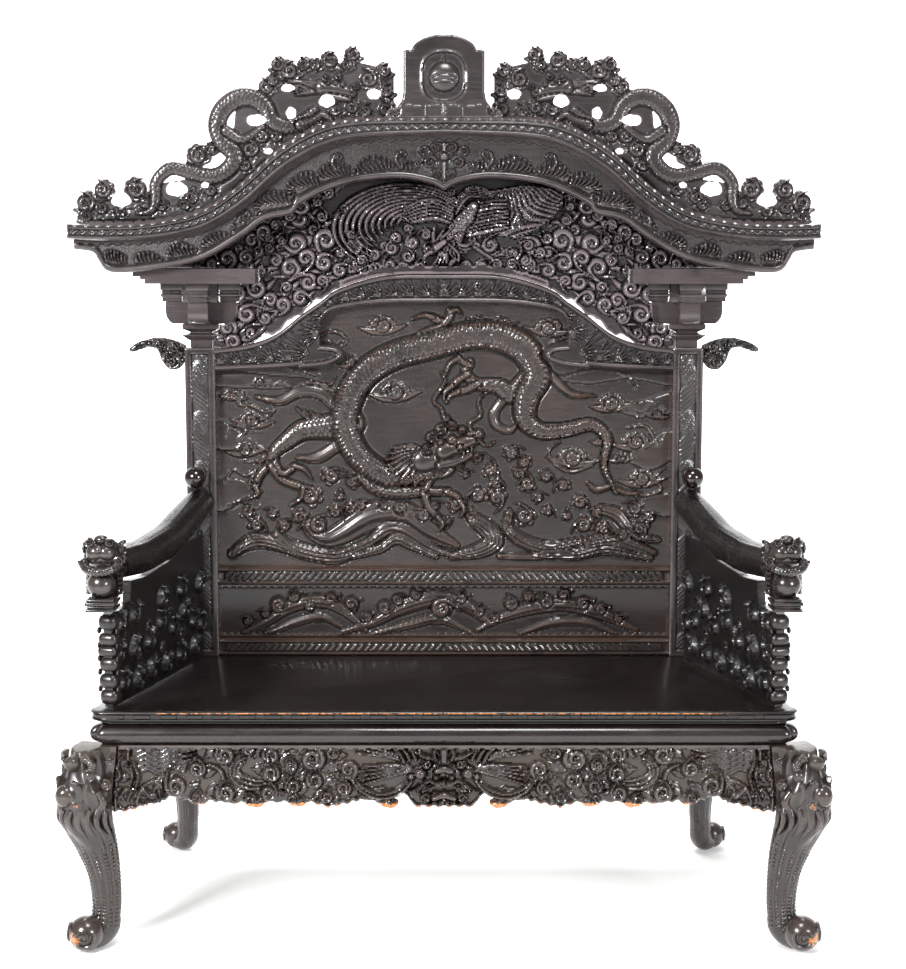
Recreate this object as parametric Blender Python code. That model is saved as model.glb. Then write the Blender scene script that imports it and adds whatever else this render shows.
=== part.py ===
# Canopied hall throne of carved dark hardwood: a bench on cabriole legs, dragon arms,
# a tall panelled back and an undulating gable with a pierced crest.
# Metres, +Z up, the sitter faces -Y. The origin is on the floor under the middle.

import bpy
import bmesh
import math
import numpy as np
from mathutils import Matrix

for old in list(bpy.data.objects):
    bpy.data.objects.remove(old, do_unlink=True)

GAP = 0.0003
CUT_CLEAR = 0.0014
ARCH_CLEAR = 0.003
ROOF_CLEAR = 0.0034

# Seat board, a plan that narrows to the back, with notched front corners
SEAT_TOP = 0.460
SEAT_THICK = 0.020
SEAT_DEPTH = 0.600
SEAT_FRONT_HALF = 0.661
SEAT_BACK_HALF = 0.575
CORNER_NOTCH = 0.014

# Waist moulding under the seat
WAIST_TALL = 0.0445
WAIST_WIDE = 0.050
WAIST_INSET = 0.014

# Aprons under the waist
APRON_THICK = 0.020
APRON_CARVING = 0.018
APRON_DROP = 0.129
APRON_SETBACK = 0.016
BACK_APRON_DROP = 0.075

# Legs
KNEE_REACH_X = 0.7225
KNEE_REACH_Y = 0.352
KNEE_HALF = 0.051
BACK_LEG_X = 0.636
BACK_LEG_SLIM = 0.86
FOOT_RADIUS = 0.034
FOOT_SPREAD = 0.034

# Back frame standing on the seat
FRAME_FACE = 0.170
POST_INNER = 0.474
POST_WIDE = 0.061
POST_DEEP = 0.070
POST_TOP = 1.108
RAIL_BOTTOM_TALL = 0.034
WAVES_TALL = 0.116
RAIL_MID_TALL = 0.036
RAIL_DEEP = 0.045
PANEL_FACE = 0.200
PANEL_THICK = 0.022
DRAGON_CARVING = 0.014
WAVE_CARVING = 0.010

# Arch rail over the dragon panel
ARCH_DEEP = 0.028
ARCH_CENTRE_TOP = 1.260
ARCH_CENTRE_BOTTOM = 1.2005

# Capitals and brackets on the posts
NECK_HALF = 0.0225
RING_HALF = 0.0375
BLOCK_HALF = 0.037
CAPITAL_TALL = 0.049
ARM_REACH = 0.073
ARM_HALF = 0.021
BRACKET_TALL = 0.045
BEARING_HALF = 0.0235
BEARING_TALL = 0.038
BEAM_TALL = 0.030
BEAM_INNER = 0.380
BEAM_OUTER = 0.627
BEAM_STEP = 0.024

# Roof
ROOF_HALF = 0.7455
ROOF_FRONT = 0.040
ROOF_BACK = 0.300
ROOF_EDGE_DEEP = 0.035
ROOF_PEAK = 1.5656
ROOF_FALL = 0.2076
BARGE_RETURN = 0.0075
GABLE_BOARD_THICK = 0.018
BARGE_THICK = 0.018
BARGE_CARVING = 0.008
PHOENIX_THICK = 0.018
PHOENIX_CARVING = 0.026

# Crest and finial
CREST_MIDDLE = 0.100
CREST_WEB = 0.012
CREST_CARVING = 0.012
CREST_RISE = 0.131
FINIAL_HALF = 0.080
FINIAL_BASE_HALF = 0.116
FINIAL_TALL = 0.162
FINIAL_THICK = 0.026
FINIAL_SETBACK = 0.010
BOSS_RADIUS = 0.034

# Arms
ARM_BACK_X = 0.508
ARM_SPLAY = 0.270
ARM_FRONT_Y = -0.285
ARM_RADIUS = 0.031
ARM_CLEAR = 0.005
KNOB_RADIUS = 0.0227
KNOB_HEIGHT = 0.382
ARM_PANEL_WEB = 0.016
ARM_PANEL_CARVING = 0.012
NOSING_REACH = 0.116
NOSING_THICK = 0.030
NOSING_TOP = 0.020
NOSING_TALL = 0.072

SEAT_UNDER = SEAT_TOP - SEAT_THICK
WAIST_LOW = SEAT_UNDER - GAP - WAIST_TALL
LEG_TALL = WAIST_LOW - GAP
SEAT_ON = SEAT_TOP + GAP
WAVES_LOW = SEAT_ON + RAIL_BOTTOM_TALL + GAP
RAIL_MID_LOW = WAVES_LOW + WAVES_TALL + GAP
DRAGON_LOW = RAIL_MID_LOW + RAIL_MID_TALL + GAP
PANEL_HALF = POST_INNER - GAP
POST_MIDDLE_X = POST_INNER + POST_WIDE / 2
POST_MIDDLE_Y = FRAME_FACE + POST_DEEP / 2
CAPITAL_LOW = POST_TOP + GAP
BRACKET_LOW = CAPITAL_LOW + CAPITAL_TALL + GAP
BEARING_LOW = BRACKET_LOW + BRACKET_TALL + GAP
BEAM_LOW = BEARING_LOW + BEARING_TALL + GAP
BEAM_TOP = BEAM_LOW + BEAM_TALL

LACQUER = (0.022, 0.015, 0.013)
RED_BROWN = (0.040, 0.019, 0.014)
SEAT_BLACK = (0.014, 0.009, 0.008)
GREY_LACQUER = (0.034, 0.029, 0.030)


# Curves and outlines

def smooth(points, steps=6):
    """Points along a soft curve through the given points."""
    points = np.asarray(points, float)
    ends = np.vstack([2 * points[0] - points[1], points, 2 * points[-1] - points[-2]])
    share = np.linspace(0, 1, steps, endpoint=False)[:, None]
    run = []
    for a, b, c, d in zip(ends, ends[1:], ends[2:], ends[3:]):
        curve = 2 * b + (c - a) * share + (2 * a - 5 * b + 4 * c - d) * share ** 2
        run.append((curve + (3 * b - a - 3 * c + d) * share ** 3) / 2)
    return np.vstack(run + [points[-1:]])


def height_at(points, x):
    """Height of a mirrored outline at x, from its points on one side."""
    curve = smooth(points)
    return np.interp(np.abs(x), curve[:, 0], curve[:, 1])


def inside_polygon(x, z, corners):
    """Distance to a closed outline, more than nothing inside it."""
    corners = np.asarray(corners, float)
    nearest = np.full(x.shape, 1e9)
    crossings = np.zeros(x.shape, int)
    for (ax, az), (bx, bz) in zip(corners, np.roll(corners, -1, axis=0)):
        ex, ez = bx - ax, bz - az
        share = ((x - ax) * ex + (z - az) * ez) / max(ex * ex + ez * ez, 1e-12)
        share = np.clip(share, 0, 1)
        nearest = np.minimum(nearest, np.hypot(x - ax - share * ex, z - az - share * ez))
        if az != bz:
            cross_x = ax + (z - az) / (bz - az) * ex
            crossings += ((az > z) != (bz > z)) & (x < cross_x)
    return np.where(crossings % 2 == 1, nearest, -nearest)


class Relief:
    """Heights of a carved board on a grid, x along it and z up."""

    def __init__(self, left, right, low, high, cell):
        columns = max(4, round((right - left) / cell))
        rows = max(4, round((high - low) / cell))
        self.cell = cell
        self.xs = np.linspace(left, right, columns + 1)
        self.zs = np.linspace(low, high, rows + 1)
        self.x, self.z = np.meshgrid(self.xs, self.zs)
        self.height = np.zeros(self.x.shape)
        self.cover = np.full(self.x.shape, -1.0)

    def stroke(self, path, width, height):
        """A rounded ridge along a path; width is half of its breadth."""
        path = np.asarray(path, float)
        widths = np.broadcast_to(np.asarray(width, float), (len(path),))
        reach = widths.max()
        near = (self.x > path[:, 0].min() - reach) & (self.x < path[:, 0].max() + reach)
        near &= (self.z > path[:, 1].min() - reach) & (self.z < path[:, 1].max() + reach)
        x, z = self.x[near], self.z[near]
        best = np.full(x.shape, 9.0)
        for a, b, wide_a, wide_b in zip(path, path[1:], widths, widths[1:]):
            run = b - a
            share = ((x - a[0]) * run[0] + (z - a[1]) * run[1]) / max(run @ run, 1e-12)
            share = np.clip(share, 0, 1)
            away = np.hypot(x - a[0] - share * run[0], z - a[1] - share * run[1])
            best = np.minimum(best, away / (wide_a + (wide_b - wide_a) * share))
        ridge = height * np.sqrt(np.clip(1 - best ** 2, 0, 1))
        self.height[near] = np.maximum(self.height[near], ridge)
        self.cover[near] = np.maximum(self.cover[near], (1 - best) * reach)

    def dome(self, x, z, radius, height):
        """A round boss."""
        self.stroke([(x, z), (x + radius * 0.01, z)], radius, height)

    def cloud(self, x, z, radius, height, turn=1):
        """A cloud scroll: a coiled band with a boss in its eye."""
        angles = np.linspace(0, 1.6 * math.pi, 9) * turn
        coil = radius * 0.62
        self.stroke([(x + coil * math.cos(a), z + coil * math.sin(a)) for a in angles], radius * 0.36, height)
        self.dome(x, z, radius * 0.35, height * 0.8)

    def sample(self, x, z):
        """Heights at loose places."""
        column = np.clip((x - self.xs[0]) / (self.xs[1] - self.xs[0]), 0, len(self.xs) - 1.001)
        row = np.clip((z - self.zs[0]) / (self.zs[1] - self.zs[0]), 0, len(self.zs) - 1.001)
        i, j = row.astype(int), column.astype(int)
        up, along = row - i, column - j
        h = self.height
        low = h[i, j] * (1 - along) + h[i, j + 1] * along
        high = h[i + 1, j] * (1 - along) + h[i + 1, j + 1] * along
        return low * (1 - up) + high * up


class Sheet:
    """The carver's drawing sheet: maps its squares onto a board's real place."""

    def __init__(self, edge, half, low_row, low, high_row, high):
        self.step = half / edge
        self.low_row, self.low = low_row, low
        self.rise = (high - low) / (low_row - high_row)

    def at(self, points):
        """Places on the board for squares counted from the sheet's middle column."""
        return [((c - 444) * self.step, self.low + (self.low_row - r) * self.rise) for c, r in points]

    def mirrored(self, points):
        """The same places on both sides of the middle."""
        left = self.at(points)
        return [left, [(-x, z) for x, z in left]]


# Bodies

def wood(name, colour, roughness):
    material = bpy.data.materials.new(name + " wood")
    material.use_nodes = True
    shader = material.node_tree.nodes["Principled BSDF"]
    shader.inputs["Base Color"].default_value = (*colour, 1)
    shader.inputs["Roughness"].default_value = roughness
    shader.inputs["Metallic"].default_value = 0
    return material


def add_piece(name, bm, colour, roughness=0.38, side=1, turn=None, faces=None, sharp=40):
    """Turn a finished bmesh into a named piece, on the left with side -1."""
    if turn is not None:
        bmesh.ops.transform(bm, matrix=turn, verts=bm.verts)
    if side < 0:
        bmesh.ops.scale(bm, vec=(-1, 1, 1), verts=bm.verts)
    bmesh.ops.recalc_face_normals(bm, faces=bm.faces)
    mesh = bpy.data.meshes.new(name)
    bm.to_mesh(mesh)
    bm.free()
    mesh.shade_smooth()
    mesh.set_sharp_from_angle(angle=math.radians(sharp))
    mesh.materials.append(wood(name, colour, roughness))
    piece = bpy.data.objects.new(name, mesh)
    bpy.context.scene.collection.objects.link(piece)
    mesh.calc_loop_triangles()
    if faces is not None and len(mesh.loop_triangles) > faces:
        fewer = piece.modifiers.new("Fewer faces", "DECIMATE")
        fewer.ratio = faces / len(mesh.loop_triangles)
        fewer.use_collapse_triangulate = True
    return piece


def loft(rings):
    """Join rings of points into one closed body with a cap on each end."""
    rings = np.asarray(rings, float)
    levels, around = rings.shape[:2]
    bm = bmesh.new()
    bmesh.ops.create_grid(bm, x_segments=around, y_segments=levels - 1, size=1)
    for index, vert in enumerate(list(bm.verts)):
        level, step = divmod(index, around + 1)
        vert.co = rings[level, step % around]
    bmesh.ops.remove_doubles(bm, verts=bm.verts, dist=0.00001)
    bmesh.ops.holes_fill(bm, edges=[edge for edge in bm.edges if edge.is_boundary])
    return bm


def box(low, high):
    """A plain block between two corners."""
    (x0, y0, z0), (x1, y1, z1) = low, high
    plan = ((x0, y0), (x1, y0), (x1, y1), (x0, y1))
    return loft([[(x, y, z) for x, y in plan] for z in (z0, z1)])


def filled_mask(distance):
    """Grid squares inside an outline, one connected patch with no corner-only touches."""
    middle = (distance[1:, 1:] + distance[:-1, 1:] + distance[1:, :-1] + distance[:-1, :-1]) / 4
    mask = middle > 0
    for again in range(4):
        rising = mask[:-1, :-1] & mask[1:, 1:] & ~mask[1:, :-1] & ~mask[:-1, 1:]
        mask[1:, :-1] |= rising
        falling = mask[1:, :-1] & mask[:-1, 1:] & ~mask[:-1, :-1] & ~mask[1:, 1:]
        mask[:-1, :-1] |= falling
    rest = mask.copy()
    largest = np.zeros_like(mask)
    while rest.any():
        patch = np.zeros_like(mask)
        patch[tuple(np.argwhere(rest)[0])] = True
        count = 0
        while patch.sum() != count:
            count = patch.sum()
            for shift, axis in ((1, 0), (-1, 0), (1, 1), (-1, 1)):
                moved = np.roll(patch, shift, axis)
                edge = [slice(None)] * 2
                edge[axis] = 0 if shift == 1 else -1
                moved[tuple(edge)] = False
                patch |= moved & rest
        rest &= ~patch
        if patch.sum() > largest.sum():
            largest = patch
    return largest


def carved_board(relief, distance, front, back, both=False):
    """Cut a grid to its outline, give it thickness and raise its carving.

    front and back are depths along Y. With both, the back is carved like the front.
    """
    rows, columns = relief.x.shape
    mask = filled_mask(distance)
    bm = bmesh.new()
    bmesh.ops.create_grid(bm, x_segments=columns - 1, y_segments=rows - 1, size=1)
    for vert, x, z in zip(list(bm.verts), relief.x.ravel(), relief.z.ravel()):
        vert.co = (x, back, z)
    bm.faces.ensure_lookup_table()
    outside = [face for face, kept in zip(list(bm.faces), mask.ravel()) if not kept]
    bmesh.ops.delete(bm, geom=outside, context="FACES")
    slope_z, slope_x = np.gradient(distance, relief.zs, relief.xs)
    edge = [vert for vert in bm.verts if vert.is_boundary]
    for vert in edge:
        i = int(round((vert.co.z - relief.zs[0]) / (relief.zs[1] - relief.zs[0])))
        j = int(round((vert.co.x - relief.xs[0]) / (relief.xs[1] - relief.xs[0])))
        free_x = slope_x[i, j] if 0 < j < columns - 1 else 0
        free_z = slope_z[i, j] if 0 < i < rows - 1 else 0
        steep = free_x ** 2 + free_z ** 2
        if steep > 0.05 and abs(distance[i, j]) < relief.cell:
            step = -distance[i, j] / steep
            limit = min(1, 0.45 * relief.cell / max(abs(step) * math.sqrt(steep), 1e-9))
            vert.co.x += step * free_x * limit
            vert.co.z += step * free_z * limit
    grown = bmesh.ops.extrude_face_region(bm, geom=bm.faces[:])["geom"]
    raised = [item for item in grown if isinstance(item, bmesh.types.BMVert)]
    places = np.array([vert.co for vert in raised])
    heights = relief.sample(places[:, 0], places[:, 2])
    for vert, height in zip(raised, heights):
        vert.co.y = front - height
    if both:
        fresh = set(raised)
        flat = [vert for vert in bm.verts if vert not in fresh]
        places = np.array([vert.co for vert in flat])
        for vert, height in zip(flat, relief.sample(places[:, 0], places[:, 2])):
            vert.co.y = back + height
    return bm


def swept(path, radii, around=10, squash=1.0, bump=None):
    """Rings of a round body along a path, each square to it; bump scales the radius."""
    path = np.asarray(path, float)
    tangents = np.gradient(path, axis=0)
    tangents /= np.linalg.norm(tangents, axis=1)[:, None]
    rings = []
    across = np.array([0.0, 0.0, 1.0]) if abs(tangents[0][2]) < 0.7 else np.array([0.0, -1.0, 0.0])
    for level, (middle, along, radius) in enumerate(zip(path, tangents, radii)):
        across = across - along * (across @ along)
        across /= np.linalg.norm(across)
        other = np.cross(along, across)
        ring = []
        for step in range(around):
            angle = 2 * math.pi * step / around
            swell = radius * (bump(level / (len(path) - 1), angle) if bump else 1)
            ring.append(middle + swell * (math.cos(angle) * across + squash * math.sin(angle) * other))
        rings.append(ring)
    return rings


def ball(middle, radius, stretch=(1, 1, 1), segments=12):
    """A round ball, or an egg with stretch."""
    bm = bmesh.new()
    bmesh.ops.create_uvsphere(bm, u_segments=segments, v_segments=segments // 2 + 1, radius=radius)
    bmesh.ops.scale(bm, vec=stretch, verts=bm.verts)
    bmesh.ops.translate(bm, vec=middle, verts=bm.verts)
    return bm


def grown_together(name, bodies, voxel, faces, colour, side=1, roughness=0.3, flat=None):
    """One carved solid from bodies that run into each other."""
    whole = bmesh.new()
    for body in bodies:
        bmesh.ops.recalc_face_normals(body, faces=body.faces)
        part = bpy.data.meshes.new("part")
        body.to_mesh(part)
        body.free()
        whole.from_mesh(part)
        bpy.data.meshes.remove(part)
    if side < 0:
        bmesh.ops.scale(whole, vec=(-1, 1, 1), verts=whole.verts)
        bmesh.ops.reverse_faces(whole, faces=whole.faces)
    rough = bpy.data.meshes.new(name)
    whole.to_mesh(rough)
    whole.free()
    piece = bpy.data.objects.new(name, rough)
    bpy.context.scene.collection.objects.link(piece)
    skin = piece.modifiers.new("One skin", "REMESH")
    skin.mode = "VOXEL"
    skin.voxel_size = voxel
    skin.use_smooth_shade = True
    bpy.context.view_layer.update()
    mesh = bpy.data.meshes.new_from_object(piece.evaluated_get(bpy.context.evaluated_depsgraph_get()))
    piece.modifiers.remove(skin)
    piece.data = mesh
    bpy.data.meshes.remove(rough)
    mesh.materials.append(wood(name, colour, roughness))
    if flat is not None:
        for vert in mesh.vertices:
            for level in flat:
                if abs(vert.co.z - level) < voxel * 0.7:
                    vert.co.z = level
    mesh.calc_loop_triangles()
    fewer = piece.modifiers.new("Fewer faces", "DECIMATE")
    fewer.ratio = min(1, faces / len(mesh.loop_triangles))
    fewer.use_collapse_triangulate = True
    return piece


# Seat and waist

def seat_plan(inset):
    """Corners of the seat's outline, set in by inset, the right front corner first."""
    front = -SEAT_DEPTH / 2 + inset
    back = SEAT_DEPTH / 2 - inset
    slope = (SEAT_BACK_HALF - SEAT_FRONT_HALF) / SEAT_DEPTH
    right_front = SEAT_FRONT_HALF + slope * inset - inset
    right_back = SEAT_BACK_HALF - slope * inset - inset
    notch = CORNER_NOTCH
    right = [(right_front - 2 * notch, front), (right_front - notch, front + notch * 0.3)]
    right += [(right_front - notch * 0.3, front + notch), (right_front + slope * notch, front + 2 * notch)]
    right += [(right_back, back)]
    return right + [(-x, y) for x, y in reversed(right)]


def make_seat():
    levels = ((SEAT_UNDER, 0.004), (SEAT_UNDER + 0.004, 0.0), (SEAT_TOP - 0.005, 0.0), (SEAT_TOP, 0.004))
    rings = [[(x, y, z) for x, y in seat_plan(inset)] for z, inset in levels]
    add_piece("seat_board", loft(rings), SEAT_BLACK, roughness=0.22)


def make_waist():
    """Four mitred lengths of moulding: a fillet, a thin bead and a fat round below."""
    top = SEAT_UNDER - GAP
    bead = WAIST_TALL * 0.22
    profile = [(top, WAIST_INSET + 0.004), (top - bead * 0.8, WAIST_INSET + 0.004)]
    for step in range(6):
        angle = math.pi * step / 5
        tall = WAIST_TALL - bead
        height = top - bead - tall * (1 - math.cos(angle)) / 2
        profile.append((height, WAIST_INSET - 0.006 - 0.010 * math.sin(angle)))
    inner = WAIST_INSET + WAIST_WIDE
    profile += [(WAIST_LOW, inner), (top, inner)]
    plans = [seat_plan(inset) for height, inset in profile]
    heights = [height for height, inset in profile]
    count = len(plans[0])
    runs = {"waist_right": (1.5, 2, 3, 4), "waist_back": (4, 5)}
    runs["waist_left"] = (5, 6, 7, 7.5)
    runs["waist_front"] = (7.5, 8, 9, 0, 1, 1.5)
    for name, corners in runs.items():
        rings = []
        for corner in corners:
            first, second = int(corner) % count, int(math.ceil(corner)) % count
            ring = []
            for plan, height in zip(plans, heights):
                x = (plan[first][0] + plan[second][0]) / 2
                y = (plan[first][1] + plan[second][1]) / 2
                ring.append([x, y, height])
            rings.append(ring)
        rings = np.array(rings)
        for end, inward in ((0, 1), (-1, -2)):
            run = rings[inward] - rings[end]
            rings[end] += run / np.linalg.norm(run, axis=1)[:, None] * GAP
        add_piece(name, loft(rings), LACQUER, roughness=0.25)


# Legs

# shares of the leg's height, shares of the way from foot line to knee line, half breadths
LEG_LEVELS = ((1.0, 0.52, 0.92), (0.93, 0.66, 0.96), (0.85, 0.86, 1.0), (0.76, 1.0, 1.0))
LEG_LEVELS += ((0.68, 0.96, 0.97), (0.60, 0.72, 0.87), (0.50, 0.42, 0.76), (0.40, 0.18, 0.65))
LEG_LEVELS += ((0.30, 0.04, 0.58), (0.21, 0.0, 0.55), (0.15, 0.05, 0.54))
KNEE_OUT = 0.032
LEG_CLEAR = 0.003


def leg_lines(front):
    """The shaft's distances from the middle along X and Y, and the knee's half breadth."""
    half = KNEE_HALF * (1 if front else BACK_LEG_SLIM)
    reach_x = KNEE_REACH_X if front else BACK_LEG_X
    return reach_x - half - KNEE_OUT, KNEE_REACH_Y - half - KNEE_OUT, half


def leg_inside(height, front):
    """How far in from its shaft line a leg's inner side stands at a height."""
    half = leg_lines(front)[2]
    shares = np.array([level[0] for level in LEG_LEVELS])[::-1] * LEG_TALL
    inner = np.array([level[1] * KNEE_OUT - level[2] * half for level in LEG_LEVELS])[::-1]
    return np.interp(height, shares, inner)


def make_leg(name, side, front):
    """A cabriole leg: a carved knee, a slender shaft and a scrolled foot turned out."""
    slim = 1 if front else BACK_LEG_SLIM
    shaft_x, shaft_y, half = leg_lines(front)
    reach_x = shaft_x + half + KNEE_OUT
    path, radii = [], []
    for share, out, breadth in LEG_LEVELS:
        path.append((shaft_x + out * KNEE_OUT, -shaft_y - out * KNEE_OUT, share * LEG_TALL))
        radii.append(breadth * half)
    foot = FOOT_RADIUS * slim
    spread = FOOT_SPREAD * slim
    for out, tall, size in ((0.10, 1.15, 0.84), (0.38, 0.80, 0.80), (0.72, 0.78, 0.80)):
        path.append((shaft_x + out * spread, -shaft_y - out * spread, tall * foot))
        radii.append(size * foot)
    flame = [(0.80, 0.3), (0.55, -0.4)]

    def knee(share, angle):
        swell = 1.0
        for at, turn in flame:
            near = math.exp(-((share * len(path) / 14 - (1 - at)) / 0.05) ** 2)
            swell += 0.04 * near * math.cos(3 * (angle - turn))
        return swell

    bodies = [loft(swept(path, radii, around=12, bump=knee))]
    middle = (shaft_x + spread, -shaft_y - spread, foot)
    bodies.append(ball(middle, foot, (1, 1, 1.04)))
    if front:
        reach = KNEE_OUT + half * 0.50
        for height, size, swing in ((0.93, 0.26, -0.1), (0.78, 0.32, 0.35), (0.66, 0.22, 0.1)):
            x = shaft_x + reach * (0.92 + swing * 0.5)
            y = -shaft_y - reach * (0.92 - swing * 0.5)
            bodies.append(ball((x - 0.006, y + 0.006, height * LEG_TALL), size * half * 1.7, (1, 1, 1.15)))
    for body in bodies:
        for vert in body.verts:
            vert.co.x = min(vert.co.x, reach_x)
            vert.co.y = max(vert.co.y, -KNEE_REACH_Y)
            vert.co.z = min(max(vert.co.z, 0.0), LEG_TALL)
            if not front:
                vert.co.y = -vert.co.y
        if not front:
            bmesh.ops.reverse_faces(body, faces=body.faces)
    grown_together(name, bodies, 0.005, 340 if front else 180, LACQUER, side,
                   flat=(0, LEG_TALL))


# Aprons

APRON_EDGE = ((-0.02, 0.93), (0.09, 0.93), (0.11, 0.76), (0.20, 0.68), (0.265, 0.85), (0.35, 0.94))
APRON_EDGE += ((0.42, 0.84), (0.465, 0.67), (0.495, 0.68), (0.525, 0.85), (0.645, 0.87), (0.72, 0.84))
APRON_EDGE += ((0.75, 0.62), (0.86, 0.86), (0.96, 1.0), (1.05, 1.0))
APRON_CLOUDS = ((148, 772, 9), (170, 800, 12), (205, 770, 12), (190, 785, 8), (222, 800, 9))
APRON_CLOUDS += ((275, 765, 11), (290, 783, 9), (308, 797, 10), (328, 800, 11), (300, 762, 8))
APRON_CLOUDS += ((335, 768, 10), (352, 785, 9))


def make_front_apron():
    """Cusped apron with clouds, two big shells and a horned mask in the middle."""
    half = SEAT_FRONT_HALF
    heights = np.linspace(0.60, 1, 30) * LEG_TALL
    inner = leg_lines(front=True)[0] + leg_inside(heights, front=True)
    relief = Relief(-inner.max(), inner.max(), LEG_TALL - APRON_DROP - 0.004, LEG_TALL, 0.0085)
    drop = np.interp(np.abs(relief.x) / inner.max(), *np.array(APRON_EDGE).T) * APRON_DROP
    limit = np.interp(relief.z, heights, inner) - LEG_CLEAR
    distance = np.minimum(relief.z - LEG_TALL + drop, limit - np.abs(relief.x))
    sheet = Sheet(332, half * 0.933, 818, LEG_TALL - APRON_DROP, 748.8, LEG_TALL)
    for column, row, size in APRON_CLOUDS:
        for (place,) in sheet.mirrored([(column, row)]):
            relief.cloud(*place, size * sheet.step, APRON_CARVING * 0.8)
    shell = [(232, 792), (226, 775), (240, 763), (258, 768), (262, 782), (250, 792)]
    feathers = [(120, 765), (150, 758), (180, 762)], [(118, 780), (145, 775), (170, 778)]
    feathers += ([(122, 800), (140, 800), (152, 806)],)
    wing = [(424, 792), (400, 800), (378, 796)], [(424, 782), (398, 784), (372, 780)]
    wing += ([(424, 772), (400, 766), (376, 762)],)
    horn = [(433, 770), (420, 762), (412, 768)]
    for side in (0, 1):
        relief.stroke(smooth(sheet.mirrored(shell)[side]), 0.010, APRON_CARVING * 0.9)
        for line in feathers + wing:
            relief.stroke(smooth(sheet.mirrored(line)[side]), 0.010, APRON_CARVING * 0.8)
        relief.stroke(smooth(sheet.mirrored(horn)[side]), 0.007, APRON_CARVING)
        eye = sheet.mirrored([(432, 780)])[side][0]
        relief.dome(*eye, 0.011, APRON_CARVING)
    mask = sheet.at([(444, 776), (444, 800)])
    relief.stroke(mask, 0.030, APRON_CARVING * 0.9)
    relief.stroke(sheet.at([(444, 782), (444, 790)]), 0.012, APRON_CARVING * 1.15)
    face = -SEAT_DEPTH / 2 + APRON_SETBACK - APRON_THICK * 0.2
    bm = carved_board(relief, distance, face, face + APRON_THICK)
    add_piece("apron_front", bm, LACQUER, faces=560)


def make_side_apron(name, side):
    """Side apron on the slant of the seat's end, clouds in low relief."""
    run_x = SEAT_BACK_HALF - SEAT_FRONT_HALF
    slant = math.atan2(-run_x, SEAT_DEPTH)
    heights = np.linspace(1 - APRON_DROP / LEG_TALL, 1, 30) * LEG_TALL
    front_end = -leg_lines(front=True)[1] - leg_inside(heights, front=True).min() + LEG_CLEAR
    back_end = leg_lines(front=False)[1] + leg_inside(heights, front=False).min() - LEG_CLEAR
    length = (back_end - front_end) / math.cos(slant)
    relief = Relief(0, length, LEG_TALL - APRON_DROP, LEG_TALL, 0.0085)
    drop = APRON_DROP * (0.62 + 0.14 * np.cos(relief.x / length * 6 * math.pi))
    distance = np.minimum(relief.z - LEG_TALL + drop, np.minimum(relief.x, length - relief.x) + 0.001)
    for step in range(7):
        x = length * (step + 0.5) / 7
        z = LEG_TALL - APRON_DROP * (0.42 if step % 2 else 0.28)
        relief.cloud(x, z, 0.020, APRON_CARVING * 0.7, 1 if step % 2 else -1)
    bm = carved_board(relief, distance, 0, APRON_THICK)
    middle = (SEAT_FRONT_HALF + SEAT_BACK_HALF) / 2 - APRON_SETBACK + APRON_THICK * 0.2
    start_x = middle - run_x / SEAT_DEPTH * -front_end
    turn = Matrix.Translation((start_x, front_end, 0)) @ Matrix.Rotation(math.pi / 2 + slant, 4, "Z")
    add_piece(name, bm, LACQUER, side=side, turn=turn, faces=160)


def make_back_apron():
    heights = np.linspace(1 - APRON_DROP / LEG_TALL, 1, 30) * LEG_TALL
    inner = leg_lines(front=False)[0] + leg_inside(heights, front=False).min() - LEG_CLEAR
    y = SEAT_DEPTH / 2 - APRON_SETBACK - APRON_THICK
    drop = BACK_APRON_DROP
    levels = ((LEG_TALL - drop, inner - 0.02), (LEG_TALL - drop * 0.6, inner), (LEG_TALL, inner))
    rings = [[(-x, y, z), (x, y, z), (x, y + APRON_THICK, z), (-x, y + APRON_THICK, z)] for z, x in levels]
    add_piece("apron_back", loft(rings), LACQUER)


# Back frame and panels

def moulded_rail(name, low, tall, bands):
    """A rail between the posts with a raised carved band of slanting lobes."""
    relief = Relief(-PANEL_HALF, PANEL_HALF, low, low + tall, tall / 5)
    middle = low + tall / 2
    share = (relief.z - middle) / (tall / 2)
    relief.height = 0.006 * np.sqrt(np.clip(1 - (share / 0.8) ** 2, 0, 1))
    wave = np.cos(relief.x / PANEL_HALF * bands * math.pi + np.sign(relief.x) * share)
    relief.height *= 1 + 0.10 * wave
    inside = np.full(relief.x.shape, tall)
    bm = carved_board(relief, inside, FRAME_FACE + 0.012, FRAME_FACE + 0.012 + RAIL_DEEP)
    add_piece(name, bm, RED_BROWN, faces=110)


def make_post(name, side):
    """A square post with a sunk field on its face."""
    x0, x1 = POST_INNER, POST_INNER + POST_WIDE
    y0, y1 = FRAME_FACE, FRAME_FACE + POST_DEEP
    bm = box((x0, y0, SEAT_ON), (x1, y1, POST_TOP))
    bmesh.ops.recalc_face_normals(bm, faces=bm.faces)
    face = [f for f in bm.faces if f.normal.y < -0.9]
    bmesh.ops.inset_region(bm, faces=face, thickness=0.013, depth=0)
    most = 0.5 * POST_WIDE * (POST_TOP - SEAT_ON)
    inner = [f for f in bm.faces if f.normal.y < -0.9 and f.calc_area() > most]
    bmesh.ops.inset_region(bm, faces=inner, thickness=0.002, depth=-0.006)
    add_piece(name, bm, GREY_LACQUER, side=side)


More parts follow.
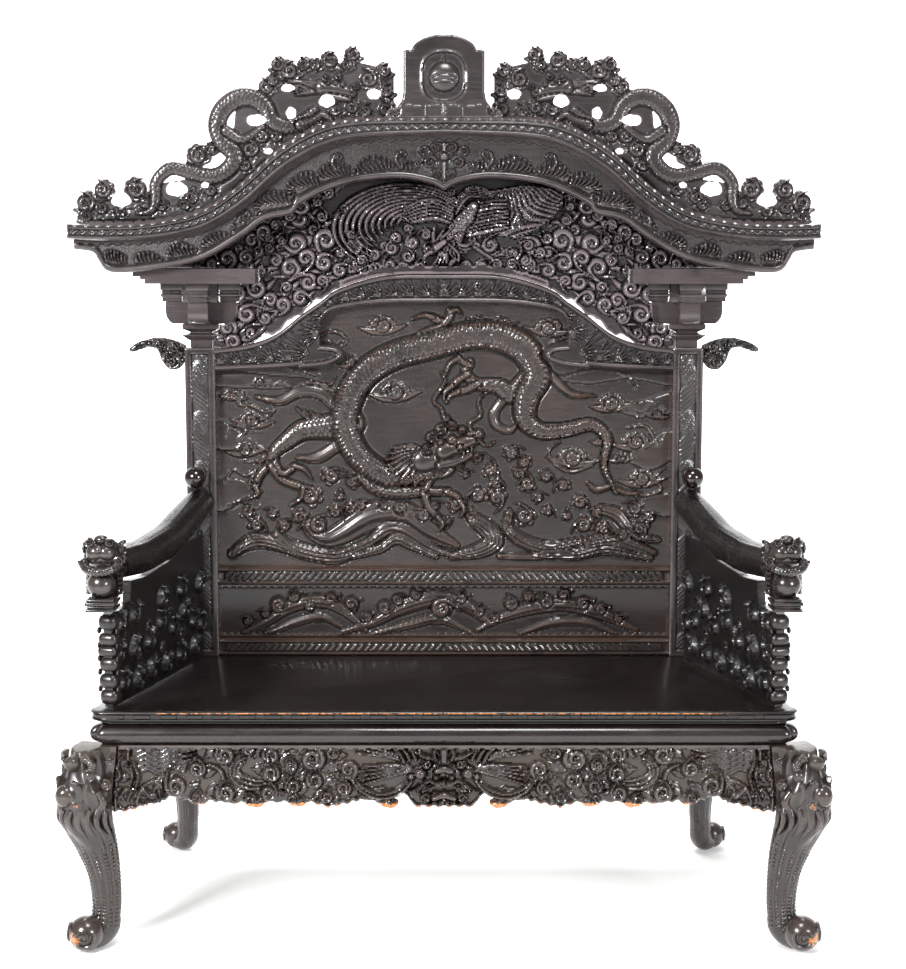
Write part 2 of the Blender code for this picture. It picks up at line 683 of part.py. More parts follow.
DRAGON_SPINE = ((615, 487), (603, 460), (606, 433), (591, 419), (564, 424), (540, 425), (525, 413))
DRAGON_SPINE += ((526, 391), (536, 370), (525, 346), (500, 332), (471, 330), (432, 340), (395, 350))
DRAGON_SPINE += ((367, 367), (351, 391), (346, 420), (360, 451), (388, 470), (412, 462))
DRAGON_BREADTH = (1.5, 3, 5, 6, 7, 8, 10, 12, 13, 14, 14, 13, 13, 13, 13, 13, 13, 12, 12, 12)
DRAGON_LIMBS = (((350, 415), (324, 424), (294, 436), (276, 457), (262, 478)),)
DRAGON_LIMBS += (((365, 462), (378, 480), (414, 489), (447, 487), (458, 500)),)
DRAGON_LIMBS += (((532, 395), (510, 379), (484, 370), (463, 362)),)
DRAGON_MANE = (((425, 440), (400, 425), (388, 432)), ((428, 450), (400, 448), (384, 452)))
DRAGON_MANE += (((436, 436), (440, 415), (452, 404)), ((430, 460), (412, 474), (402, 462)))
DRAGON_FINS = (((345, 400), (325, 398), (300, 410)), ((348, 385), (330, 370), (322, 352)))
PANEL_CLOUDS = ((399, 388, 9), (385, 319, 9), (498, 317, 8), (552, 320, 9), (609, 395, 9), (570, 451, 11))
PANEL_CLOUDS += ((633, 436, 9), (642, 472, 10), (258, 415, 10), (354, 359, 7), (247, 470, 9), (300, 385, 8))
PANEL_CLOUDS += ((640, 400, 8), (430, 316, 8), (480, 460, 7), (492, 490, 8), (310, 480, 8), (333, 492, 8))
PANEL_SWELLS = (((232, 548), (270, 546), (320, 534), (362, 516), (396, 508), (424, 524), (462, 548)),)
PANEL_SWELLS += (((250, 505), (285, 515), (318, 520), (350, 510)),)
PANEL_SWELLS += (((340, 552), (380, 540), (420, 548)), ((500, 548), (512, 520), (530, 508), (548, 520)))
PANEL_SWELLS += (((520, 552), (560, 548), (600, 530), (650, 520)), ((575, 512), (600, 505), (640, 510)))


def make_dragon_panel():
    """The main panel: one dragon coiled over waves, among small clouds."""
    arch_top = arch_outline(top=True)
    high = ARCH_CENTRE_TOP + 0.012
    relief = Relief(-PANEL_HALF, PANEL_HALF, DRAGON_LOW, high, 0.0082)
    tall = ARCH_CENTRE_TOP - DRAGON_LOW
    sheet = Sheet(225, PANEL_HALF, 562, DRAGON_LOW, 300.6, DRAGON_LOW + 0.8928 * tall)
    spread = np.interp(np.linspace(0, 1, 6 * 19 + 1), np.linspace(0, 1, 20), DRAGON_BREADTH) * sheet.step
    relief.stroke(smooth(sheet.at(DRAGON_SPINE)), spread, DRAGON_CARVING)
    for line in DRAGON_LIMBS:
        relief.stroke(smooth(sheet.at(line)), 0.013, DRAGON_CARVING * 0.8)
    for line in DRAGON_MANE + DRAGON_FINS:
        relief.stroke(smooth(sheet.at(line)), 0.012, DRAGON_CARVING * 0.65)
    relief.stroke(sheet.at([(428, 450), (445, 442), (472, 432)]), [0.032, 0.028, 0.015], DRAGON_CARVING * 1.15)
    for column, row, size in PANEL_CLOUDS:
        (x, z), = sheet.at([(column, row)])
        relief.cloud(x, z, size * sheet.step, DRAGON_CARVING * 0.5)
    for line in PANEL_SWELLS:
        relief.stroke(smooth(sheet.at(line)), 0.014, DRAGON_CARVING * 0.7)
    relief.height *= np.clip((-inside_arch(relief.x, relief.z) - relief.cell) / 0.010, 0, 1)
    distance = height_at(arch_top, relief.x) - 0.012 - relief.z
    bm = carved_board(relief, distance, PANEL_FACE, PANEL_FACE + PANEL_THICK)
    add_piece("panel_dragon", bm, RED_BROWN, faces=1200)


WAVE_GROUPS = (((258, 622), (280, 612), (300, 600), (322, 598), (335, 606)),)
WAVE_GROUPS += (((335, 620), (350, 608), (364, 612)),)
WAVE_GROUPS += (((375, 606), (400, 594), (430, 592), (452, 600), (446, 612)),)
WAVE_GROUPS += (((430, 622), (460, 612), (490, 604), (515, 610)),)
WAVE_GROUPS += (((505, 620), (530, 612), (560, 608), (590, 612)),)
WAVE_CURLS = ((270, 605, 9), (300, 612, 8), (348, 600, 8), (395, 612, 9), (440, 606, 12), (485, 612, 8))
WAVE_CURLS += ((525, 600, 8), (560, 598, 9), (600, 604, 9))


def make_waves_panel():
    """Frieze of running waves under the dragon."""
    relief = Relief(-PANEL_HALF, PANEL_HALF, WAVES_LOW, WAVES_LOW + WAVES_TALL, 0.008)
    sheet = Sheet(228, PANEL_HALF, 638, WAVES_LOW, 580, WAVES_LOW + WAVES_TALL)
    for line in WAVE_GROUPS:
        relief.stroke(smooth(sheet.at(line)), 0.013, WAVE_CARVING)
    for column, row, size in WAVE_CURLS:
        (x, z), = sheet.at([(column, row)])
        relief.cloud(x, z, size * sheet.step, WAVE_CARVING)
    inside = np.full(relief.x.shape, 1.0)
    bm = carved_board(relief, inside, PANEL_FACE, PANEL_FACE + PANEL_THICK)
    add_piece("panel_waves", bm, RED_BROWN, faces=260)


def arch_outline(top):
    """Points from the middle to the post along the arch rail's upper or lower edge."""
    if top:
        rise = ARCH_CENTRE_TOP - POST_TOP
        shares = ((0, 1.0), (0.25, 0.98), (0.45, 0.81), (0.54, 0.62), (0.62, 0.45), (0.73, 0.19), (0.85, 0.05))
        outline = [(PANEL_HALF * x, POST_TOP + rise * z) for x, z in shares]
        return outline + [(PANEL_HALF, POST_TOP - 0.002)]
    drop = ARCH_CENTRE_BOTTOM - POST_TOP
    shares = ((0, 1.0), (0.20, 1.0), (0.32, 0.97), (0.41, 0.91), (0.49, 0.82), (0.535, 0.62), (0.545, 0.30))
    outline = [(PANEL_HALF * x, POST_TOP + drop * z) for x, z in shares]
    ends = ((0.56, -0.2486), (0.67, -0.4216), (1.0, -0.5081))
    return outline + [(PANEL_HALF * x, POST_TOP + drop * z) for x, z in ends]


def inside_arch(x, z):
    """Distance inside the arch rail's outline, its inturned tips with it."""
    shares = ((0.6333, -0.2763), (0.5172, -0.2368), (0.4475, -0.1447), (0.4518, -0.0263))
    shares += ((0.5066, 0.0263), (0.6333, 0.0132))
    rise = ARCH_CENTRE_TOP - POST_TOP
    corners = [(PANEL_HALF * a, POST_TOP + rise * b) for a, b in shares]
    tips = [inside_polygon(x * side, z, corners) for side in (-1, 1)]
    band = z - height_at(arch_outline(top=False), x)
    return np.minimum(height_at(arch_outline(top=True), x) - z, np.maximum(band, np.maximum(*tips)))


def make_arch_rail():
    """The rail over the dragon panel: a raised field between two beads, with inturned tips."""
    rise = ARCH_CENTRE_TOP - POST_TOP
    relief = Relief(-PANEL_HALF, PANEL_HALF, POST_TOP - 0.447 * rise, ARCH_CENTRE_TOP + 0.13 * rise, 0.0082)
    distance = inside_arch(relief.x, relief.z)
    bead = np.exp(-((distance - 0.006) / 0.005) ** 2)
    relief.height = 0.005 * bead
    spokes = np.arctan2(relief.z - POST_TOP + 0.58 * rise, np.abs(relief.x))
    leaf = np.clip(distance - 0.012, 0, 0.012) / 0.012
    turns = np.where(np.abs(relief.x) < 0.633 * PANEL_HALF, spokes * 40, relief.x * 150)
    relief.height += 0.004 * leaf * (1 + np.cos(turns))
    back = FRAME_FACE + ARCH_DEEP
    bm = carved_board(relief, distance, FRAME_FACE + 0.004, back - GAP)
    add_piece("arch_rail", bm, GREY_LACQUER, faces=400)


# Capitals and beams over the posts

def square_stack(x, y, levels):
    """Squares of given half width stacked at given heights."""
    corners = ((-1, -1), (1, -1), (1, 1), (-1, 1))
    return loft([[(x + half * a, y + half * b, z) for a, b in corners] for z, half in levels])


def make_capital(side):
    """Post head: a necked cap, a cross of bracket arms, four bearing blocks and a stepped beam."""
    label = "right" if side > 0 else "left"
    x, y = POST_MIDDLE_X - 0.003, POST_MIDDLE_Y
    low, tall = CAPITAL_LOW, CAPITAL_TALL
    levels = ((0, NECK_HALF), (0.30, NECK_HALF), (0.46, RING_HALF - 0.004), (0.52, RING_HALF))
    levels += ((0.60, NECK_HALF + 0.002), (0.66, NECK_HALF), (0.74, BLOCK_HALF - 0.006), (0.80, BLOCK_HALF))
    levels += ((1.0, BLOCK_HALF),)
    bm = square_stack(x, y, [(low + share * tall, half) for share, half in levels])
    add_piece("capital_" + label, bm, GREY_LACQUER, side=side, sharp=25)
    rings = []
    for share, reach in ((0, 0.80), (0.25, 0.95), (0.5, 1.0), (1.0, 1.0)):
        arm, half = ARM_REACH * reach, ARM_HALF
        plan = [(half, -half), (arm, -half), (arm, half), (half, half), (half, arm), (-half, arm)]
        plan += [(-half, half), (-arm, half), (-arm, -half), (-half, -half), (-half, -arm), (half, -arm)]
        rings.append([(x + a, y + b, BRACKET_LOW + share * BRACKET_TALL) for a, b in plan])
    add_piece("bracket_" + label, loft(rings), GREY_LACQUER, side=side, sharp=25)
    offset = ARM_REACH + 0.010 - BEARING_HALF
    places = {"outer": (offset, 0), "inner": (-offset, 0), "front": (0, -offset), "back": (0, offset)}
    for place, (dx, dy) in places.items():
        steps = ((0, 0.020), (0.25, 0.020), (0.42, BEARING_HALF), (0.55, 0.020))
        steps += ((0.62, BEARING_HALF), (1.0, BEARING_HALF))
        levels = [(BEARING_LOW + share * BEARING_TALL, half) for share, half in steps]
        bm = square_stack(x + dx, y + dy, levels)
        add_piece("bearing_block_%s_%s" % (place, label), bm, GREY_LACQUER, side=side, sharp=25)
    front = ROOF_FRONT + ROOF_EDGE_DEEP + BARGE_THICK + 0.006
    rings = []
    for share, step in ((0, 1.0), (0.3, 1.0), (0.3, 0.0), (1.0, 0.0)):
        x0, x1 = BEAM_INNER + step * BEAM_STEP, BEAM_OUTER - step * BEAM_STEP
        z = BEAM_LOW + share * BEAM_TALL
        rings.append([(x0, front, z), (x1, front, z), (x1, ROOF_BACK, z), (x0, ROOF_BACK, z)])
    add_piece("canopy_beam_" + label, loft(rings), GREY_LACQUER, side=side, sharp=25)


# Roof

# shares of the roof's half width, then of its fall from the peak to the eaves
ROOF_TOP = ((0, 0), (0.22, -0.0077), (0.326, -0.0751), (0.4313, -0.2775), (0.5379, -0.6146))
ROOF_TOP += ((0.6439, -0.8671), (0.7767, -0.9807), (0.9095, -1), (1, -0.9904))
ROOF_LOW = ((0, -0.1378), (0.22, -0.1763), (0.326, -0.2678), (0.4319, -0.4846), (0.5386, -0.8121))
ROOF_LOW += ((0.6452, -1.0289), (0.778, -1.1204), (0.9108, -1.1397), (1, -1.1301))
BARGE_LOW = ((0, -0.6676), (0.0376, -0.6002), (0.1167, -0.552), (0.2227, -0.5809), (0.3032, -0.658))
BARGE_LOW += ((0.3836, -0.7977), (0.4078, -0.894), (0.4769, -0.9518), (0.5446, -1.1204), (0.6519, -1.3324))
BARGE_LOW += ((0.786, -1.4263), (0.8719, -1.4528), (0.9068, -1.4239), (0.9256, -1.3276), (0.9403, -1.2553))
BARGE_LOW += ((0.9899, -1.2264),)
BARGE_END = ROOF_HALF - BARGE_RETURN


def roof_z(points, x):
    return height_at([(a * ROOF_HALF, ROOF_PEAK + b * ROOF_FALL) for a, b in points], x)


def curved_bar(x0, x1, count, y0, y1, low, top):
    """A bar along the roof line between depths y0 and y1."""
    rings = []
    for x in np.linspace(x0, x1, count):
        a, b = float(low(x)), float(top(x))
        rings.append([(x, y0, a), (x, y1, a), (x, y1, b), (x, y0, b)])
    return loft(rings)


def make_roof():
    edge_back = ROOF_FRONT + ROOF_EDGE_DEEP
    for side, label in ((1, "right"), (-1, "left")):
        rings = []
        for x in np.linspace(GAP / 2, ROOF_HALF, 15):
            a, b = float(roof_z(ROOF_LOW, x)), float(roof_z(ROOF_TOP, x))
            tall = b - a
            ring = [(x, ROOF_FRONT + 0.006, a), (x, edge_back, a)]
            ring += [(x, edge_back, b), (x, ROOF_FRONT + 0.012, b)]
            ring += [(x, ROOF_FRONT, b - tall * 0.12), (x, ROOF_FRONT, b - tall * 0.28)]
            ring += [(x, ROOF_FRONT + 0.005, b - tall * 0.36), (x, ROOF_FRONT + 0.005, a + tall * 0.28)]
            ring += [(x, ROOF_FRONT, a + tall * 0.20)]
            rings.append(ring)
        add_piece("roof_edge_" + label, loft(rings), GREY_LACQUER, side=side)
    bm = curved_bar(-ROOF_HALF + 0.003, ROOF_HALF - 0.003, 29, edge_back + GAP, ROOF_BACK,
                    lambda x: roof_z(ROOF_LOW, x), lambda x: roof_z(ROOF_TOP, x))
    add_piece("roof_board", bm, GREY_LACQUER)
    half = BEAM_OUTER
    bm = curved_bar(-half, half, 25, ROOF_BACK - GABLE_BOARD_THICK - 0.004, ROOF_BACK - 0.004,
                    lambda x: BEAM_TOP + GAP, lambda x: roof_z(ROOF_LOW, x) - ROOF_CLEAR)
    add_piece("gable_board", bm, GREY_LACQUER)


BARGE_LEAVES = 9


def make_bargeboard():
    """Board under the roof edge: leaf fans on a plain field over a raised lower bead."""
    relief = Relief(-BARGE_END, BARGE_END, ROOF_PEAK - 1.54 * ROOF_FALL, ROOF_PEAK, 0.0085)
    top = roof_z(ROOF_LOW, relief.x) - ROOF_CLEAR - relief.z
    low = roof_z(BARGE_LOW, relief.x)
    rise = relief.z - low
    slope = np.abs(np.gradient(low, relief.xs, axis=1))
    distance = np.minimum(top, rise / np.sqrt(1 + slope ** 2))
    distance = np.minimum(distance, BARGE_END - np.abs(relief.x))
    relief.height = 0.006 * np.exp(-((distance - 0.009) / 0.007) ** 2) * (distance < 0.5 * (distance + top))
    for step in range(BARGE_LEAVES):
        share = (step + 0.7) / (BARGE_LEAVES + 0.2)
        x = share * BARGE_END * 0.93
        z = float(roof_z(BARGE_LOW, x)) * 0.36 + float(roof_z(ROOF_LOW, x)) * 0.64
        for side in (-1, 1):
            for spoke in (-0.6, 0.1, 0.8):
                tip = (side * (x + 0.026 * math.cos(spoke)), z + 0.030 * math.sin(spoke))
                relief.stroke([(side * (x - 0.02), z - 0.008), tip], [0.008, 0.004], BARGE_CARVING)
    relief.dome(0, ROOF_PEAK - 0.36 * ROOF_FALL, 0.116 * ROOF_FALL, BARGE_CARVING)
    front = ROOF_FRONT + ROOF_EDGE_DEEP - 0.004
    bm = carved_board(relief, distance, front, front + BARGE_THICK)
    add_piece("bargeboard", bm, GREY_LACQUER, faces=520)


PHOENIX_WINGS = (((432, 226), (405, 206), (372, 196), (345, 205)), ((432, 232), (400, 218), (368, 214)))
PHOENIX_WINGS += (((430, 240), (405, 232), (380, 236)), ((462, 224), (495, 205), (530, 194), (562, 203)))
PHOENIX_WINGS += (((462, 232), (500, 218), (540, 214)), ((470, 240), (505, 232), (545, 232)))
PHOENIX_WINGS += (((470, 246), (505, 246), (550, 250)), ((430, 248), (400, 252), (370, 250)))
PHOENIX_BODY = ((452, 222), (444, 235), (437, 246), (428, 250))
GABLE_CLOUDS = ((330, 225, 12), (322, 262, 11), (300, 250, 11), (285, 275, 12), (300, 290, 9), (262, 268, 10))
GABLE_CLOUDS += ((268, 300, 11), (248, 285, 10), (238, 320, 11), (255, 325, 9), (345, 240, 9), (340, 262, 9))
GABLE_CLOUDS += ((308, 222, 10), (283, 248, 9), (360, 262, 9), (228, 300, 9), (226, 335, 8))


def make_phoenix_panel():
    """Gable panel: a phoenix with spread wings, clouds down both sides, a lobed lower edge."""
    reach = BEAM_OUTER - 0.06
    relief = Relief(-reach - 0.02, reach + 0.02, POST_TOP - 0.02, ROOF_PEAK, 0.0085)
    x, z = np.abs(relief.x), relief.z
    top = roof_z(ROOF_LOW, relief.x) - ROOF_CLEAR - z
    arch = z - height_at(arch_outline(top=True), relief.x) - ARCH_CLEAR
    lobes = 0.016 + 0.014 * np.cos(x * 78)
    lobes = np.where(x < 0.20, 0.0, np.clip(lobes, 0, None))
    lobes *= np.clip((x - 0.20) / 0.04, 0, 1)
    capital = POST_MIDDLE_X - 0.003
    steps = np.where(z < BRACKET_LOW - 0.009, capital - BLOCK_HALF, capital - ARM_REACH)
    steps = np.where(z > BEARING_LOW - 0.009, capital - ARM_REACH - 0.010, steps)
    steps = np.where(z > BEAM_LOW - 0.009, BEAM_INNER, steps)
    steps = np.where(z > BEAM_TOP + 0.009, reach, steps)
    distance = np.minimum(np.minimum(top, arch - lobes), steps - 0.005 - x)
    gable = ROOF_PEAK - POST_TOP
    sheet = Sheet(222, 0.9595 * PANEL_HALF, 340, POST_TOP + 0.0284 * gable, 190, POST_TOP + 0.6949 * gable)
    for line in PHOENIX_WINGS:
        relief.stroke(smooth(sheet.at(line)), 0.013, PHOENIX_CARVING * 0.75)
    relief.stroke(smooth(sheet.at(PHOENIX_BODY)), [0.020] * 6 + [0.024] * 7 + [0.014] * 6, PHOENIX_CARVING)
    for column, row, size in GABLE_CLOUDS:
        for (place,) in sheet.mirrored([(column, row)]):
            relief.cloud(*place, size * sheet.step, PHOENIX_CARVING * 0.6)
    relief.height *= np.clip((top - 0.004) / 0.012, 0, 1)
    back = FRAME_FACE + ARCH_DEEP
    bm = carved_board(relief, distance, back - PHOENIX_THICK, back)
    add_piece("panel_phoenix", bm, GREY_LACQUER, faces=720)


# Crest and finial

CREST_DRAGON = ((112, 198), (135, 202), (152, 196), (156, 178), (172, 165), (195, 166), (215, 165))
CREST_DRAGON += ((232, 152), (238, 132), (224, 112), (230, 96), (248, 92), (264, 97), (275, 112), (284, 128))
CREST_BREADTH = (2, 3, 5, 7, 8, 9, 9, 10, 11, 11, 11, 11, 10, 9, 7)
CREST_HEAD = ((372, 92), (352, 84), (330, 76), (308, 74), (286, 78))
CREST_SCROLLS = ((84, 198, 12), (92, 188, 11), (102, 183, 12), (80, 209, 8), (132, 184, 12), (143, 198, 9))
CREST_SCROLLS += ((197, 147, 11), (205, 152, 8), (262, 80, 10), (290, 66, 12), (304, 62, 10), (330, 54, 9))
CREST_SCROLLS += ((352, 50, 8), (368, 66, 10), (388, 72, 11), (384, 92, 10), (388, 108, 10), (392, 60, 7))
CREST_SCROLLS += ((247, 145, 12), (262, 132, 10), (310, 90, 8), (300, 118, 12), (318, 112, 10), (345, 108, 9))
CREST_SCROLLS += ((365, 108, 9), (340, 70, 11), (210, 186, 9), (184, 200, 9), (345, 90, 8), (278, 130, 10))
CREST_FOOT = ((84, 212), (140, 211), (180, 207), (215, 192), (245, 165))
CREST_FOOT += ((275, 142), (310, 126), (350, 119), (394, 116))
CREST_HOLES = ((119, 197, 10, 7), (175, 186, 11, 7), (216, 160, 6, 5), (256, 116, 10, 6), (291, 110, 5, 6))
CREST_HOLES += ((287, 85, 7, 3.5), (328, 100, 7, 6), (373, 90, 6, 3.5))

CREST_WEB_EDGE = ((82, 212), (92, 192), (140, 190), (160, 178), (200, 172), (228, 160), (232, 140), (236, 100))
CREST_WEB_EDGE += ((262, 82), (290, 72), (330, 62), (352, 58), (388, 66), (394, 70), (394, 116), (350, 120))
CREST_WEB_EDGE += ((310, 128), (275, 144), (245, 168), (215, 196), (180, 209), (140, 213))


def make_crest(name, side):
    """Pierced crest: a dragon climbing through cloud scrolls, carved on both faces."""
    inner = FINIAL_HALF - 0.010
    relief = Relief(-ROOF_HALF, -inner, ROOF_PEAK - 1.108 * ROOF_FALL, ROOF_PEAK + 1.183 * CREST_RISE, 0.0068)
    sheet = Sheet(369, 0.9839 * ROOF_HALF, 207, ROOF_PEAK - 0.8526 * ROOF_FALL, 50, ROOF_PEAK + CREST_RISE)
    spread = np.interp(np.linspace(0, 1, 6 * 14 + 1), np.linspace(0, 1, 15), CREST_BREADTH) * sheet.step
    relief.stroke(smooth(sheet.at(CREST_DRAGON)), spread, CREST_CARVING)
    relief.stroke(smooth(sheet.at(CREST_HEAD)), 0.020, CREST_CARVING)
    for column, row, size in CREST_SCROLLS:
        (x, z), = sheet.at([(column, row)])
        relief.cloud(x, z, size * sheet.step, CREST_CARVING * 0.75, -1 if column < 200 else 1)
        relief.stroke([(x, z), (x + 0.001, z)], size * sheet.step, 0.002)
    relief.stroke(smooth(sheet.at(CREST_FOOT)), 0.011, 0.004)
    holes = np.full(relief.x.shape, 9.0)
    for column, row, wide, tall in CREST_HOLES:
        (x, z), = sheet.at([(column, row)])
        away = np.hypot((relief.x - x) / wide, (relief.z - z) / tall) / sheet.step
        holes = np.minimum(holes, (away - 1) * tall * sheet.step)
    web = inside_polygon(relief.x, relief.z, sheet.at(CREST_WEB_EDGE))
    cover = np.minimum(np.maximum(relief.cover, web), holes)
    over_roof = relief.z - roof_z(ROOF_TOP, relief.x) - ROOF_CLEAR
    distance = np.minimum(cover, over_roof)
    distance = np.minimum(distance, np.minimum(-inner - relief.x, relief.x + ROOF_HALF) + 0.001)
    front, back = CREST_MIDDLE - CREST_WEB / 2, CREST_MIDDLE + CREST_WEB / 2
    bm = carved_board(relief, distance, front, back, both=True)
    add_piece(name, bm, GREY_LACQUER, side=-side, faces=580)


def make_finial():
    """Round-topped tablet on flared feet, with a sunk niche and a round jewel."""
    low = ROOF_PEAK + GAP
    high = low + FINIAL_TALL
    half, base = FINIAL_HALF, FINIAL_BASE_HALF
    shoulder = high - 0.034
    turns = np.linspace(0.15, math.pi - 0.15, 9)
    arc = [(half * 0.80 * math.cos(a), shoulder + 0.034 * math.sin(a)) for a in turns]
    right = [(base, low), (base, low + 0.014), (half + 0.010, low + 0.030)]
    right += [(half, low + 0.050), (half, shoulder)]
    corners = right + arc + [(-x, z) for x, z in reversed(right)]
    relief = Relief(-base, base, low, high, 0.008)
    distance = inside_polygon(relief.x, relief.z, corners)
    distance = np.where(relief.z < low + 0.004, np.maximum(distance, 0.001), distance)
    niche = np.hypot(relief.x / 0.046, (relief.z - low - 0.080) / 0.052)
    relief.height = 0.005 * np.clip((niche - 0.92) / 0.10, 0, 1)
    relief.dome(0, low + 0.080, BOSS_RADIUS, 0.011)
    front = ROOF_FRONT + FINIAL_SETBACK
    bm = carved_board(relief, distance, front, front + FINIAL_THICK)
    add_piece("finial", bm, GREY_LACQUER, faces=180)


# Arms

def arm_x(y):
    return ARM_BACK_X + (FRAME_FACE - y) * ARM_SPLAY


def arm_middle(y):
    """Height of the arm's middle over the seat at depth y."""
    rises = (0.275, 0.268, 0.262, 0.274, 0.306, 0.328)
    return SEAT_TOP + np.interp(y, (-0.30, -0.22, -0.12, 0.0, 0.10, 0.17), rises)


def make_arm(name, side):
    """Arm: a scaled dragon body, its head at the front with a ball held in the jaws."""
    depths = np.linspace(FRAME_FACE - GAP, ARM_FRONT_Y + 0.045, 15)
    path = [(arm_x(y), y, float(arm_middle(y))) for y in depths]
    path[0] = (path[0][0], path[0][1] - 0.0005, path[0][2])
    radii = [ARM_RADIUS * (1 + 0.12 * math.sin(step * math.pi / 14)) for step in range(15)]
    rings = swept(path, radii, around=12)
    for point in rings[0]:
        point[1] = FRAME_FACE - GAP
    x, y, z = arm_x(ARM_FRONT_Y), ARM_FRONT_Y, SEAT_TOP + 0.275
    bodies = [loft(rings)]
    bodies.append(ball((x - 0.004, y + 0.020, z + 0.020), 0.036, (1.05, 1.25, 0.95)))
    bodies.append(ball((x + 0.018, y - 0.006, z + 0.034), 0.017))
    bodies.append(ball((x - 0.018, y - 0.006, z + 0.034), 0.017))
    bodies.append(ball((x, y - 0.022, z + 0.018), 0.021))
    bodies.append(ball((x + 0.024, y - 0.018, z + 0.001), 0.016))
    bodies.append(ball((x - 0.024, y - 0.018, z + 0.001), 0.016))
    bodies.append(ball((x, y - 0.010, z - 0.037), 0.030))
    bodies.append(ball((x, y + 0.020, z - 0.045), 0.034, (0.95, 0.9, 1.1)))
    jaw = box((x - 0.030, y - 0.036, z - 0.086), (x + 0.030, y + 0.035, z - 0.060))
    bmesh.ops.bevel(jaw, geom=jaw.edges[:], offset=0.008, segments=2, affect="EDGES", profile=0.5)
    bodies.append(jaw)
    grown_together(name, bodies, 0.0045, 420, LACQUER, side, roughness=0.2)


ARM_HOLES = ((0.17, 0.62), (0.30, 0.35), (0.40, 0.66), (0.53, 0.36), (0.62, 0.70), (0.74, 0.40), (0.86, 0.68))
ARM_CLOUDS = ((0.10, 0.80), (0.09, 0.50), (0.12, 0.20), (0.24, 0.48), (0.24, 0.82), (0.27, 0.14), (0.38, 0.48))
ARM_CLOUDS += ((0.40, 0.18), (0.50, 0.62), (0.56, 0.15), (0.63, 0.50), (0.52, 0.84), (0.70, 0.18), (0.75, 0.62))
ARM_CLOUDS += ((0.85, 0.46), (0.86, 0.18), (0.93, 0.40), (0.93, 0.82), (0.72, 0.86))


def make_arm_panel(name, side):
    """Pierced cloud panel under the arm, carved on both faces, its front edge in round steps."""
    length = (FRAME_FACE - ARM_FRONT_Y) / math.cos(math.atan(ARM_SPLAY))
    slant = math.atan(ARM_SPLAY)
    tall = 0.26
    relief = Relief(0, length, SEAT_TOP + CUT_CLEAR, SEAT_TOP + tall, 0.0075)
    share, rise = relief.x / length, (relief.z - SEAT_ON) / (tall * 0.8)
    depth = FRAME_FACE - (length - relief.x) * math.cos(slant)
    top = arm_middle(depth) - ARM_RADIUS * 1.12 - ARM_CLEAR - relief.z
    head = np.where(relief.x < 0.105, SEAT_TOP + 0.180 - relief.z, top)
    lobes = 0.016 + 0.007 * np.abs(np.sin(rise * 5.5 * math.pi)) - 0.020 * (1 - rise) * 0.8
    distance = np.minimum(np.minimum(top, head), relief.x - 0.030 + lobes)
    distance = np.minimum(distance, length - 0.008 - relief.x)
    for a, b in ARM_HOLES:
        away = np.hypot(relief.x - a * length, relief.z - SEAT_ON - b * tall * 0.72)
        distance = np.minimum(distance, away - 0.0125)
    for step, (a, b) in enumerate(ARM_CLOUDS):
        place = (a * length, SEAT_ON + b * tall * 0.75)
        relief.cloud(*place, 0.020, ARM_PANEL_CARVING * 0.8, 1 if step % 2 else -1)
    front_edge = np.clip(1 - relief.x / 0.035, 0, 1)
    relief.height = np.maximum(relief.height, ARM_PANEL_CARVING * front_edge ** 0.3)
    bm = carved_board(relief, distance, -ARM_PANEL_WEB / 2, ARM_PANEL_WEB / 2, both=True)
    start = (arm_x(ARM_FRONT_Y), ARM_FRONT_Y, 0)
    turn = Matrix.Translation(start) @ Matrix.Rotation(math.pi / 2 + slant, 4, "Z")
    add_piece(name, bm, LACQUER, side=side, turn=turn, faces=340)


def make_knob(name, side):
    """Polished ball on the tail end of the arm, against the post."""
    middle = (POST_INNER + POST_WIDE * 0.66, FRAME_FACE - KNOB_RADIUS - GAP, SEAT_TOP + KNOB_HEIGHT)
    add_piece(name, ball(middle, KNOB_RADIUS, segments=10), LACQUER, side=side, roughness=0.15)


def make_nosing(name, side):
    """Beam nosing: a cloud-carved beak with a drooping hooked tip."""
    x0 = POST_INNER + POST_WIDE + GAP
    top = POST_TOP + NOSING_TOP
    outline = ((0, -0.66), (0.10, -0.86), (0.28, -0.90), (0.42, -0.66), (0.50, -0.34), (0.66, -0.26))
    outline += ((0.80, -0.34), (0.95, -0.40), (1.0, -0.32), (0.86, -0.14), (0.62, -0.02), (0.42, 0.0))
    outline += ((0.20, -0.06), (0, -0.20))
    corners = smooth([(x0 + a * NOSING_REACH, top + b * NOSING_TALL) for a, b in outline], 4)
    relief = Relief(x0, x0 + NOSING_REACH, top - NOSING_TALL, top, 0.006)
    distance = inside_polygon(relief.x, relief.z, corners)
    for a, b, size in ((0.2, -0.3, 0.014), (0.25, -0.66, 0.013), (0.48, -0.2, 0.011), (0.1, -0.5, 0.010)):
        relief.cloud(x0 + a * NOSING_REACH, top + b * NOSING_TALL, size, 0.006)
    front = FRAME_FACE + 0.015
    bm = carved_board(relief, distance, front, front + NOSING_THICK)
    add_piece(name, bm, LACQUER, side=side, faces=110)


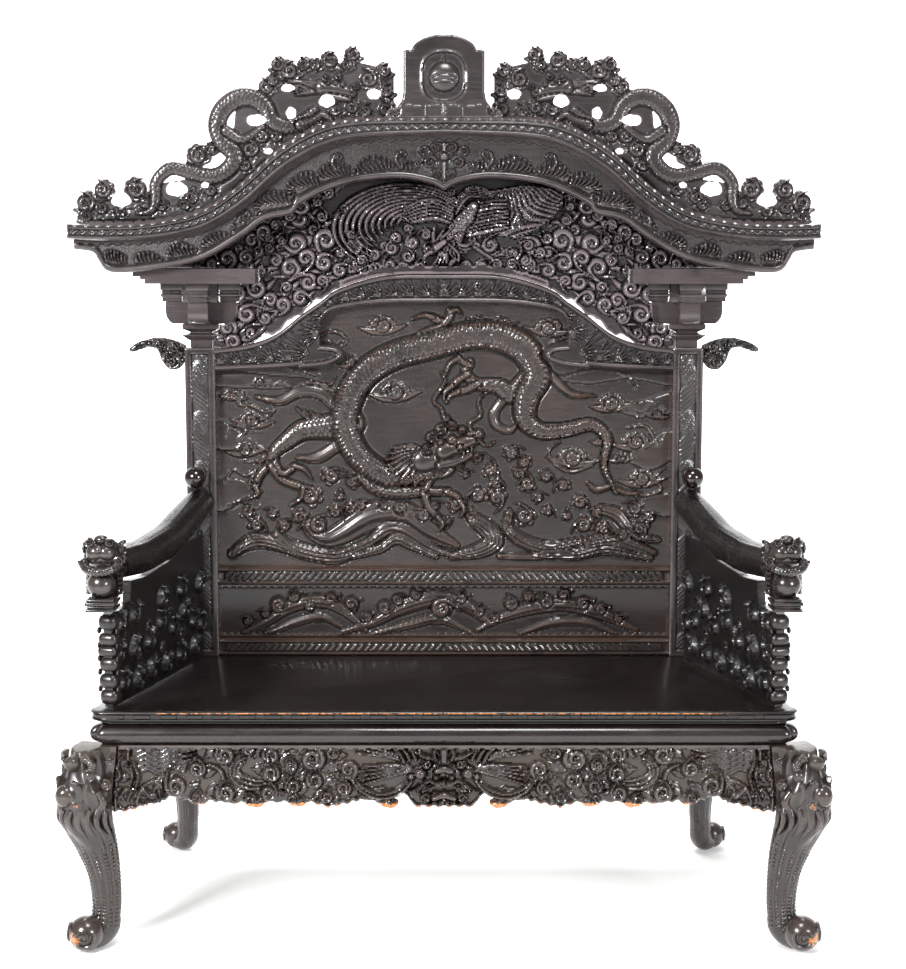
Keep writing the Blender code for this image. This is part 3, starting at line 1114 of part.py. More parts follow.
make_seat()
make_waist()
make_front_apron()
make_back_apron()
make_dragon_panel()
make_waves_panel()
moulded_rail("rail_bottom", SEAT_ON, RAIL_BOTTOM_TALL, 24)
moulded_rail("rail_mid", RAIL_MID_LOW, RAIL_MID_TALL, 24)
make_arch_rail()
make_roof()
make_bargeboard()
make_phoenix_panel()
make_finial()
for side, label in ((1, "right"), (-1, "left")):
    make_leg("leg_front_" + label, side, front=True)
    make_leg("leg_back_" + label, side, front=False)
    make_side_apron("apron_" + label, side)
    make_post("post_" + label, side)
    make_capital(side)
    make_crest("crest_" + label, side)
    make_arm("arm_" + label, side)
    make_arm_panel("arm_panel_" + label, side)
    make_knob("arm_knob_" + label, side)
    make_nosing("nosing_" + label, side)
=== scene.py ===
import math
import bpy
import bmesh
import numpy as np
from mathutils import Matrix, Vector


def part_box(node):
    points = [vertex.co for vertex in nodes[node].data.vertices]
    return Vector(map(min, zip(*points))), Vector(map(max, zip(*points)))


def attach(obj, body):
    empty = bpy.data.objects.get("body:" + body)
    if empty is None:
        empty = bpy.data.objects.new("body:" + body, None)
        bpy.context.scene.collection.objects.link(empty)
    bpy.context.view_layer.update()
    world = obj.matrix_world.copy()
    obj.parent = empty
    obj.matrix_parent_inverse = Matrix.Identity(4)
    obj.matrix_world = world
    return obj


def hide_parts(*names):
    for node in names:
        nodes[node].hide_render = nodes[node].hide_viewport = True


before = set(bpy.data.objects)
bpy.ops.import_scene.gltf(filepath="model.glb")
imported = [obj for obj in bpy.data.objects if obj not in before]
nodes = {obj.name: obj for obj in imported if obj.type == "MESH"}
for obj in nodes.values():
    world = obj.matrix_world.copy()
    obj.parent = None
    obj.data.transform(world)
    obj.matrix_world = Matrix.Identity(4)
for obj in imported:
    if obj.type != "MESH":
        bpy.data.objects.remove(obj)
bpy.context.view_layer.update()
print("frame loaded:", len(nodes), "nodes")


# Camera, floor and light

view = dict(place=(0, -3.688, 1.322), tilt=7.347, lens=69.47, shift=9 / 969)
camera = bpy.data.objects.new("camera", bpy.data.cameras.new("camera"))
camera.location = view["place"]
camera.rotation_euler = (math.radians(90 - view["tilt"]), 0, 0)
camera.data.sensor_fit = "VERTICAL"
camera.data.sensor_height = 36
camera.data.lens = view["lens"]
camera.data.shift_x = view["shift"]
camera.data.clip_start = 0.05
bpy.context.scene.collection.objects.link(camera)
bpy.context.scene.camera = camera

lights = dict(
    keyLeft=dict(place=(-2.3, -3.0, 2.3), aim=(0, 0, 0.95), size=0.9, power=225),
    fillRight=dict(place=(2.6, -3.0, 1.5), aim=(0, 0, 1.0), size=0.8, power=75),
    overhead=dict(place=(0.2, -1.5, 3.5), aim=(0, 0.1, 1.0), size=1.0, power=65),
    wallWash=dict(place=(0, 1.6, 4.2), aim=(0, 4.6, 1.6), size=3.0, power=420),
)
for name, setting in lights.items():
    lamp = bpy.data.objects.new(name, bpy.data.lights.new(name, "AREA"))
    lamp.data.shape = "SQUARE"
    lamp.data.size = setting["size"]
    lamp.data.energy = setting["power"]
    lamp.location = setting["place"]
    toward = Vector(setting["aim"]) - Vector(setting["place"])
    lamp.rotation_euler = toward.to_track_quat("-Z", "Y").to_euler()
    bpy.context.scene.collection.objects.link(lamp)
bpy.context.scene.view_settings.view_transform = "Standard"


# Finishes

def paint(code):  # an sRGB hex colour as linear values
    parts = [int(code[i:i + 2], 16) / 255 for i in (1, 3, 5)]
    return tuple(v / 12.92 if v <= 0.04045 else ((v + 0.055) / 1.055) ** 2.4 for v in parts) + (1,)


def setInputs(node, values):
    for key, value in values.items():
        node.inputs[key].default_value = value


def addNode(tree, kind, feeds=None, **settings):  # one node with its settings and what feeds it
    node = tree.nodes.new(kind)
    for key, value in settings.items():
        setattr(node, key, value)
    for key, value in (feeds or {}).items():
        if isinstance(value, bpy.types.NodeSocket):
            tree.links.new(value, node.inputs[key])
        else:
            node.inputs[key].default_value = value
    return node


def carvedWood(name, look):
    # hardwood under dark lacquer: grain, blotches, worn high edges that also carry a painted sheen, dust in the
    # hollows that some finishes colour near-black as painted shade
    material = bpy.data.materials.new(name)
    material.use_nodes = True
    tree = material.node_tree
    tree.nodes.clear()
    place = addNode(tree, "ShaderNodeTexCoord").outputs["Object"]
    stretch = addNode(tree, "ShaderNodeMapping", {"Vector": place, "Scale": look["grainWay"]})
    grain = addNode(tree, "ShaderNodeTexNoise", {"Vector": stretch.outputs[0], "Scale": look["grain"],
                                                 "Detail": 6.0, "Roughness": 0.6})
    blotch = addNode(tree, "ShaderNodeTexNoise", {"Vector": place, "Scale": 7.0, "Detail": 5.0})
    rubbed = addNode(tree, "ShaderNodeTexNoise", {"Vector": place, "Scale": look.get("wearPatch", 26.0),
                                                  "Detail": 3.0})
    fine = addNode(tree, "ShaderNodeTexNoise", {"Vector": place, "Scale": 420.0, "Detail": 2.0})
    worn = addNode(tree, "ShaderNodeAttribute", attribute_name="worn")
    hollow = addNode(tree, "ShaderNodeAttribute", attribute_name="hollow")
    stipple = addNode(tree, "ShaderNodeAttribute", attribute_name="stipple")
    bare = addNode(tree, "ShaderNodeAttribute", attribute_name="bare")
    ground = addNode(tree, "ShaderNodeAttribute", attribute_name="ground")
    hollow = addNode(tree, "ShaderNodeMath", {0: ground.outputs["Fac"], 1: hollow.outputs["Fac"]},
                     operation="MAXIMUM")
    shade = addNode(tree, "ShaderNodeMath", {0: grain.outputs["Fac"], 1: blotch.outputs["Fac"]}, operation="MULTIPLY")
    spread = addNode(tree, "ShaderNodeMapRange", {"Value": shade.outputs[0], "From Min": 0.14, "From Max": 0.38})
    base = addNode(tree, "ShaderNodeMix", {"Factor": spread.outputs[0], "A": paint(look["dark"]),
                                           "B": paint(look["light"])}, data_type="RGBA")
    # dust in the hollows: real dust where a finish gives it an ochre or brown colour, painted shade where the colour
    # is near-black (canopy, gable, panel, shaded)
    dustAndShadeAmount = addNode(tree, "ShaderNodeMath", {0: hollow.outputs[0], 1: blotch.outputs["Fac"]}, operation="MULTIPLY")
    dustAndShadeShare = addNode(tree, "ShaderNodeMapRange", {"Value": dustAndShadeAmount.outputs[0], "From Min": look["dustAndShadeFrom"],
                                                     "From Max": look["dustAndShadeFrom"] + 0.35, "To Max": look["dustAndShadeMost"]})
    dustedAndShaded = addNode(tree, "ShaderNodeMix", {"Factor": dustAndShadeShare.outputs[0], "A": base.outputs["Result"],
                                             "B": paint(look["dustAndShade"])}, data_type="RGBA")
    # tint on the raised edges: wear, and partly a painted highlight that stands in for sheen, strongest on the gable
    # finish
    wearAndSheenMask = addNode(tree, "ShaderNodeMath", {0: worn.outputs["Fac"], 1: rubbed.outputs["Fac"]}, operation="MULTIPLY")
    wearAndSheenShare = addNode(tree, "ShaderNodeMapRange", {"Value": wearAndSheenMask.outputs[0], "From Min": look["wearAndSheenFrom"],
                                                    "From Max": look["wearAndSheenFrom"] + 0.22, "To Max": look["wearAndSheenMost"]})
    tone = addNode(tree, "ShaderNodeMix", {"Factor": wearAndSheenShare.outputs[0], "A": dustedAndShaded.outputs["Result"],
                                           "B": paint(look["wearAndSheen"])}, data_type="RGBA")
    chipped = addNode(tree, "ShaderNodeTexNoise", {"Vector": place, "Scale": 150.0, "Detail": 4.0, "Roughness": 0.7})
    chip = addNode(tree, "ShaderNodeMath", {0: bare.outputs["Fac"], 1: chipped.outputs["Fac"]}, operation="MULTIPLY")
    chipShare = addNode(tree, "ShaderNodeMapRange", {"Value": chip.outputs[0], "From Min": 0.34, "From Max": 0.40})
    tone = addNode(tree, "ShaderNodeMix", {"Factor": chipShare.outputs[0], "A": tone.outputs["Result"],
                                           "B": paint("#c07a45")}, data_type="RGBA")
    rough = addNode(tree, "ShaderNodeMapRange", {"Value": shade.outputs[0], "From Min": 0.1, "From Max": 0.42,
                                                 "To Min": look["gloss"], "To Max": look["gloss"] + 0.14})
    dull = addNode(tree, "ShaderNodeMath", {0: dustAndShadeShare.outputs[0], 1: 0.4, 2: rough.outputs[0]},
                   operation="MULTIPLY_ADD")
    dull = addNode(tree, "ShaderNodeMath", {0: wearAndSheenShare.outputs[0], 1: -0.12, 2: dull.outputs[0]},
                   operation="MULTIPLY_ADD")  # burnished where hands and cloths reach
    punch = addNode(tree, "ShaderNodeTexVoronoi", {"Vector": place, "Scale": 330.0})  # 3 mm punch marks
    punched = addNode(tree, "ShaderNodeMath", {0: punch.outputs["Distance"], 1: stipple.outputs["Fac"]},
                      operation="MULTIPLY")
    skin = addNode(tree, "ShaderNodeMath", {0: fine.outputs["Fac"], 1: 0.10}, operation="MULTIPLY")
    relief = addNode(tree, "ShaderNodeMath", {0: grain.outputs["Fac"], 1: 0.22, 2: skin.outputs[0]},
                     operation="MULTIPLY_ADD")
    relief = addNode(tree, "ShaderNodeMath", {0: punched.outputs[0], 1: 1.3, 2: relief.outputs[0]},
                     operation="MULTIPLY_ADD")
    bump = addNode(tree, "ShaderNodeBump", {"Height": relief.outputs[0], "Strength": 0.5, "Distance": 0.0008})
    shader = addNode(tree, "ShaderNodeBsdfPrincipled", {
        "Base Color": tone.outputs["Result"], "Roughness": dull.outputs[0], "Normal": bump.outputs[0],
        "IOR": 1.5, "Coat Weight": look["coat"], "Coat Roughness": look["coatRough"]})
    addNode(tree, "ShaderNodeOutputMaterial", {"Surface": shader.outputs[0]})
    return material


finishes = dict(
    # keyaki under aged black lacquer, carved: soft grey sheen on the upper forms, painted as a lighter grey tint on
    # the raised edges, and near-black painted shade in the hollows
    canopy=dict(dark="#171313", light="#2b2424", grainWay=(1, 1, 9), grain=24, dustAndShade="#070505", dustAndShadeFrom=0.06,
                dustAndShadeMost=0.92, wearAndSheen="#4b4142", wearAndSheenFrom=0.24, wearAndSheenMost=0.60, gloss=0.27, coat=0.5, coatRough=0.13),
    # the same lacquer, glossier, with a lighter base and a pale tint on the raised edges as painted highlight against
    # the shade under the roof, and near-black painted shade in the hollows
    gable=dict(dark="#191415", light="#2f2728", grainWay=(1, 1, 9), grain=24, dustAndShade="#0a0707", dustAndShadeFrom=0.10,
               dustAndShadeMost=0.85, wearAndSheen="#6f6467", wearAndSheenFrom=0.18, wearAndSheenMost=0.75, gloss=0.22, coat=0.75, coatRough=0.10),
    # the same wood, redder where the lacquer has thinned, with near-black painted shade in the hollows
    panel=dict(dark="#181211", light="#2d221e", grainWay=(1, 1, 9), grain=24, dustAndShade="#070404", dustAndShadeFrom=0.06,
               dustAndShadeMost=0.92, wearAndSheen="#4a3931", wearAndSheenFrom=0.24, wearAndSheenMost=0.60, gloss=0.27, coat=0.5, coatRough=0.13),
    # rubbed dark lacquer with ochre dust left in the cuts and bare wood on the lowest edges
    apron=dict(dark="#141010", light="#262020", grainWay=(1, 1, 7), grain=26, dustAndShade="#3a2c17", dustAndShadeFrom=0.16,
               dustAndShadeMost=0.60, wearAndSheen="#4e433c", wearAndSheenFrom=0.26, wearAndSheenMost=0.55, gloss=0.25, coat=0.5, coatRough=0.12),
    # smooth waxed lacquer on the fat moulding
    waist=dict(dark="#110c0c", light="#1f1817", grainWay=(1, 9, 9), grain=20, dustAndShade="#4a3c26", dustAndShadeFrom=0.20,
               dustAndShadeMost=0.55, wearAndSheen="#473e3c", wearAndSheenFrom=0.40, wearAndSheenMost=0.4, gloss=0.22, coat=0.5, coatRough=0.08),
    # brown-black lacquer on the legs, dusty between the scales
    leg=dict(dark="#191413", light="#2b2321", grainWay=(7, 7, 1), grain=26, dustAndShade="#2d2314", dustAndShadeFrom=0.10,
             dustAndShadeMost=0.8, wearAndSheen="#453a34", wearAndSheenFrom=0.28, wearAndSheenMost=0.50, gloss=0.27, coat=0.5, coatRough=0.12),
    # red-black polished ball
    knob=dict(dark="#0e0706", light="#1f100c", grainWay=(1, 1, 5), grain=60, dustAndShade="#2a1c14", dustAndShadeFrom=0.3,
              dustAndShadeMost=0.3, wearAndSheen="#5a2c1c", wearAndSheenFrom=0.4, wearAndSheenMost=0.5, gloss=0.12, coat=0.6, coatRough=0.05),
    # flat stained boards out of sight, dull and dusty
    plain=dict(dark="#1f1917", light="#31282a", grainWay=(1, 9, 9), grain=20, dustAndShade="#4a3d30", dustAndShadeFrom=0.3,
               dustAndShadeMost=0.4, wearAndSheen="#4a3f3c", wearAndSheenFrom=0.4, wearAndSheenMost=0.4, gloss=0.48, coat=0.05, coatRough=0.3),
    # near-black polished lacquer on arms
    black=dict(dark="#090707", light="#141010", grainWay=(7, 7, 1), grain=26, dustAndShade="#1c150d", dustAndShadeFrom=0.12,
               dustAndShadeMost=0.7, wearAndSheen="#4a423e", wearAndSheenFrom=0.34, wearAndSheenMost=0.5, gloss=0.22, coat=0.45, coatRough=0.12),
    # the same polish, duller, with every colour darker as painted shade for the arm panels that sit in shade under
    # the arms
    shaded=dict(dark="#070505", light="#0e0b0b", grainWay=(7, 7, 1), grain=26, dustAndShade="#0b0807", dustAndShadeFrom=0.10,
                dustAndShadeMost=0.8, wearAndSheen="#2e2826", wearAndSheenFrom=0.34, wearAndSheenMost=0.5, gloss=0.30, coat=0.22, coatRough=0.20),
    # burnished lacquer plank, rubbed by sitters
    seat=dict(dark="#080504", light="#120c0a", grainWay=(1, 9, 9), grain=18, dustAndShade="#1c130d", dustAndShadeFrom=0.3,
              dustAndShadeMost=0.4, wearAndSheen="#4a3f3c", wearAndSheenFrom=0.60, wearAndSheenMost=0.2, gloss=0.26, coat=0.25, coatRough=0.16),
)
finishNames = dict(canopy="aged black lacquer on carved hardwood", gable="glossy black lacquer on pierced hardwood",
                   panel="red-brown lacquer with painted shade on carved hardwood",
                   apron="rubbed lacquer with ochre dust on carved hardwood",
                   black="polished black lacquer on carved hardwood",
                   shaded="black lacquer darkened as painted shade on carved hardwood", seat="burnished lacquered plank",
                   waist="waxed lacquer on moulded hardwood", leg="brown-black lacquer on carved legs",
                   knob="polished red-black lacquer ball", plain="dull stained hardwood board")
woods = {key: carvedWood(finishNames[key], look) for key, look in finishes.items()}
print("finishes made:", len(woods))


sides = ((1, "right"), (-1, "left"))


# Curves and outlines

def smoothPath(points, steps=6):  # a soft curve through the points
    points = np.asarray(points, float)
    ends = np.vstack([2 * points[0] - points[1], points, 2 * points[-1] - points[-2]])
    share = np.linspace(0, 1, steps, endpoint=False)[:, None]
    run = []
    for a, b, c, d in zip(ends, ends[1:], ends[2:], ends[3:]):
        curve = 2 * b + (c - a) * share + (2 * a - 5 * b + 4 * c - d) * share ** 2
        run.append((curve + (3 * b - a - 3 * c + d) * share ** 3) / 2)
    return np.vstack(run + [points[-1:]])


def heightAt(points, x):  # height of a mirrored outline at x
    curve = smoothPath(points)
    return np.interp(np.abs(x), curve[:, 0], curve[:, 1])


def insideOutline(x, z, corners):  # distance to a closed outline, positive inside
    corners = np.asarray(corners, float)
    nearest = np.full(x.shape, 1e9)
    crossings = np.zeros(x.shape, int)
    for (ax, az), (bx, bz) in zip(corners, np.roll(corners, -1, axis=0)):
        ex, ez = bx - ax, bz - az
        share = np.clip(((x - ax) * ex + (z - az) * ez) / max(ex * ex + ez * ez, 1e-12), 0, 1)
        nearest = np.minimum(nearest, np.hypot(x - ax - share * ex, z - az - share * ez))
        if az != bz:
            crossings += ((az > z) != (bz > z)) & (x < ax + (z - az) / (bz - az) * ex)
    return np.where(crossings % 2 == 1, nearest, -nearest)


def ridge(value, middle, half):  # the height, 0 to 1, of a round moulding across its width
    return np.sqrt(np.clip(1 - ((value - middle) / half) ** 2, 0, 1))


def runLength(points):  # how far along its line each point lies
    return np.concatenate([[0], np.cumsum(np.hypot(*np.diff(points, axis=0).T))])


class DrawingSheet:  # maps the columns and rows of a drawing to places on a board
    middle = 444  # the column of the board's middle

    def __init__(self, edge, half, lowRow, low, highRow, high):
        self.step = half / edge
        self.lowRow, self.low = lowRow, low
        self.rise = (high - low) / (lowRow - highRow)

    def at(self, points):
        return [((c - self.middle) * self.step, self.low + (self.lowRow - r) * self.rise) for c, r in points]


class Carving:  # heights of a carved face on small squares, x along it and z up
    def __init__(self, left, right, low, high, cell, sheet=None):
        self.xs = np.linspace(left, right, max(4, round((right - left) / cell)) + 1)
        self.zs = np.linspace(low, high, max(4, round((high - low) / cell)) + 1)
        self.x, self.z = np.meshgrid(self.xs, self.zs)
        self.cell = cell
        self.sheet = sheet
        self.h = np.zeros(self.x.shape)
        self.cover = np.full(self.x.shape, -1.0)
        self.twin = False  # mirrored strokes on both sides of the middle

    def window(self, low, high):
        columns = np.searchsorted(self.xs, (low[0], high[0]))
        rows = np.searchsorted(self.zs, (low[1], high[1]))
        return slice(*rows), slice(*columns)

    def stroke(self, points, width, height, pattern=None, over=None, soft=0.5, groove=0.0, bend=True, metres=False):
        # a ridge along a path: width is half its breadth, over lays it in front at that height
        if self.sheet and not metres:
            points = self.sheet.at(points)
            width = np.asarray(width, float) * self.sheet.step
        if self.twin:
            self.twin = False
            self.stroke([(-x, z) for x, z in points], width, height, pattern, over, soft, groove, bend, True)
            self.stroke(points, width, height, pattern, over, soft, groove, bend, True)
            self.twin = True
            return
        path = smoothPath(points) if bend and len(points) > 2 else np.asarray(points, float)
        width = np.atleast_1d(np.asarray(width, float))
        widths = np.interp(np.linspace(0, 1, len(path)), np.linspace(0, 1, max(2, len(width))),
                           width if len(width) > 1 else width.repeat(2))
        reach = widths.max() * (1.35 if groove else 1.05)
        whole = self.window(path.min(0) - reach, path.max(0) + reach)
        shape = self.x[whole].shape
        if min(shape) < 1:
            return
        away = np.full(shape, 9.0)
        side, along, wide = np.zeros(shape), np.zeros(shape), np.full(shape, widths[0])
        done = 0.0
        for (ax, az), (bx, bz), wa, wb in zip(path, path[1:], widths, widths[1:]):
            ex, ez = bx - ax, bz - az
            length = math.hypot(ex, ez)
            if length < 1e-7:
                continue
            rows, columns = self.window((min(ax, bx) - reach, min(az, bz) - reach),
                                        (max(ax, bx) + reach, max(az, bz) + reach))
            here = (slice(rows.start - whole[0].start, rows.stop - whole[0].start),
                    slice(columns.start - whole[1].start, columns.stop - whole[1].start))
            x, z = self.x[rows, columns], self.z[rows, columns]
            share = np.clip(((x - ax) * ex + (z - az) * ez) / length ** 2, 0, 1)
            dx, dz = x - ax - share * ex, z - az - share * ez
            breadth = wa + (wb - wa) * share
            far = np.hypot(dx, dz) / breadth
            nearer = far < away[here]
            away[here][nearer] = far[nearer]
            side[here][nearer] = (far * np.sign(ex * dz - ez * dx))[nearer]
            along[here][nearer] = (done + share * length)[nearer]
            wide[here][nearer] = breadth[nearer]
            done += length
        inside = away < 1
        dome = np.clip(1 - away ** 2, 0, 1)
        body = height * dome ** soft
        if pattern:
            body = body + pattern(side, along) * np.clip(dome * 4, 0, 1)
        face, cover = self.h[whole], self.cover[whole]
        if groove:
            face -= groove * np.exp(-((away - 1.08) / 0.09) ** 2) * (away > 1)
        if over is not None:
            face[inside] = np.maximum(body + over, face * 0.25)[inside]
        else:
            face[inside] = np.maximum(face, body)[inside]
        cover[:] = np.maximum(cover, (1 - away) * wide)

    def dome(self, place, radius, height, soft=0.5, **more):
        x, z = place
        self.stroke([(x, z), (x + 0.01 * radius, z)], radius, height, soft=soft, **more)

    def scroll(self, place, radius, height, turn=1, start=0.0, turns=1.35, over=0.0, metres=False):
        # a coiled band with a bead in its eye, on a low cushion
        x, z = place
        flip = 1 if metres or not self.sheet else -1
        self.dome(place, radius, height * 0.45, soft=0.3, over=over, groove=height * 0.3, metres=metres)
        angles = start + turn * np.linspace(0, turns * 2 * math.pi, 22)
        radii = radius * np.linspace(0.80, 0.20, 22)
        path = [(x + r * math.cos(a), z + flip * r * math.sin(a)) for a, r in zip(angles, radii)]
        self.stroke(path, np.linspace(0.24, 0.13, 5) * radius, height, over=over, bend=False, metres=metres)
        self.dome(place, radius * 0.20, height * 1.05, over=over, metres=metres)

    def hook(self, place, radius, height, turn=1, start=0.0, turns=1.35, tail=1.5, thick=0.30, over=0.0,
             metres=False):
        # a cloud scroll: a fat band that comes in along a tail and coils round its own bead
        x, z = place
        flip = 1 if metres or not self.sheet else -1
        self.dome(place, radius * 0.95, height * 0.40, soft=0.25, over=over, groove=height * 0.25, metres=metres)
        angles = start + turn * np.linspace(0, turns * 2 * math.pi, 24)
        radii = radius * np.linspace(0.80, 0.14, 24)
        path = [(x + r * math.cos(a), z + flip * r * math.sin(a)) for a, r in zip(angles, radii)]
        way = start - turn * math.pi / 2
        run = []
        for part in (1.0, 0.66, 0.33):
            bent = way - turn * 0.55 * part
            run.append((path[0][0] + radius * tail * part * math.cos(bent),
                        path[0][1] + flip * radius * tail * part * math.sin(bent)))
        widths = np.interp(np.linspace(0, 1, 12), (0, 0.15, 0.4, 1), (0.25, 1, 1.05, 0.55)) * radius * thick
        self.stroke(run + path, widths, height, over=over, groove=height * 0.25, bend=False, metres=metres)
        self.dome(place, radius * 0.2, height * 1.05, over=over, metres=metres)

    def plume(self, base, tips, width, height):
        # thin fronds that rise from one root, each with a bead at its tip
        for x, z in smoothPath(tips, 2):
            dx, dz = base[0] - x, base[1] - z
            path = ((x, z), (x + 0.10 * dx, z + 0.45 * dz), (x + 0.48 * dx, z + 0.88 * dz), base)
            self.stroke(path, np.array((0.9, 1.05, 1.1, 0.8)) * width, height * 0.85)
            self.dome((x + 0.6, z), width * 1.5, height)

    def sample(self, x, z):  # heights at loose places
        column = np.clip((x - self.xs[0]) / (self.xs[1] - self.xs[0]), 0, len(self.xs) - 1.001)
        row = np.clip((z - self.zs[0]) / (self.zs[1] - self.zs[0]), 0, len(self.zs) - 1.001)
        i, j = row.astype(int), column.astype(int)
        up, over = row - i, column - j
        low = self.h[i, j] * (1 - over) + self.h[i, j + 1] * over
        high = self.h[i + 1, j] * (1 - over) + self.h[i + 1, j + 1] * over
        return low * (1 - up) + high * up


# Patterns laid along a stroke: side runs from -1 to 1 across it, along is in metres

def scaleSkin(pitch, rows, depth, belly=0.0, beads=0.0):
    def pattern(side, along):
        row = (side + 1) * rows / 2
        number = np.floor(row)
        step = along / pitch + 0.5 * (number % 2)
        saw = step - np.floor(step)
        across = 2 * (row - number) - 1
        skin = depth * (1 - saw) ** 0.7 * np.sqrt(np.clip(1 - (across * 0.92) ** 2, 0, 1))
        if belly:
            ribs = np.abs(np.sin(math.pi * along / (pitch * 0.8)))
            skin = np.where(side * belly > 0.42, depth * 1.1 * ribs, skin)
        if beads:
            rounded = np.abs(np.sin(math.pi * along / (pitch * 0.9))) ** 0.6
            skin = np.where(side * beads > 0.70, depth * 1.3 * rounded, skin)
        return skin - depth * 0.3
    return pattern


def strandSkin(count, depth, sway=0.0):
    def pattern(side, along):
        return depth * (np.abs(np.cos((side + sway * np.sin(along * 60)) * count * math.pi / 2)) - 0.6)
    return pattern


def ribSkin(pitch, depth, slant=0.0):
    def pattern(side, along):
        return depth * (np.abs(np.sin(math.pi * (along / pitch + side * slant))) - 0.5)
    return pattern


# From heights to wood

def markEdges(mesh, sharp=0.0005, broad=0.0016):
    # how far each place stands out of or sinks below its surroundings, for wear with painted sheen on the raised
    # parts and for dust and painted shade in the hollows
    count = len(mesh.vertices)
    places = np.empty(count * 3)
    mesh.vertices.foreach_get("co", places)
    places = places.reshape(-1, 3)
    facing = np.empty(count * 3)
    mesh.vertex_normals.foreach_get("vector", facing)
    facing = facing.reshape(-1, 3)
    ends = np.empty(len(mesh.edges) * 2, int)
    mesh.edges.foreach_get("vertices", ends)
    a, b = ends.reshape(-1, 2).T
    degree = np.bincount(a, minlength=count) + np.bincount(b, minlength=count)
    blurred = places.copy()
    proud = {}
    for step in range(1, 13):
        total = np.empty_like(blurred)
        for axis in range(3):
            total[:, axis] = np.bincount(a, blurred[b, axis], count) + np.bincount(b, blurred[a, axis], count)
        blurred = (blurred + total / np.maximum(degree, 1)[:, None]) / 2
        if step in (3, 12):
            proud[step] = ((places - blurred) * facing).sum(1)
    worn = np.clip(proud[3] / sharp, 0, 1) * 0.6 + np.clip(proud[12] / broad, 0, 1) * 0.4
    hollow = np.clip(-proud[3] / sharp, 0, 1) * 0.4 + np.clip(-proud[12] / broad, 0, 1) * 0.6
    for name, values in (("worn", worn), ("hollow", hollow)):
        mesh.attributes.new(name, "FLOAT", "POINT").data.foreach_set("value", values.astype(np.float32))


def finishPiece(name, bm, wood, replaced, turn=None, side=1, smooth=40, **marks):
    # a finished bmesh becomes a named piece in the place of its CAD nodes
    if turn is not None:
        bmesh.ops.transform(bm, matrix=turn, verts=bm.verts)
    if side < 0:
        bmesh.ops.scale(bm, vec=(-1, 1, 1), verts=bm.verts)
    bmesh.ops.recalc_face_normals(bm, faces=bm.faces)
    mesh = bpy.data.meshes.new(name)
    bm.to_mesh(mesh)
    bm.free()
    mesh.shade_smooth()
    mesh.set_sharp_from_angle(angle=math.radians(smooth))
    mesh.materials.append(woods[wood])
    markEdges(mesh)
    places = np.empty(len(mesh.vertices) * 3)
    mesh.vertices.foreach_get("co", places)
    for mark, rule in marks.items():  # stipple, bare or ground, each a share from 0 to 1 at a place
        values = rule(places.reshape(-1, 3)).astype(np.float32)
        mesh.attributes.new(mark, "FLOAT", "POINT").data.foreach_set("value", values)
    piece = bpy.data.objects.new(name, mesh)
    bpy.context.scene.collection.objects.link(piece)
    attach(piece, "root")
    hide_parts(*replaced)
    return piece


def keptSquares(distance):  # squares inside an outline, one patch, no corner-only touches
    middle = (distance[1:, 1:] + distance[:-1, 1:] + distance[1:, :-1] + distance[:-1, :-1]) / 4
    mask = middle > 0
    for _ in range(4):
        rising = mask[:-1, :-1] & mask[1:, 1:] & ~mask[1:, :-1] & ~mask[:-1, 1:]
        mask[1:, :-1] |= rising
        falling = mask[1:, :-1] & mask[:-1, 1:] & ~mask[:-1, :-1] & ~mask[1:, 1:]
        mask[:-1, :-1] |= falling
    return mask


def keepLargest(bm):  # drops small loose bits beside the main patch
    bm.verts.index_update()
    group = np.arange(len(bm.verts))
    ends = np.array([(edge.verts[0].index, edge.verts[1].index) for edge in bm.edges])
    while True:
        low = np.minimum(group[ends[:, 0]], group[ends[:, 1]])
        before = group.copy()
        np.minimum.at(group, ends[:, 0], low)
        np.minimum.at(group, ends[:, 1], low)
        group = group[group]
        if (before == group).all():
            break
    main = np.bincount(group).argmax()
    loose = [vert for vert, number in zip(bm.verts, group) if number != main]
    if loose:
        bmesh.ops.delete(bm, geom=loose, context="VERTS")


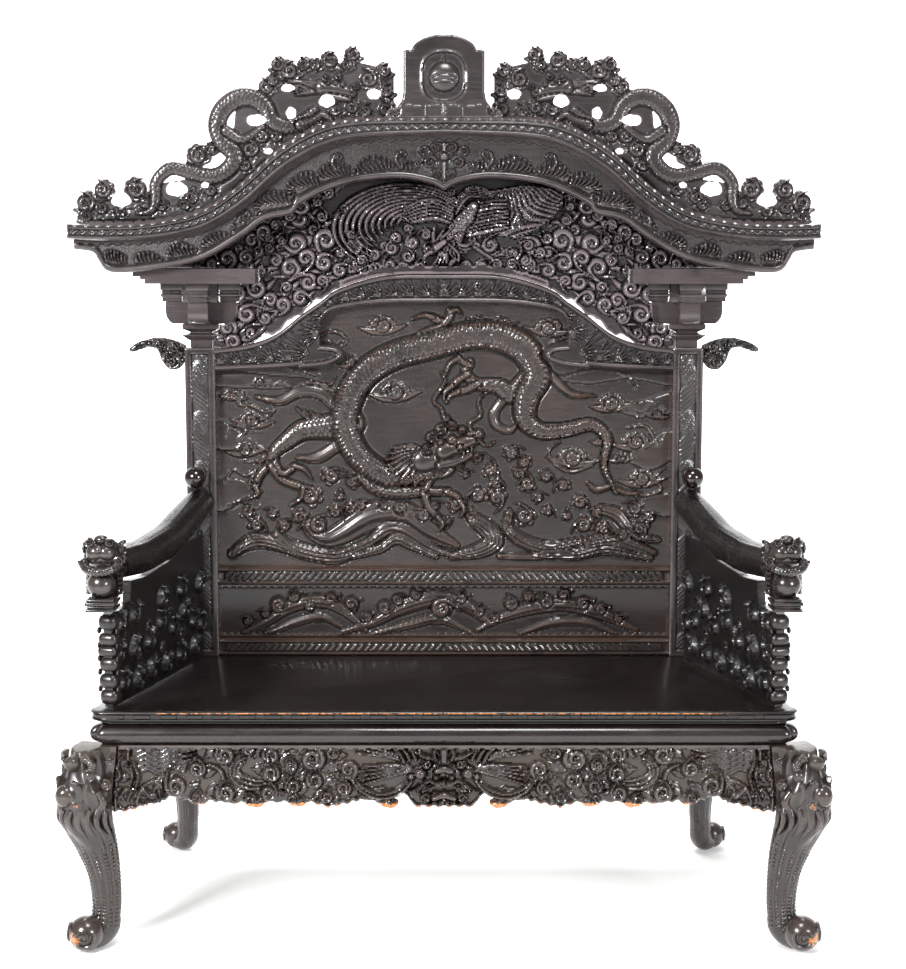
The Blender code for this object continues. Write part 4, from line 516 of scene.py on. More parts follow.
def carvedBoard(carving, distance, front, back, both=False):
    # cut the squares to their outline, raise the carving and give it thickness; both carves the back too
    rows, columns = carving.x.shape
    mask = keptSquares(distance)
    kept = np.zeros((rows, columns), int)
    for i, j in ((0, 0), (0, 1), (1, 0), (1, 1)):
        kept[i:rows - 1 + i, j:columns - 1 + j] += mask
    slopeZ, slopeX = np.gradient(distance, carving.zs, carving.xs)
    slopeX[:, [0, -1]] = 0
    slopeZ[[0, -1], :] = 0
    steep = slopeX ** 2 + slopeZ ** 2
    onEdge = (kept > 0) & (kept < 4) & (steep > 0.05) & (np.abs(distance) < 1.5 * carving.cell)
    step = np.where(onEdge, -distance / np.maximum(steep, 0.05), 0)
    length = np.abs(step) * np.sqrt(steep)
    step *= np.minimum(1, 0.5 * carving.cell / np.maximum(length, 1e-9))
    x, z = carving.x + step * slopeX, carving.z + step * slopeZ
    y = front - carving.sample(x, z)
    bm = bmesh.new()
    bmesh.ops.create_grid(bm, x_segments=columns - 1, y_segments=rows - 1, size=1)
    for vert, place in zip(bm.verts, np.stack([x, y, z], -1).reshape(-1, 3).tolist()):
        vert.co = place
    outside = [face for face, held in zip(bm.faces, mask.ravel()) if not held]
    bmesh.ops.delete(bm, geom=outside, context="FACES")
    keepLargest(bm)
    if both:
        far = bmesh.ops.duplicate(bm, geom=bm.verts[:] + bm.edges[:] + bm.faces[:])
        for vert in (item for item in far["geom"] if isinstance(item, bmesh.types.BMVert)):
            vert.co.y = front + back - vert.co.y
        rims = [edge for edge in bm.edges if edge.is_boundary]
        pairs = {}
        for vert in {v for edge in rims for v in edge.verts}:
            pairs.setdefault((round(vert.co.x, 7), round(vert.co.z, 7)), []).append(vert)
        done = set()
        for edge in rims:
            ends = [pairs[(round(v.co.x, 7), round(v.co.z, 7))] for v in edge.verts]
            key = frozenset(id(v) for pair in ends for v in pair)
            if key not in done and all(len(pair) == 2 for pair in ends):
                done.add(key)
                first = list(edge.verts)
                other = [next(v for v in pair if v is not own) for pair, own in zip(ends, first)]
                bm.faces.new((first[0], first[1], other[1], other[0]))
        return bm
    rims = [edge for edge in bm.edges if edge.is_boundary]
    grown = bmesh.ops.extrude_edge_only(bm, edges=rims)["geom"]
    for item in grown:
        if isinstance(item, bmesh.types.BMVert):
            item.co.y = back
    bmesh.ops.holes_fill(bm, edges=[edge for edge in bm.edges if edge.is_boundary])
    return bm


def loft(rings):  # rings of places joined into one closed body
    rings = np.asarray(rings, float)
    levels, around = rings.shape[:2]
    bm = bmesh.new()
    bmesh.ops.create_grid(bm, x_segments=around, y_segments=levels - 1, size=1)
    wrapped = np.concatenate([rings, rings[:, :1]], axis=1).reshape(-1, 3)
    for vert, place in zip(bm.verts, wrapped.tolist()):
        vert.co = place
    bmesh.ops.remove_doubles(bm, verts=bm.verts, dist=0.000005)
    bmesh.ops.holes_fill(bm, edges=[edge for edge in bm.edges if edge.is_boundary])
    return bm


def block(low, high, bevel=0.0, segments=2):
    bm = bmesh.new()
    bmesh.ops.create_cube(bm, size=1)
    low, high = Vector(low), Vector(high)
    for vert in bm.verts:
        vert.co = [(low[i] + high[i]) / 2 + vert.co[i] * (high[i] - low[i]) for i in range(3)]
    if bevel:
        bmesh.ops.bevel(bm, geom=bm.edges[:], offset=bevel, offset_type="OFFSET", segments=segments,
                        profile=0.5, affect="EDGES", material=-1)
    return bm


def ball(middle, radius, stretch=(1, 1, 1), segments=20):
    bm = bmesh.new()
    bmesh.ops.create_uvsphere(bm, u_segments=segments, v_segments=segments // 2, radius=radius)
    bmesh.ops.scale(bm, vec=stretch, verts=bm.verts)
    bmesh.ops.translate(bm, vec=middle, verts=bm.verts)
    return bm


def sweep(path, radii, around=10, squash=1.0, skin=None, start=(0, 0, 1)):
    # rings round a path; skin(share, angle) scales the radius
    path = np.asarray(path, float)
    radii = np.broadcast_to(np.asarray(radii, float), (len(path),))
    ways = np.gradient(path, axis=0)
    ways /= np.maximum(np.linalg.norm(ways, axis=1), 1e-9)[:, None]
    across = np.asarray(start, float)
    if abs(across @ ways[0]) > 0.9:
        across = np.array((0.0, -1.0, 0.0))
    angles = np.linspace(0, 2 * math.pi, around, endpoint=False)
    rings = []
    for level, (middle, way, radius) in enumerate(zip(path, ways, radii)):
        across = across - way * (across @ way)
        across /= np.linalg.norm(across)
        other = np.cross(way, across)
        swell = radius * (skin(level / (len(path) - 1), angles) if skin else np.ones(around))
        rings.append(middle + (swell * np.cos(angles))[:, None] * across
                     + (squash * swell * np.sin(angles))[:, None] * other)
    return loft(rings)


def ribbed(count, low):  # a sweep's skin with this many swellings
    return lambda share, angles: low + (1 - low) * abs(math.sin(share * count * math.pi))


def strand(points, steps, radii, middle=0.4, **more):  # a sweep along a soft curve that swells and thins
    path = smoothPath(points, steps)
    return sweep(path, np.interp(np.linspace(0, 1, len(path)), (0, middle, 1), radii), **more)


def joinBodies(bodies):
    whole = bmesh.new()
    for body in bodies:
        bmesh.ops.recalc_face_normals(body, faces=body.faces)
        part = bpy.data.meshes.new("part")
        body.to_mesh(part)
        body.free()
        whole.from_mesh(part)
        bpy.data.meshes.remove(part)
    return whole


def curl(middle, radius, thick, face=(0, -1, 0), up=(0, 0, 1), turn=1, start=0.0, turns=1.4, bulge=0.4):
    # a snail curl that lies on a surface; face is the way the surface looks
    face, up = Vector(face).normalized(), Vector(up)
    up = (up - face * up.dot(face)).normalized()
    right = up.cross(face)
    count = 26
    path = []
    for step in range(count):
        share = step / (count - 1)
        angle = start + turn * share * turns * 2 * math.pi
        r = radius * (1 - 0.82 * share)
        path.append(Vector(middle) + right * (r * math.cos(angle)) + up * (r * math.sin(angle))
                    + face * (bulge * radius * share))
    return sweep([tuple(p) for p in path], np.linspace(thick, thick * 0.5, count), around=8, start=tuple(face))


# The roof's lines, shared by the pieces that meet it

roof = dict(half=0.7455, peak=1.5656, front=0.040, edgeDeep=0.035, clear=0.0034, close=0.0004)
roofTop = ((0, 0), (0.164, -0.0016), (0.243, -0.0156), (0.3215, -0.0576), (0.401, -0.1276), (0.480, -0.180),
           (0.579, -0.2036), (0.678, -0.2076), (0.7455, -0.2056))
roofLow = ((0, -0.0286), (0.164, -0.0366), (0.243, -0.0556), (0.322, -0.1006), (0.4015, -0.1686),
           (0.481, -0.2136), (0.580, -0.2326), (0.679, -0.2366), (0.7455, -0.2346))


def roofZ(points, x):
    return heightAt([(a, roof["peak"] + b) for a, b in points], x)


archTop = [(0.47370 * a, 1.108 + 0.152 * b) for a, b in ((0, 1.0), (0.25, 0.98), (0.45, 0.81), (0.54, 0.62),
                                                         (0.62, 0.45),
                                                         (0.73, 0.19), (0.85, 0.05))] + [(0.4737, 1.106)]
archLow = [(0.4737 * a, 1.108 + 0.0925 * b) for a, b in ((0, 1.0), (0.20, 1.0), (0.32, 0.97), (0.41, 0.91),
                                                         (0.49, 0.82), (0.535, 0.62), (0.545, 0.30))]
archLow += [(0.4737 * 0.56, 1.085), (0.4737 * 0.67, 1.069), (0.4737, 1.061)]


def insideArch(x, z):  # distance inside the arch rail, its inturned tips with it
    tips = []
    for side in (-1, 1):
        corners = [(0.30, 1.066), (0.245, 1.072), (0.212, 1.086), (0.214, 1.104), (0.240, 1.112), (0.300, 1.11)]
        tips.append(insideOutline(x * side, z, smoothPath(corners + corners[:1], 3)))
    band = z - heightAt(archLow, x)
    return np.minimum(heightAt(archTop, x) - z, np.maximum(band, np.maximum(*tips)))


# Dragon panel

dragonPanel = dict(
    cell=0.00275, body=0.0125, low=0.0035, mid=0.0080,
    spine=((615, 487), (603, 460), (606, 433), (591, 419), (564, 424), (540, 425), (525, 413), (526, 391), (536, 370),
           (525, 346), (500, 332), (471, 330), (432, 340), (395, 350), (367, 367), (351, 391), (346, 420), (360, 451),
           (388, 470), (412, 462)),
    breadth=(1.5, 3, 5, 6, 7, 8, 10, 12, 13, 14, 14, 13, 13, 13, 13, 13, 13, 12, 12, 12),
    # column, row, radius, turn
    clouds=((384, 320, 10, 1), (396, 386, 11, 1), (547, 322, 10, -1), (500, 318, 7, 1), (610, 397, 10, 1),
            (634, 436, 10, 1),
            (572, 452, 11, -1), (641, 473, 10, 1), (254, 414, 9, -1), (247, 444, 8, 1), (236, 390, 6, -1),
            (352, 356, 7, 1),
            (262, 376, 5, 1), (478, 314, 5, -1), (655, 408, 6, -1), (600, 436, 5, -1), (620, 452, 6, 1),
            (330, 338, 5, 1)),
    # column, row, radius, turn, where it starts
    foam=((319, 520, 10, 1, 2.4), (310, 490, 11, -1, 1), (333, 470, 9, 1, 2), (352, 476, 7, -1, 1),
          (300, 512, 8, 1, 0),
          (336, 507, 7, 1, 1), (350, 503, 7, -1, 2), (286, 520, 7, 1, 2), (272, 508, 6, -1, 1), (258, 520, 8, 1, 1),
          (248, 506, 7, -1, 0), (400, 503, 8, 1, 0), (384, 500, 6, -1, 2), (423, 510, 8, -1, 1), (436, 500, 5, 1, 2),
          (362, 500, 6, 1, 2), (340, 490, 5, -1, 0), (490, 463, 8, -1, 0), (478, 452, 6, 1, 2), (497, 478, 7, 1, 1),
          (477, 490, 9, -1, 2), (497, 493, 9, 1, 0), (512, 447, 8, 1, 2), (523, 456, 7, -1, 1), (518, 468, 7, 1, 0),
          (457, 458, 6, -1, 1), (466, 468, 5, 1, 2), (527, 478, 8, -1, 0), (546, 471, 7, 1, 1), (562, 480, 7, -1, 2),
          (538, 492, 6, 1, 2), (524, 510, 10, -1, 0.5), (548, 506, 6, 1, 1), (580, 497, 8, 1, 1),
          (583, 520, 9, -1, 2),
          (596, 508, 6, 1, 0), (604, 524, 7, 1, 1), (622, 530, 7, -1, 2), (640, 524, 8, 1, 0), (634, 503, 8, -1, 1),
          (650, 512, 6, 1, 2), (456, 500, 7, 1, 2), (470, 510, 6, -1, 1), (447, 516, 5, 1, 0), (566, 510, 5, -1, 0)),
    # clouds that run in from both edges, drawn as a raised line with small turns
    meanders=(((224, 396), (233, 386), (246, 388), (240, 398), (254, 400), (266, 406), (276, 404), (270, 412)),
              ((228, 432), (234, 420), (248, 424), (240, 434), (256, 440), (270, 446), (262, 456), (246, 456)),
              ((226, 478), (234, 464), (246, 470), (256, 466), (250, 480), (262, 486), (244, 494), (226, 500)),
              ((258, 372), (272, 380), (284, 376), (298, 381), (314, 377), (330, 379), (338, 371)),
              ((222, 358), (244, 352), (262, 356), (282, 350), (296, 358)),
              ((560, 372), (580, 366), (604, 364), (624, 370), (634, 382)),
              ((664, 402), (650, 396), (640, 404), (626, 400), (636, 412)),
              ((664, 428), (656, 440), (650, 428), (642, 420), (626, 422)),
              ((664, 462), (654, 472), (660, 484), (646, 490), (634, 488), (640, 498)),
              ((318, 332), (336, 326), (348, 334), (342, 344)),
              ((548, 338), (566, 332), (580, 336), (592, 344)),
              ((560, 436), (548, 446), (556, 460), (572, 466), (592, 460))),
)


def makeDragonPanel(p=dragonPanel):
    low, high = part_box("panel_dragon")
    half, bottom, back = high.x, low.z, high.y
    sheet = DrawingSheet(225, half, 562, bottom, 300.6, bottom + 0.547)
    c = Carving(-half, half, bottom, high.z, p["cell"], sheet)
    flat, mid, body = p["low"], p["mid"], p["body"]
    # thin flat clouds that run in from both edges
    for line, width in ((((222, 372), (262, 376), (310, 378), (334, 384)), (9, 7, 5, 2)),
                        (((222, 350), (250, 352), (300, 360), (318, 368)), (6, 5, 6, 3)),
                        (((222, 430), (240, 436), (262, 444)), (14, 9, 4)),
                        (((222, 490), (240, 486), (256, 500)), (16, 11, 5)),
                        (((666, 372), (626, 366), (590, 372), (556, 372)), (8, 7, 6, 3)),
                        (((666, 398), (640, 404), (618, 402)), (10, 8, 4)),
                        (((666, 440), (650, 452), (636, 452)), (14, 12, 8)),
                        (((666, 500), (646, 500), (630, 508)), (12, 8, 4)),
                        (((560, 345), (600, 342), (640, 352)), (3, 6, 4))):
        c.stroke(line, width, flat, soft=0.12, groove=0.001)
    # swells of the sea, lying in long strands
    for line, width, count in ((((232, 549), (252, 537), (272, 538), (301, 551)), (5, 8, 8, 3), 3),
                               (((276, 530), (300, 546), (338, 552), (372, 540)), (4, 8, 8, 3), 3),
                               (((304, 516), (313, 529), (328, 534), (345, 527), (368, 513), (391, 508), (408, 512),
                                 (430, 528), (456, 541)),
                                (4, 6, 8, 11, 14, 15, 13, 10, 4), 1),
                               (((338, 549), (368, 537), (388, 524), (406, 527), (429, 542), (452, 551)),
                                (3, 5, 7, 7, 5, 3), 2),
                               (((354, 552), (380, 544), (396, 534), (412, 541), (436, 552)), (3, 5, 6, 5, 3), 2),
                               (((452, 552), (480, 546), (494, 536), (487, 524), (474, 514), (470, 504)),
                                (4, 8, 10, 9, 7, 4), 4),
                               (((509, 508), (508, 524), (526, 538), (550, 544), (578, 538), (609, 528)),
                                (5, 7, 7, 7, 5, 2), 3),
                               (((500, 552), (530, 552), (553, 550), (578, 549), (603, 543), (625, 546), (650, 553)),
                                (3, 4, 5, 7, 8, 7, 4), 3),
                               (((587, 539), (616, 535), (632, 540), (655, 548)), (4, 6, 6, 3), 2),
                               (((600, 504), (616, 509), (626, 520), (640, 532), (658, 535)), (5, 7, 6, 5, 3), 2)):
        c.stroke(line, width, mid, strandSkin(count + 1, 0.0034), soft=0.6, groove=0.0024)
    for line in p["meanders"]:
        c.stroke(line, (0.8, 1.7, 2.0, 1.9, 1.0), mid * 0.62, groove=0.0018)
    # foam that breaks off the swells, in knots of small hooks with drops between
    for x, z, r, turn, start in p["foam"]:
        for step in range(3):
            angle = start + turn * (0.5 + 0.9 * step)
            c.dome((x + 0.95 * r * math.cos(angle), z - 0.85 * r * math.sin(angle)), r * 0.42, mid * 0.80,
                   groove=0.001)
        c.hook((x, z), r * 0.86, mid * 0.95, turn, start, tail=2.2, thick=0.33, over=0.0012)
    for x, z, r, turn in p["clouds"]:  # small clouds on a long pointed streamer
        c.stroke(((x - turn * r * 2.5, z + 2), (x - turn * r * 1.0, z + r * 0.6), (x + turn * r * 0.8, z + r * 0.45),
                  (x + turn * r * 2.5, z - 1)),
                 (0.8, r * 0.42, r * 0.45, 0.8), mid * 0.62, strandSkin(1, 0.0012), groove=0.0018)
        for step in range(5):
            angle = 0.25 + 0.66 * step
            c.dome((x + 1.0 * r * math.cos(angle), z - 0.62 * r * math.sin(angle)), r * 0.40, mid * 0.66,
                   groove=0.0012)
        c.hook((x, z), r * 0.74, mid * 0.95, turn, 3.6 if turn > 0 else 5.8, tail=1.2, thick=0.36)
    # fins, ribbons and mane
    for line, width in ((((258, 391), (281, 395), (301, 386), (322, 388), (338, 404)), (2, 5, 6, 6, 5)),
                        (((507, 388), (494, 406), (496, 419), (508, 425), (515, 420)), (5, 5, 5, 4, 2)),
                        (((540, 362), (552, 372), (570, 388), (594, 390)), (5, 5, 4, 1.5)),
                        (((298, 452), (318, 452), (338, 440)), (2, 6, 6)),
                        (((610, 480), (596, 484), (588, 478)), (3, 4, 2)),
                        (((616, 484), (628, 488), (640, 487)), (3, 3, 1))):
        c.stroke(line, width, mid, strandSkin(2, 0.0015), over=0.001, groove=0.0015)
    for step in range(5):
        c.stroke(((298 + step * 7, 402 + step * 2), (306 + step * 6, 410 + step), (318 + step * 5, 421)),
                 (1.2, 2.4, 2.2), mid, over=0.001)
    scales = scaleSkin(0.0095, 4, 0.0032)
    # limbs, each toe ending in a long claw
    for line, width in ((((352, 418), (330, 421), (305, 424), (290, 434), (276, 446), (272, 458)),
                         (13, 12, 10, 8, 6, 6)),
                        (((366, 470), (376, 481), (396, 487), (425, 486), (449, 486)), (9, 8, 7, 5, 4)),
                        (((530, 372), (512, 388), (498, 381), (477, 378), (466, 367), (470, 356)),
                         (11, 10, 8, 6, 5, 4))):
        c.stroke(line, width, body * 0.8, scales, over=0.0022, groove=0.003)
    for line, width in ((((271, 458), (261, 469), (256, 481)), 4),
                        (((272, 460), (283, 474), (298, 480), (304, 482)), 4),
                        (((276, 456), (284, 468), (296, 460)), 3.5), (((424, 487), (429, 502), (438, 512)), 4),
                        (((426, 484), (430, 474), (428, 466)), 3.5), (((446, 486), (456, 490), (460, 496)), 3.5),
                        (((470, 360), (462, 356), (458, 352)), 3.5), (((468, 368), (458, 374), (452, 380)), 3.5),
                        (((443, 322), (440, 316), (433, 312)), 4), (((443, 320), (449, 312), (450, 306)), 4),
                        (((440, 322), (428, 326), (420, 330)), 4), (((478, 378), (466, 384), (458, 386)), 4)):
        c.stroke(line, width, body * 0.7, ribSkin(0.008, 0.0015), over=0.003, groove=0.002)
    for line in (((256, 480), (258, 489), (243, 495)), ((304, 482), (302, 492), (291, 500)),
                 ((295, 460), (306, 464), (313, 474)),
                 ((438, 512), (443, 519), (438, 527)), ((428, 467), (432, 460), (440, 458)),
                 ((460, 496), (464, 504), (460, 512)),
                 ((459, 352), (450, 358), (444, 372)), ((452, 380), (445, 386), (444, 394)),
                 ((433, 312), (424, 310), (412, 314)),
                 ((450, 307), (456, 304), (462, 309)), ((420, 330), (414, 334), (410, 340)),
                 ((458, 386), (450, 390), (446, 397))):
        c.stroke(line, (3.2, 2.6, 0.9), body * 0.75, over=0.002, groove=0.002)
    # the body, from the tail to the neck, with back beads and belly ribs
    c.stroke(p["spine"], p["breadth"], body, scaleSkin(0.0100, 5, 0.0040, belly=-1, beads=1), over=0.0012,
             groove=0.004, soft=0.42)
    # breast, mane, beard and head
    for step in range(9):
        angle = 2.5 + step * 0.22
        c.stroke(((430, 450), (430 + 22 * math.cos(angle), 452 - 16 * math.sin(angle)),
                  (428 + 42 * math.cos(angle + 0.12), 456 - 28 * math.sin(angle + 0.12))), (4, 4.5, 1.2),
                  body * 0.72, over=0.004, groove=0.002)
    for step in range(6):
        c.stroke(((434 + step * 4, 455), (424 + step * 5, 466), (404 + step * 7, 477 - step)), (3, 3.6, 1.2),
                 body * 0.7, over=0.004, groove=0.002)
    c.stroke(((424, 456), (438, 450), (452, 444)), (12, 13, 10), body * 0.8, over=0.0035, groove=0.003)
    c.stroke(((444, 446), (462, 438), (476, 432)), (9, 7, 6), body * 0.9, over=0.004, groove=0.002)
    c.stroke(((440, 460), (456, 456), (470, 449)), (5, 5, 3.5), body * 0.75, over=0.004, groove=0.002)
    for place, r, lift in (((478, 428), 5.5, 1.0), ((470, 427), 4.5, 0.9), ((452, 434), 5, 1.1),
                           ((440, 436), 4, 1.0), ((460, 441), 4, 0.95)):
        c.dome(place, r, body * lift, over=0.003, groove=0.0015)
    for x, z, r, turn in ((441, 424, 6, 1), (452, 420, 5, -1), (432, 432, 6, 1), (462, 424, 4, -1), (428, 444, 6, 1),
                          (447, 413, 4, 1)):
        c.scroll((x, z), r, body * 0.85, turn, 1.0, over=0.003)
    for line in (((470, 424), (470, 417), (480, 409), (478, 395), (486, 386)),
                 ((444, 412), (441, 402), (434, 394), (445, 376), (441, 366)),
                 ((478, 434), (486, 440), (494, 436))):
        c.stroke(line, (2.2, 2, 1.8, 1), mid * 1.1, over=0.001, groove=0.0012)
    for step in range(3):
        c.stroke(((464 + step * 4, 446 - step * 2), (463 + step * 4, 449 - step * 2)), 1.6, body * 1.05, over=0.003)
    c.h = np.clip(c.h, -0.0035, 0.0145)
    c.h *= np.clip((-insideArch(c.x, c.z) - 0.004) / 0.008, 0, 1)
    distance = np.minimum(heightAt(archTop, c.x) - 0.012 - c.z, 1)
    bm = carvedBoard(c, distance, back - 0.022, back)
    return finishPiece("panel_dragon_carved", bm, "panel", ["panel_dragon"],
                       stipple=lambda places: (c.sample(places[:, 0], places[:, 2]) < 0.0006) * 0.8)


makeDragonPanel()
print("dragon panel carved")


# Frieze and rails under it

waves = dict(
    cell=0.0028, height=0.0085,
    swells=((((240, 633), (262, 622), (290, 604), (322, 600), (345, 612), (364, 630)), (3, 5, 7, 7, 5, 3), 3),
            (((262, 634), (292, 622), (318, 616), (340, 626)), (3, 5, 5, 3), 2),
            (((340, 632), (372, 622), (402, 606), (440, 596), (466, 604), (490, 622)), (3, 5, 8, 9, 7, 4), 4),
            (((372, 634), (410, 624), (440, 618), (470, 632)), (3, 5, 6, 3), 3),
            (((478, 630), (505, 616), (540, 606), (572, 604), (606, 614), (640, 630)), (3, 5, 7, 7, 6, 3), 3),
            (((520, 634), (556, 622), (590, 622), (620, 634)), (3, 5, 5, 3), 2)),
    curls=((276, 603, 8, -1), (292, 594, 6, 1), (308, 604, 6, 1), (330, 596, 6, -1), (350, 602, 7, 1),
           (262, 612, 5, -1),
           (384, 606, 7, -1), (398, 598, 6, 1), (416, 592, 6, 1), (442, 607, 11, 1), (462, 596, 6, 1),
           (480, 610, 6, 1),
           (512, 602, 7, -1), (530, 594, 6, 1), (548, 600, 7, -1), (566, 592, 6, 1), (586, 602, 7, 1),
           (604, 608, 6, 1),
           (622, 618, 5, 1), (244, 620, 5, -1), (366, 616, 5, 1), (496, 618, 5, -1)),
)


def makeFrieze(p=waves):
    low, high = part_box("panel_waves")
    tall = high.z - low.z
    sheet = DrawingSheet(228, high.x, 638, low.z, 580, high.z)
    c = Carving(-high.x, high.x, low.z, high.z, p["cell"], sheet)
    for line, width, count in p["swells"]:
        c.stroke(line, width, p["height"] * 0.8, strandSkin(count, 0.0022), soft=0.6, groove=0.0015)
    for x, z, r, turn in p["curls"]:
        c.hook((x, z), r, p["height"] * 0.9, turn, 0.7 * x, tail=1.9, thick=0.34, over=0.001)
        c.dome((x + 1.5 * r, z - 0.6 * r), r * 0.25, p["height"] * 0.7)
    near = np.minimum(c.z - low.z, high.z - c.z)
    scallop = 0.007 + 0.0028 * np.abs(np.sin(c.x * math.pi / 0.0165))
    c.h = np.where(near < scallop, 0.004, c.h)
    c.h *= np.clip((near - 0.0004) / 0.001, 0, 1)
    bm = carvedBoard(c, np.full(c.x.shape, tall), high.y - 0.022, high.y)
    finishPiece("panel_waves_carved", bm, "panel", ["panel_waves"])


def makeRail(node):
    # rope of slanting leaves in a sunk band between two beads, mirrored at the middle
    low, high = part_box(node)
    tall = high.z - low.z
    c = Carving(-high.x, high.x, low.z, high.z, 0.0026)
    t = (c.z - low.z) / tall * 2 - 1
    front = high.y - 0.045
    band = np.clip((0.52 - np.abs(t)) / 0.08, 0, 1) * np.clip((high.x - 0.012 - np.abs(c.x)) / 0.004, 0, 1)
    step = np.abs(c.x) / 0.0150 + 0.62 * np.sin(t * 1.7)
    saw = step - np.floor(step)
    leaf = ridge(2 * saw, 1, 1) * (0.75 + 0.25 * np.cos(saw * 18))
    bead = ridge(np.abs(t), 0.76, 0.20)
    c.h = 0.0055 * bead + band * (0.0052 * leaf - 0.0006)
    bm = carvedBoard(c, np.full(c.x.shape, tall), front, high.y)
    finishPiece(node + "_carved", bm, "panel", [node])


makeFrieze()
makeRail("rail_mid")
makeRail("rail_bottom")
print("frieze and rails carved")


# Arch rail

def makeArchRail():
    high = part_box("arch_rail")[1]
    c = Carving(-high.x, high.x, 1.040, 1.280, 0.0021)
    distance = insideArch(c.x, c.z)
    middle = heightAt([(a, (z + heightAt(archLow, a)) / 2) for a, z in archTop], c.x)
    field = np.clip((distance - 0.0115) / 0.003, 0, 1)
    line = np.array((c.xs[c.xs >= 0], middle[0][c.xs >= 0])).T
    run = runLength(line)
    c.twin = True
    for start in np.arange(0.006, run[-1], 0.034):
        spot = np.array([np.interp(start, run, line[:, axis]) for axis in (0, 1)])
        ahead = np.array([np.interp(start + 0.004, run, line[:, axis]) for axis in (0, 1)]) - spot
        ahead /= max(np.linalg.norm(ahead), 1e-6)
        up = np.array((-ahead[1], ahead[0]))
        tall = (heightAt(archTop, spot[0]) - heightAt(archLow, spot[0])) * up[1]
        root = spot - up * tall * 0.36 - ahead * 0.012
        for flute in range(6):
            lean = 0.15 + 0.26 * flute
            way = up * math.cos(lean) + ahead * math.sin(lean)
            long = tall * 0.80 * (1 - 0.06 * flute)
            c.stroke((root + ahead * 0.0008 * flute, root + way * long * 0.55 - ahead * 0.0015,
                      root + way * long + ahead * 0.0035),
                     (0.0011, 0.0024, 0.0012), 0.0052, groove=0.0012, metres=True)
    c.twin = False
    bead = ridge(distance, 0.0058, 0.0052)
    c.h = 0.0065 * bead + field * c.h
    back = 0.198
    bm = carvedBoard(c, distance, 0.174, back - 0.0003)
    finishPiece("arch_rail_carved", bm, "canopy", ["arch_rail"])


makeArchRail()
print("arch rail carved")


# Gable: bargeboard, roof edges, phoenix

bargeLow = ((0, 1.427), (0.028, 1.441), (0.087, 1.451), (0.166, 1.445), (0.226, 1.429), (0.286, 1.400),
            (0.304, 1.380), (0.3555, 1.368), (0.406, 1.333), (0.486, 1.289), (0.586, 1.2695), (0.650, 1.2640),
            (0.676, 1.270), (0.690, 1.290), (0.701, 1.305), (0.738, 1.311))
barge = dict(cell=0.0020, height=0.0088, end=0.738,
             # a root and the tips of its fronds
             plumes=(((126, 267), ((100, 256), (101, 249), (107, 247), (114, 249), (121, 253))),
                     ((164, 267), ((132, 261), (132, 252), (140, 249), (149, 250), (158, 255))),
                     ((204, 259), ((166, 258), (165, 248), (170, 241), (179, 240), (188, 243), (197, 249))),
                     ((240, 243), ((202, 251), (199, 242), (203, 234), (212, 229), (222, 229), (232, 233))),
                     ((270, 221), ((236, 233), (230, 225), (234, 218), (243, 212), (254, 210), (263, 213))),
                     ((296, 203), ((258, 212), (253, 203), (257, 194), (267, 188), (278, 187), (288, 192))),
                     ((326, 186), ((290, 193), (285, 184), (290, 175), (300, 169), (310, 168), (320, 174))),
                     ((360, 178), ((322, 178), (317, 170), (322, 162), (332, 157), (342, 158), (353, 166))),
                     ((398, 173), ((360, 172), (356, 163), (362, 155), (373, 151), (384, 153), (392, 161))),
                     ((426, 176), ((400, 172), (399, 163), (405, 157), (414, 158)))),
             volutes=((244, 211, 6), (338, 153, 5), (184, 233, 4), (402, 150, 5)))


def makeBargeboard(p=barge):
    sheet = DrawingSheet(372, 0.7335, 245, 1.311, 125, 1.545)
    c = Carving(-p["end"], p["end"], 1.2475, roof["peak"] - 0.02, p["cell"], sheet)
    top = roofZ(roofLow, c.x) - roof["close"] - c.z
    low = heightAt(bargeLow, c.x)
    slope = np.abs(np.gradient(low, c.xs, axis=1))
    rise = (c.z - low) / np.sqrt(1 + np.minimum(slope, 1.5) ** 2)
    distance = np.minimum(np.minimum(top, rise), p["end"] - np.abs(c.x))
    c.twin = True
    for base, tips in p["plumes"]:
        c.plume(base, tips, 1.15, p["height"])
    for x, z, r in p["volutes"]:
        c.scroll((x, z), r, p["height"], -1, 2.5)
        c.stroke(((x - r, z - 1), (x - r * 1.3, z + r * 1.2), (x - r * 0.2, z + r * 2.6)), (2.2, 2.2, 1),
                 p["height"] * 0.9)
    for place, r in (((436, 143), 7), ((430, 158), 8), ((424, 147), 6), ((437, 170), 6), ((418, 160), 5)):
        c.scroll(place, r, p["height"], 1, 0.5)
    c.twin = False
    c.stroke(((444, 136), (444, 182)), (3, 3), p["height"] * 1.05, over=0)
    c.dome((444, 152), 5, p["height"] * 1.3, over=0)
    bead = ridge(distance, 0.0070, 0.0062) * (rise < top)
    c.h *= np.clip((np.minimum(rise, top) - 0.014) / 0.005, 0, 1)
    c.h = np.maximum(c.h, 0.0062 * bead)
    hang = 0.009 + 0.0022 * np.cos(c.x * 2 * math.pi / 0.021)  # scallops that hang from the roof edge
    c.h = np.where(top < hang, 0.0035, c.h)
    front = 0.071
    bm = carvedBoard(c, distance, front, front + 0.018)
    heights = c.h.copy()

    def plain(places):
        c.h = heights
        return (c.sample(places[:, 0], places[:, 2]) < 0.0008) * 1.0

    finishPiece("bargeboard_carved", bm, "canopy", ["bargeboard"], stipple=plain)


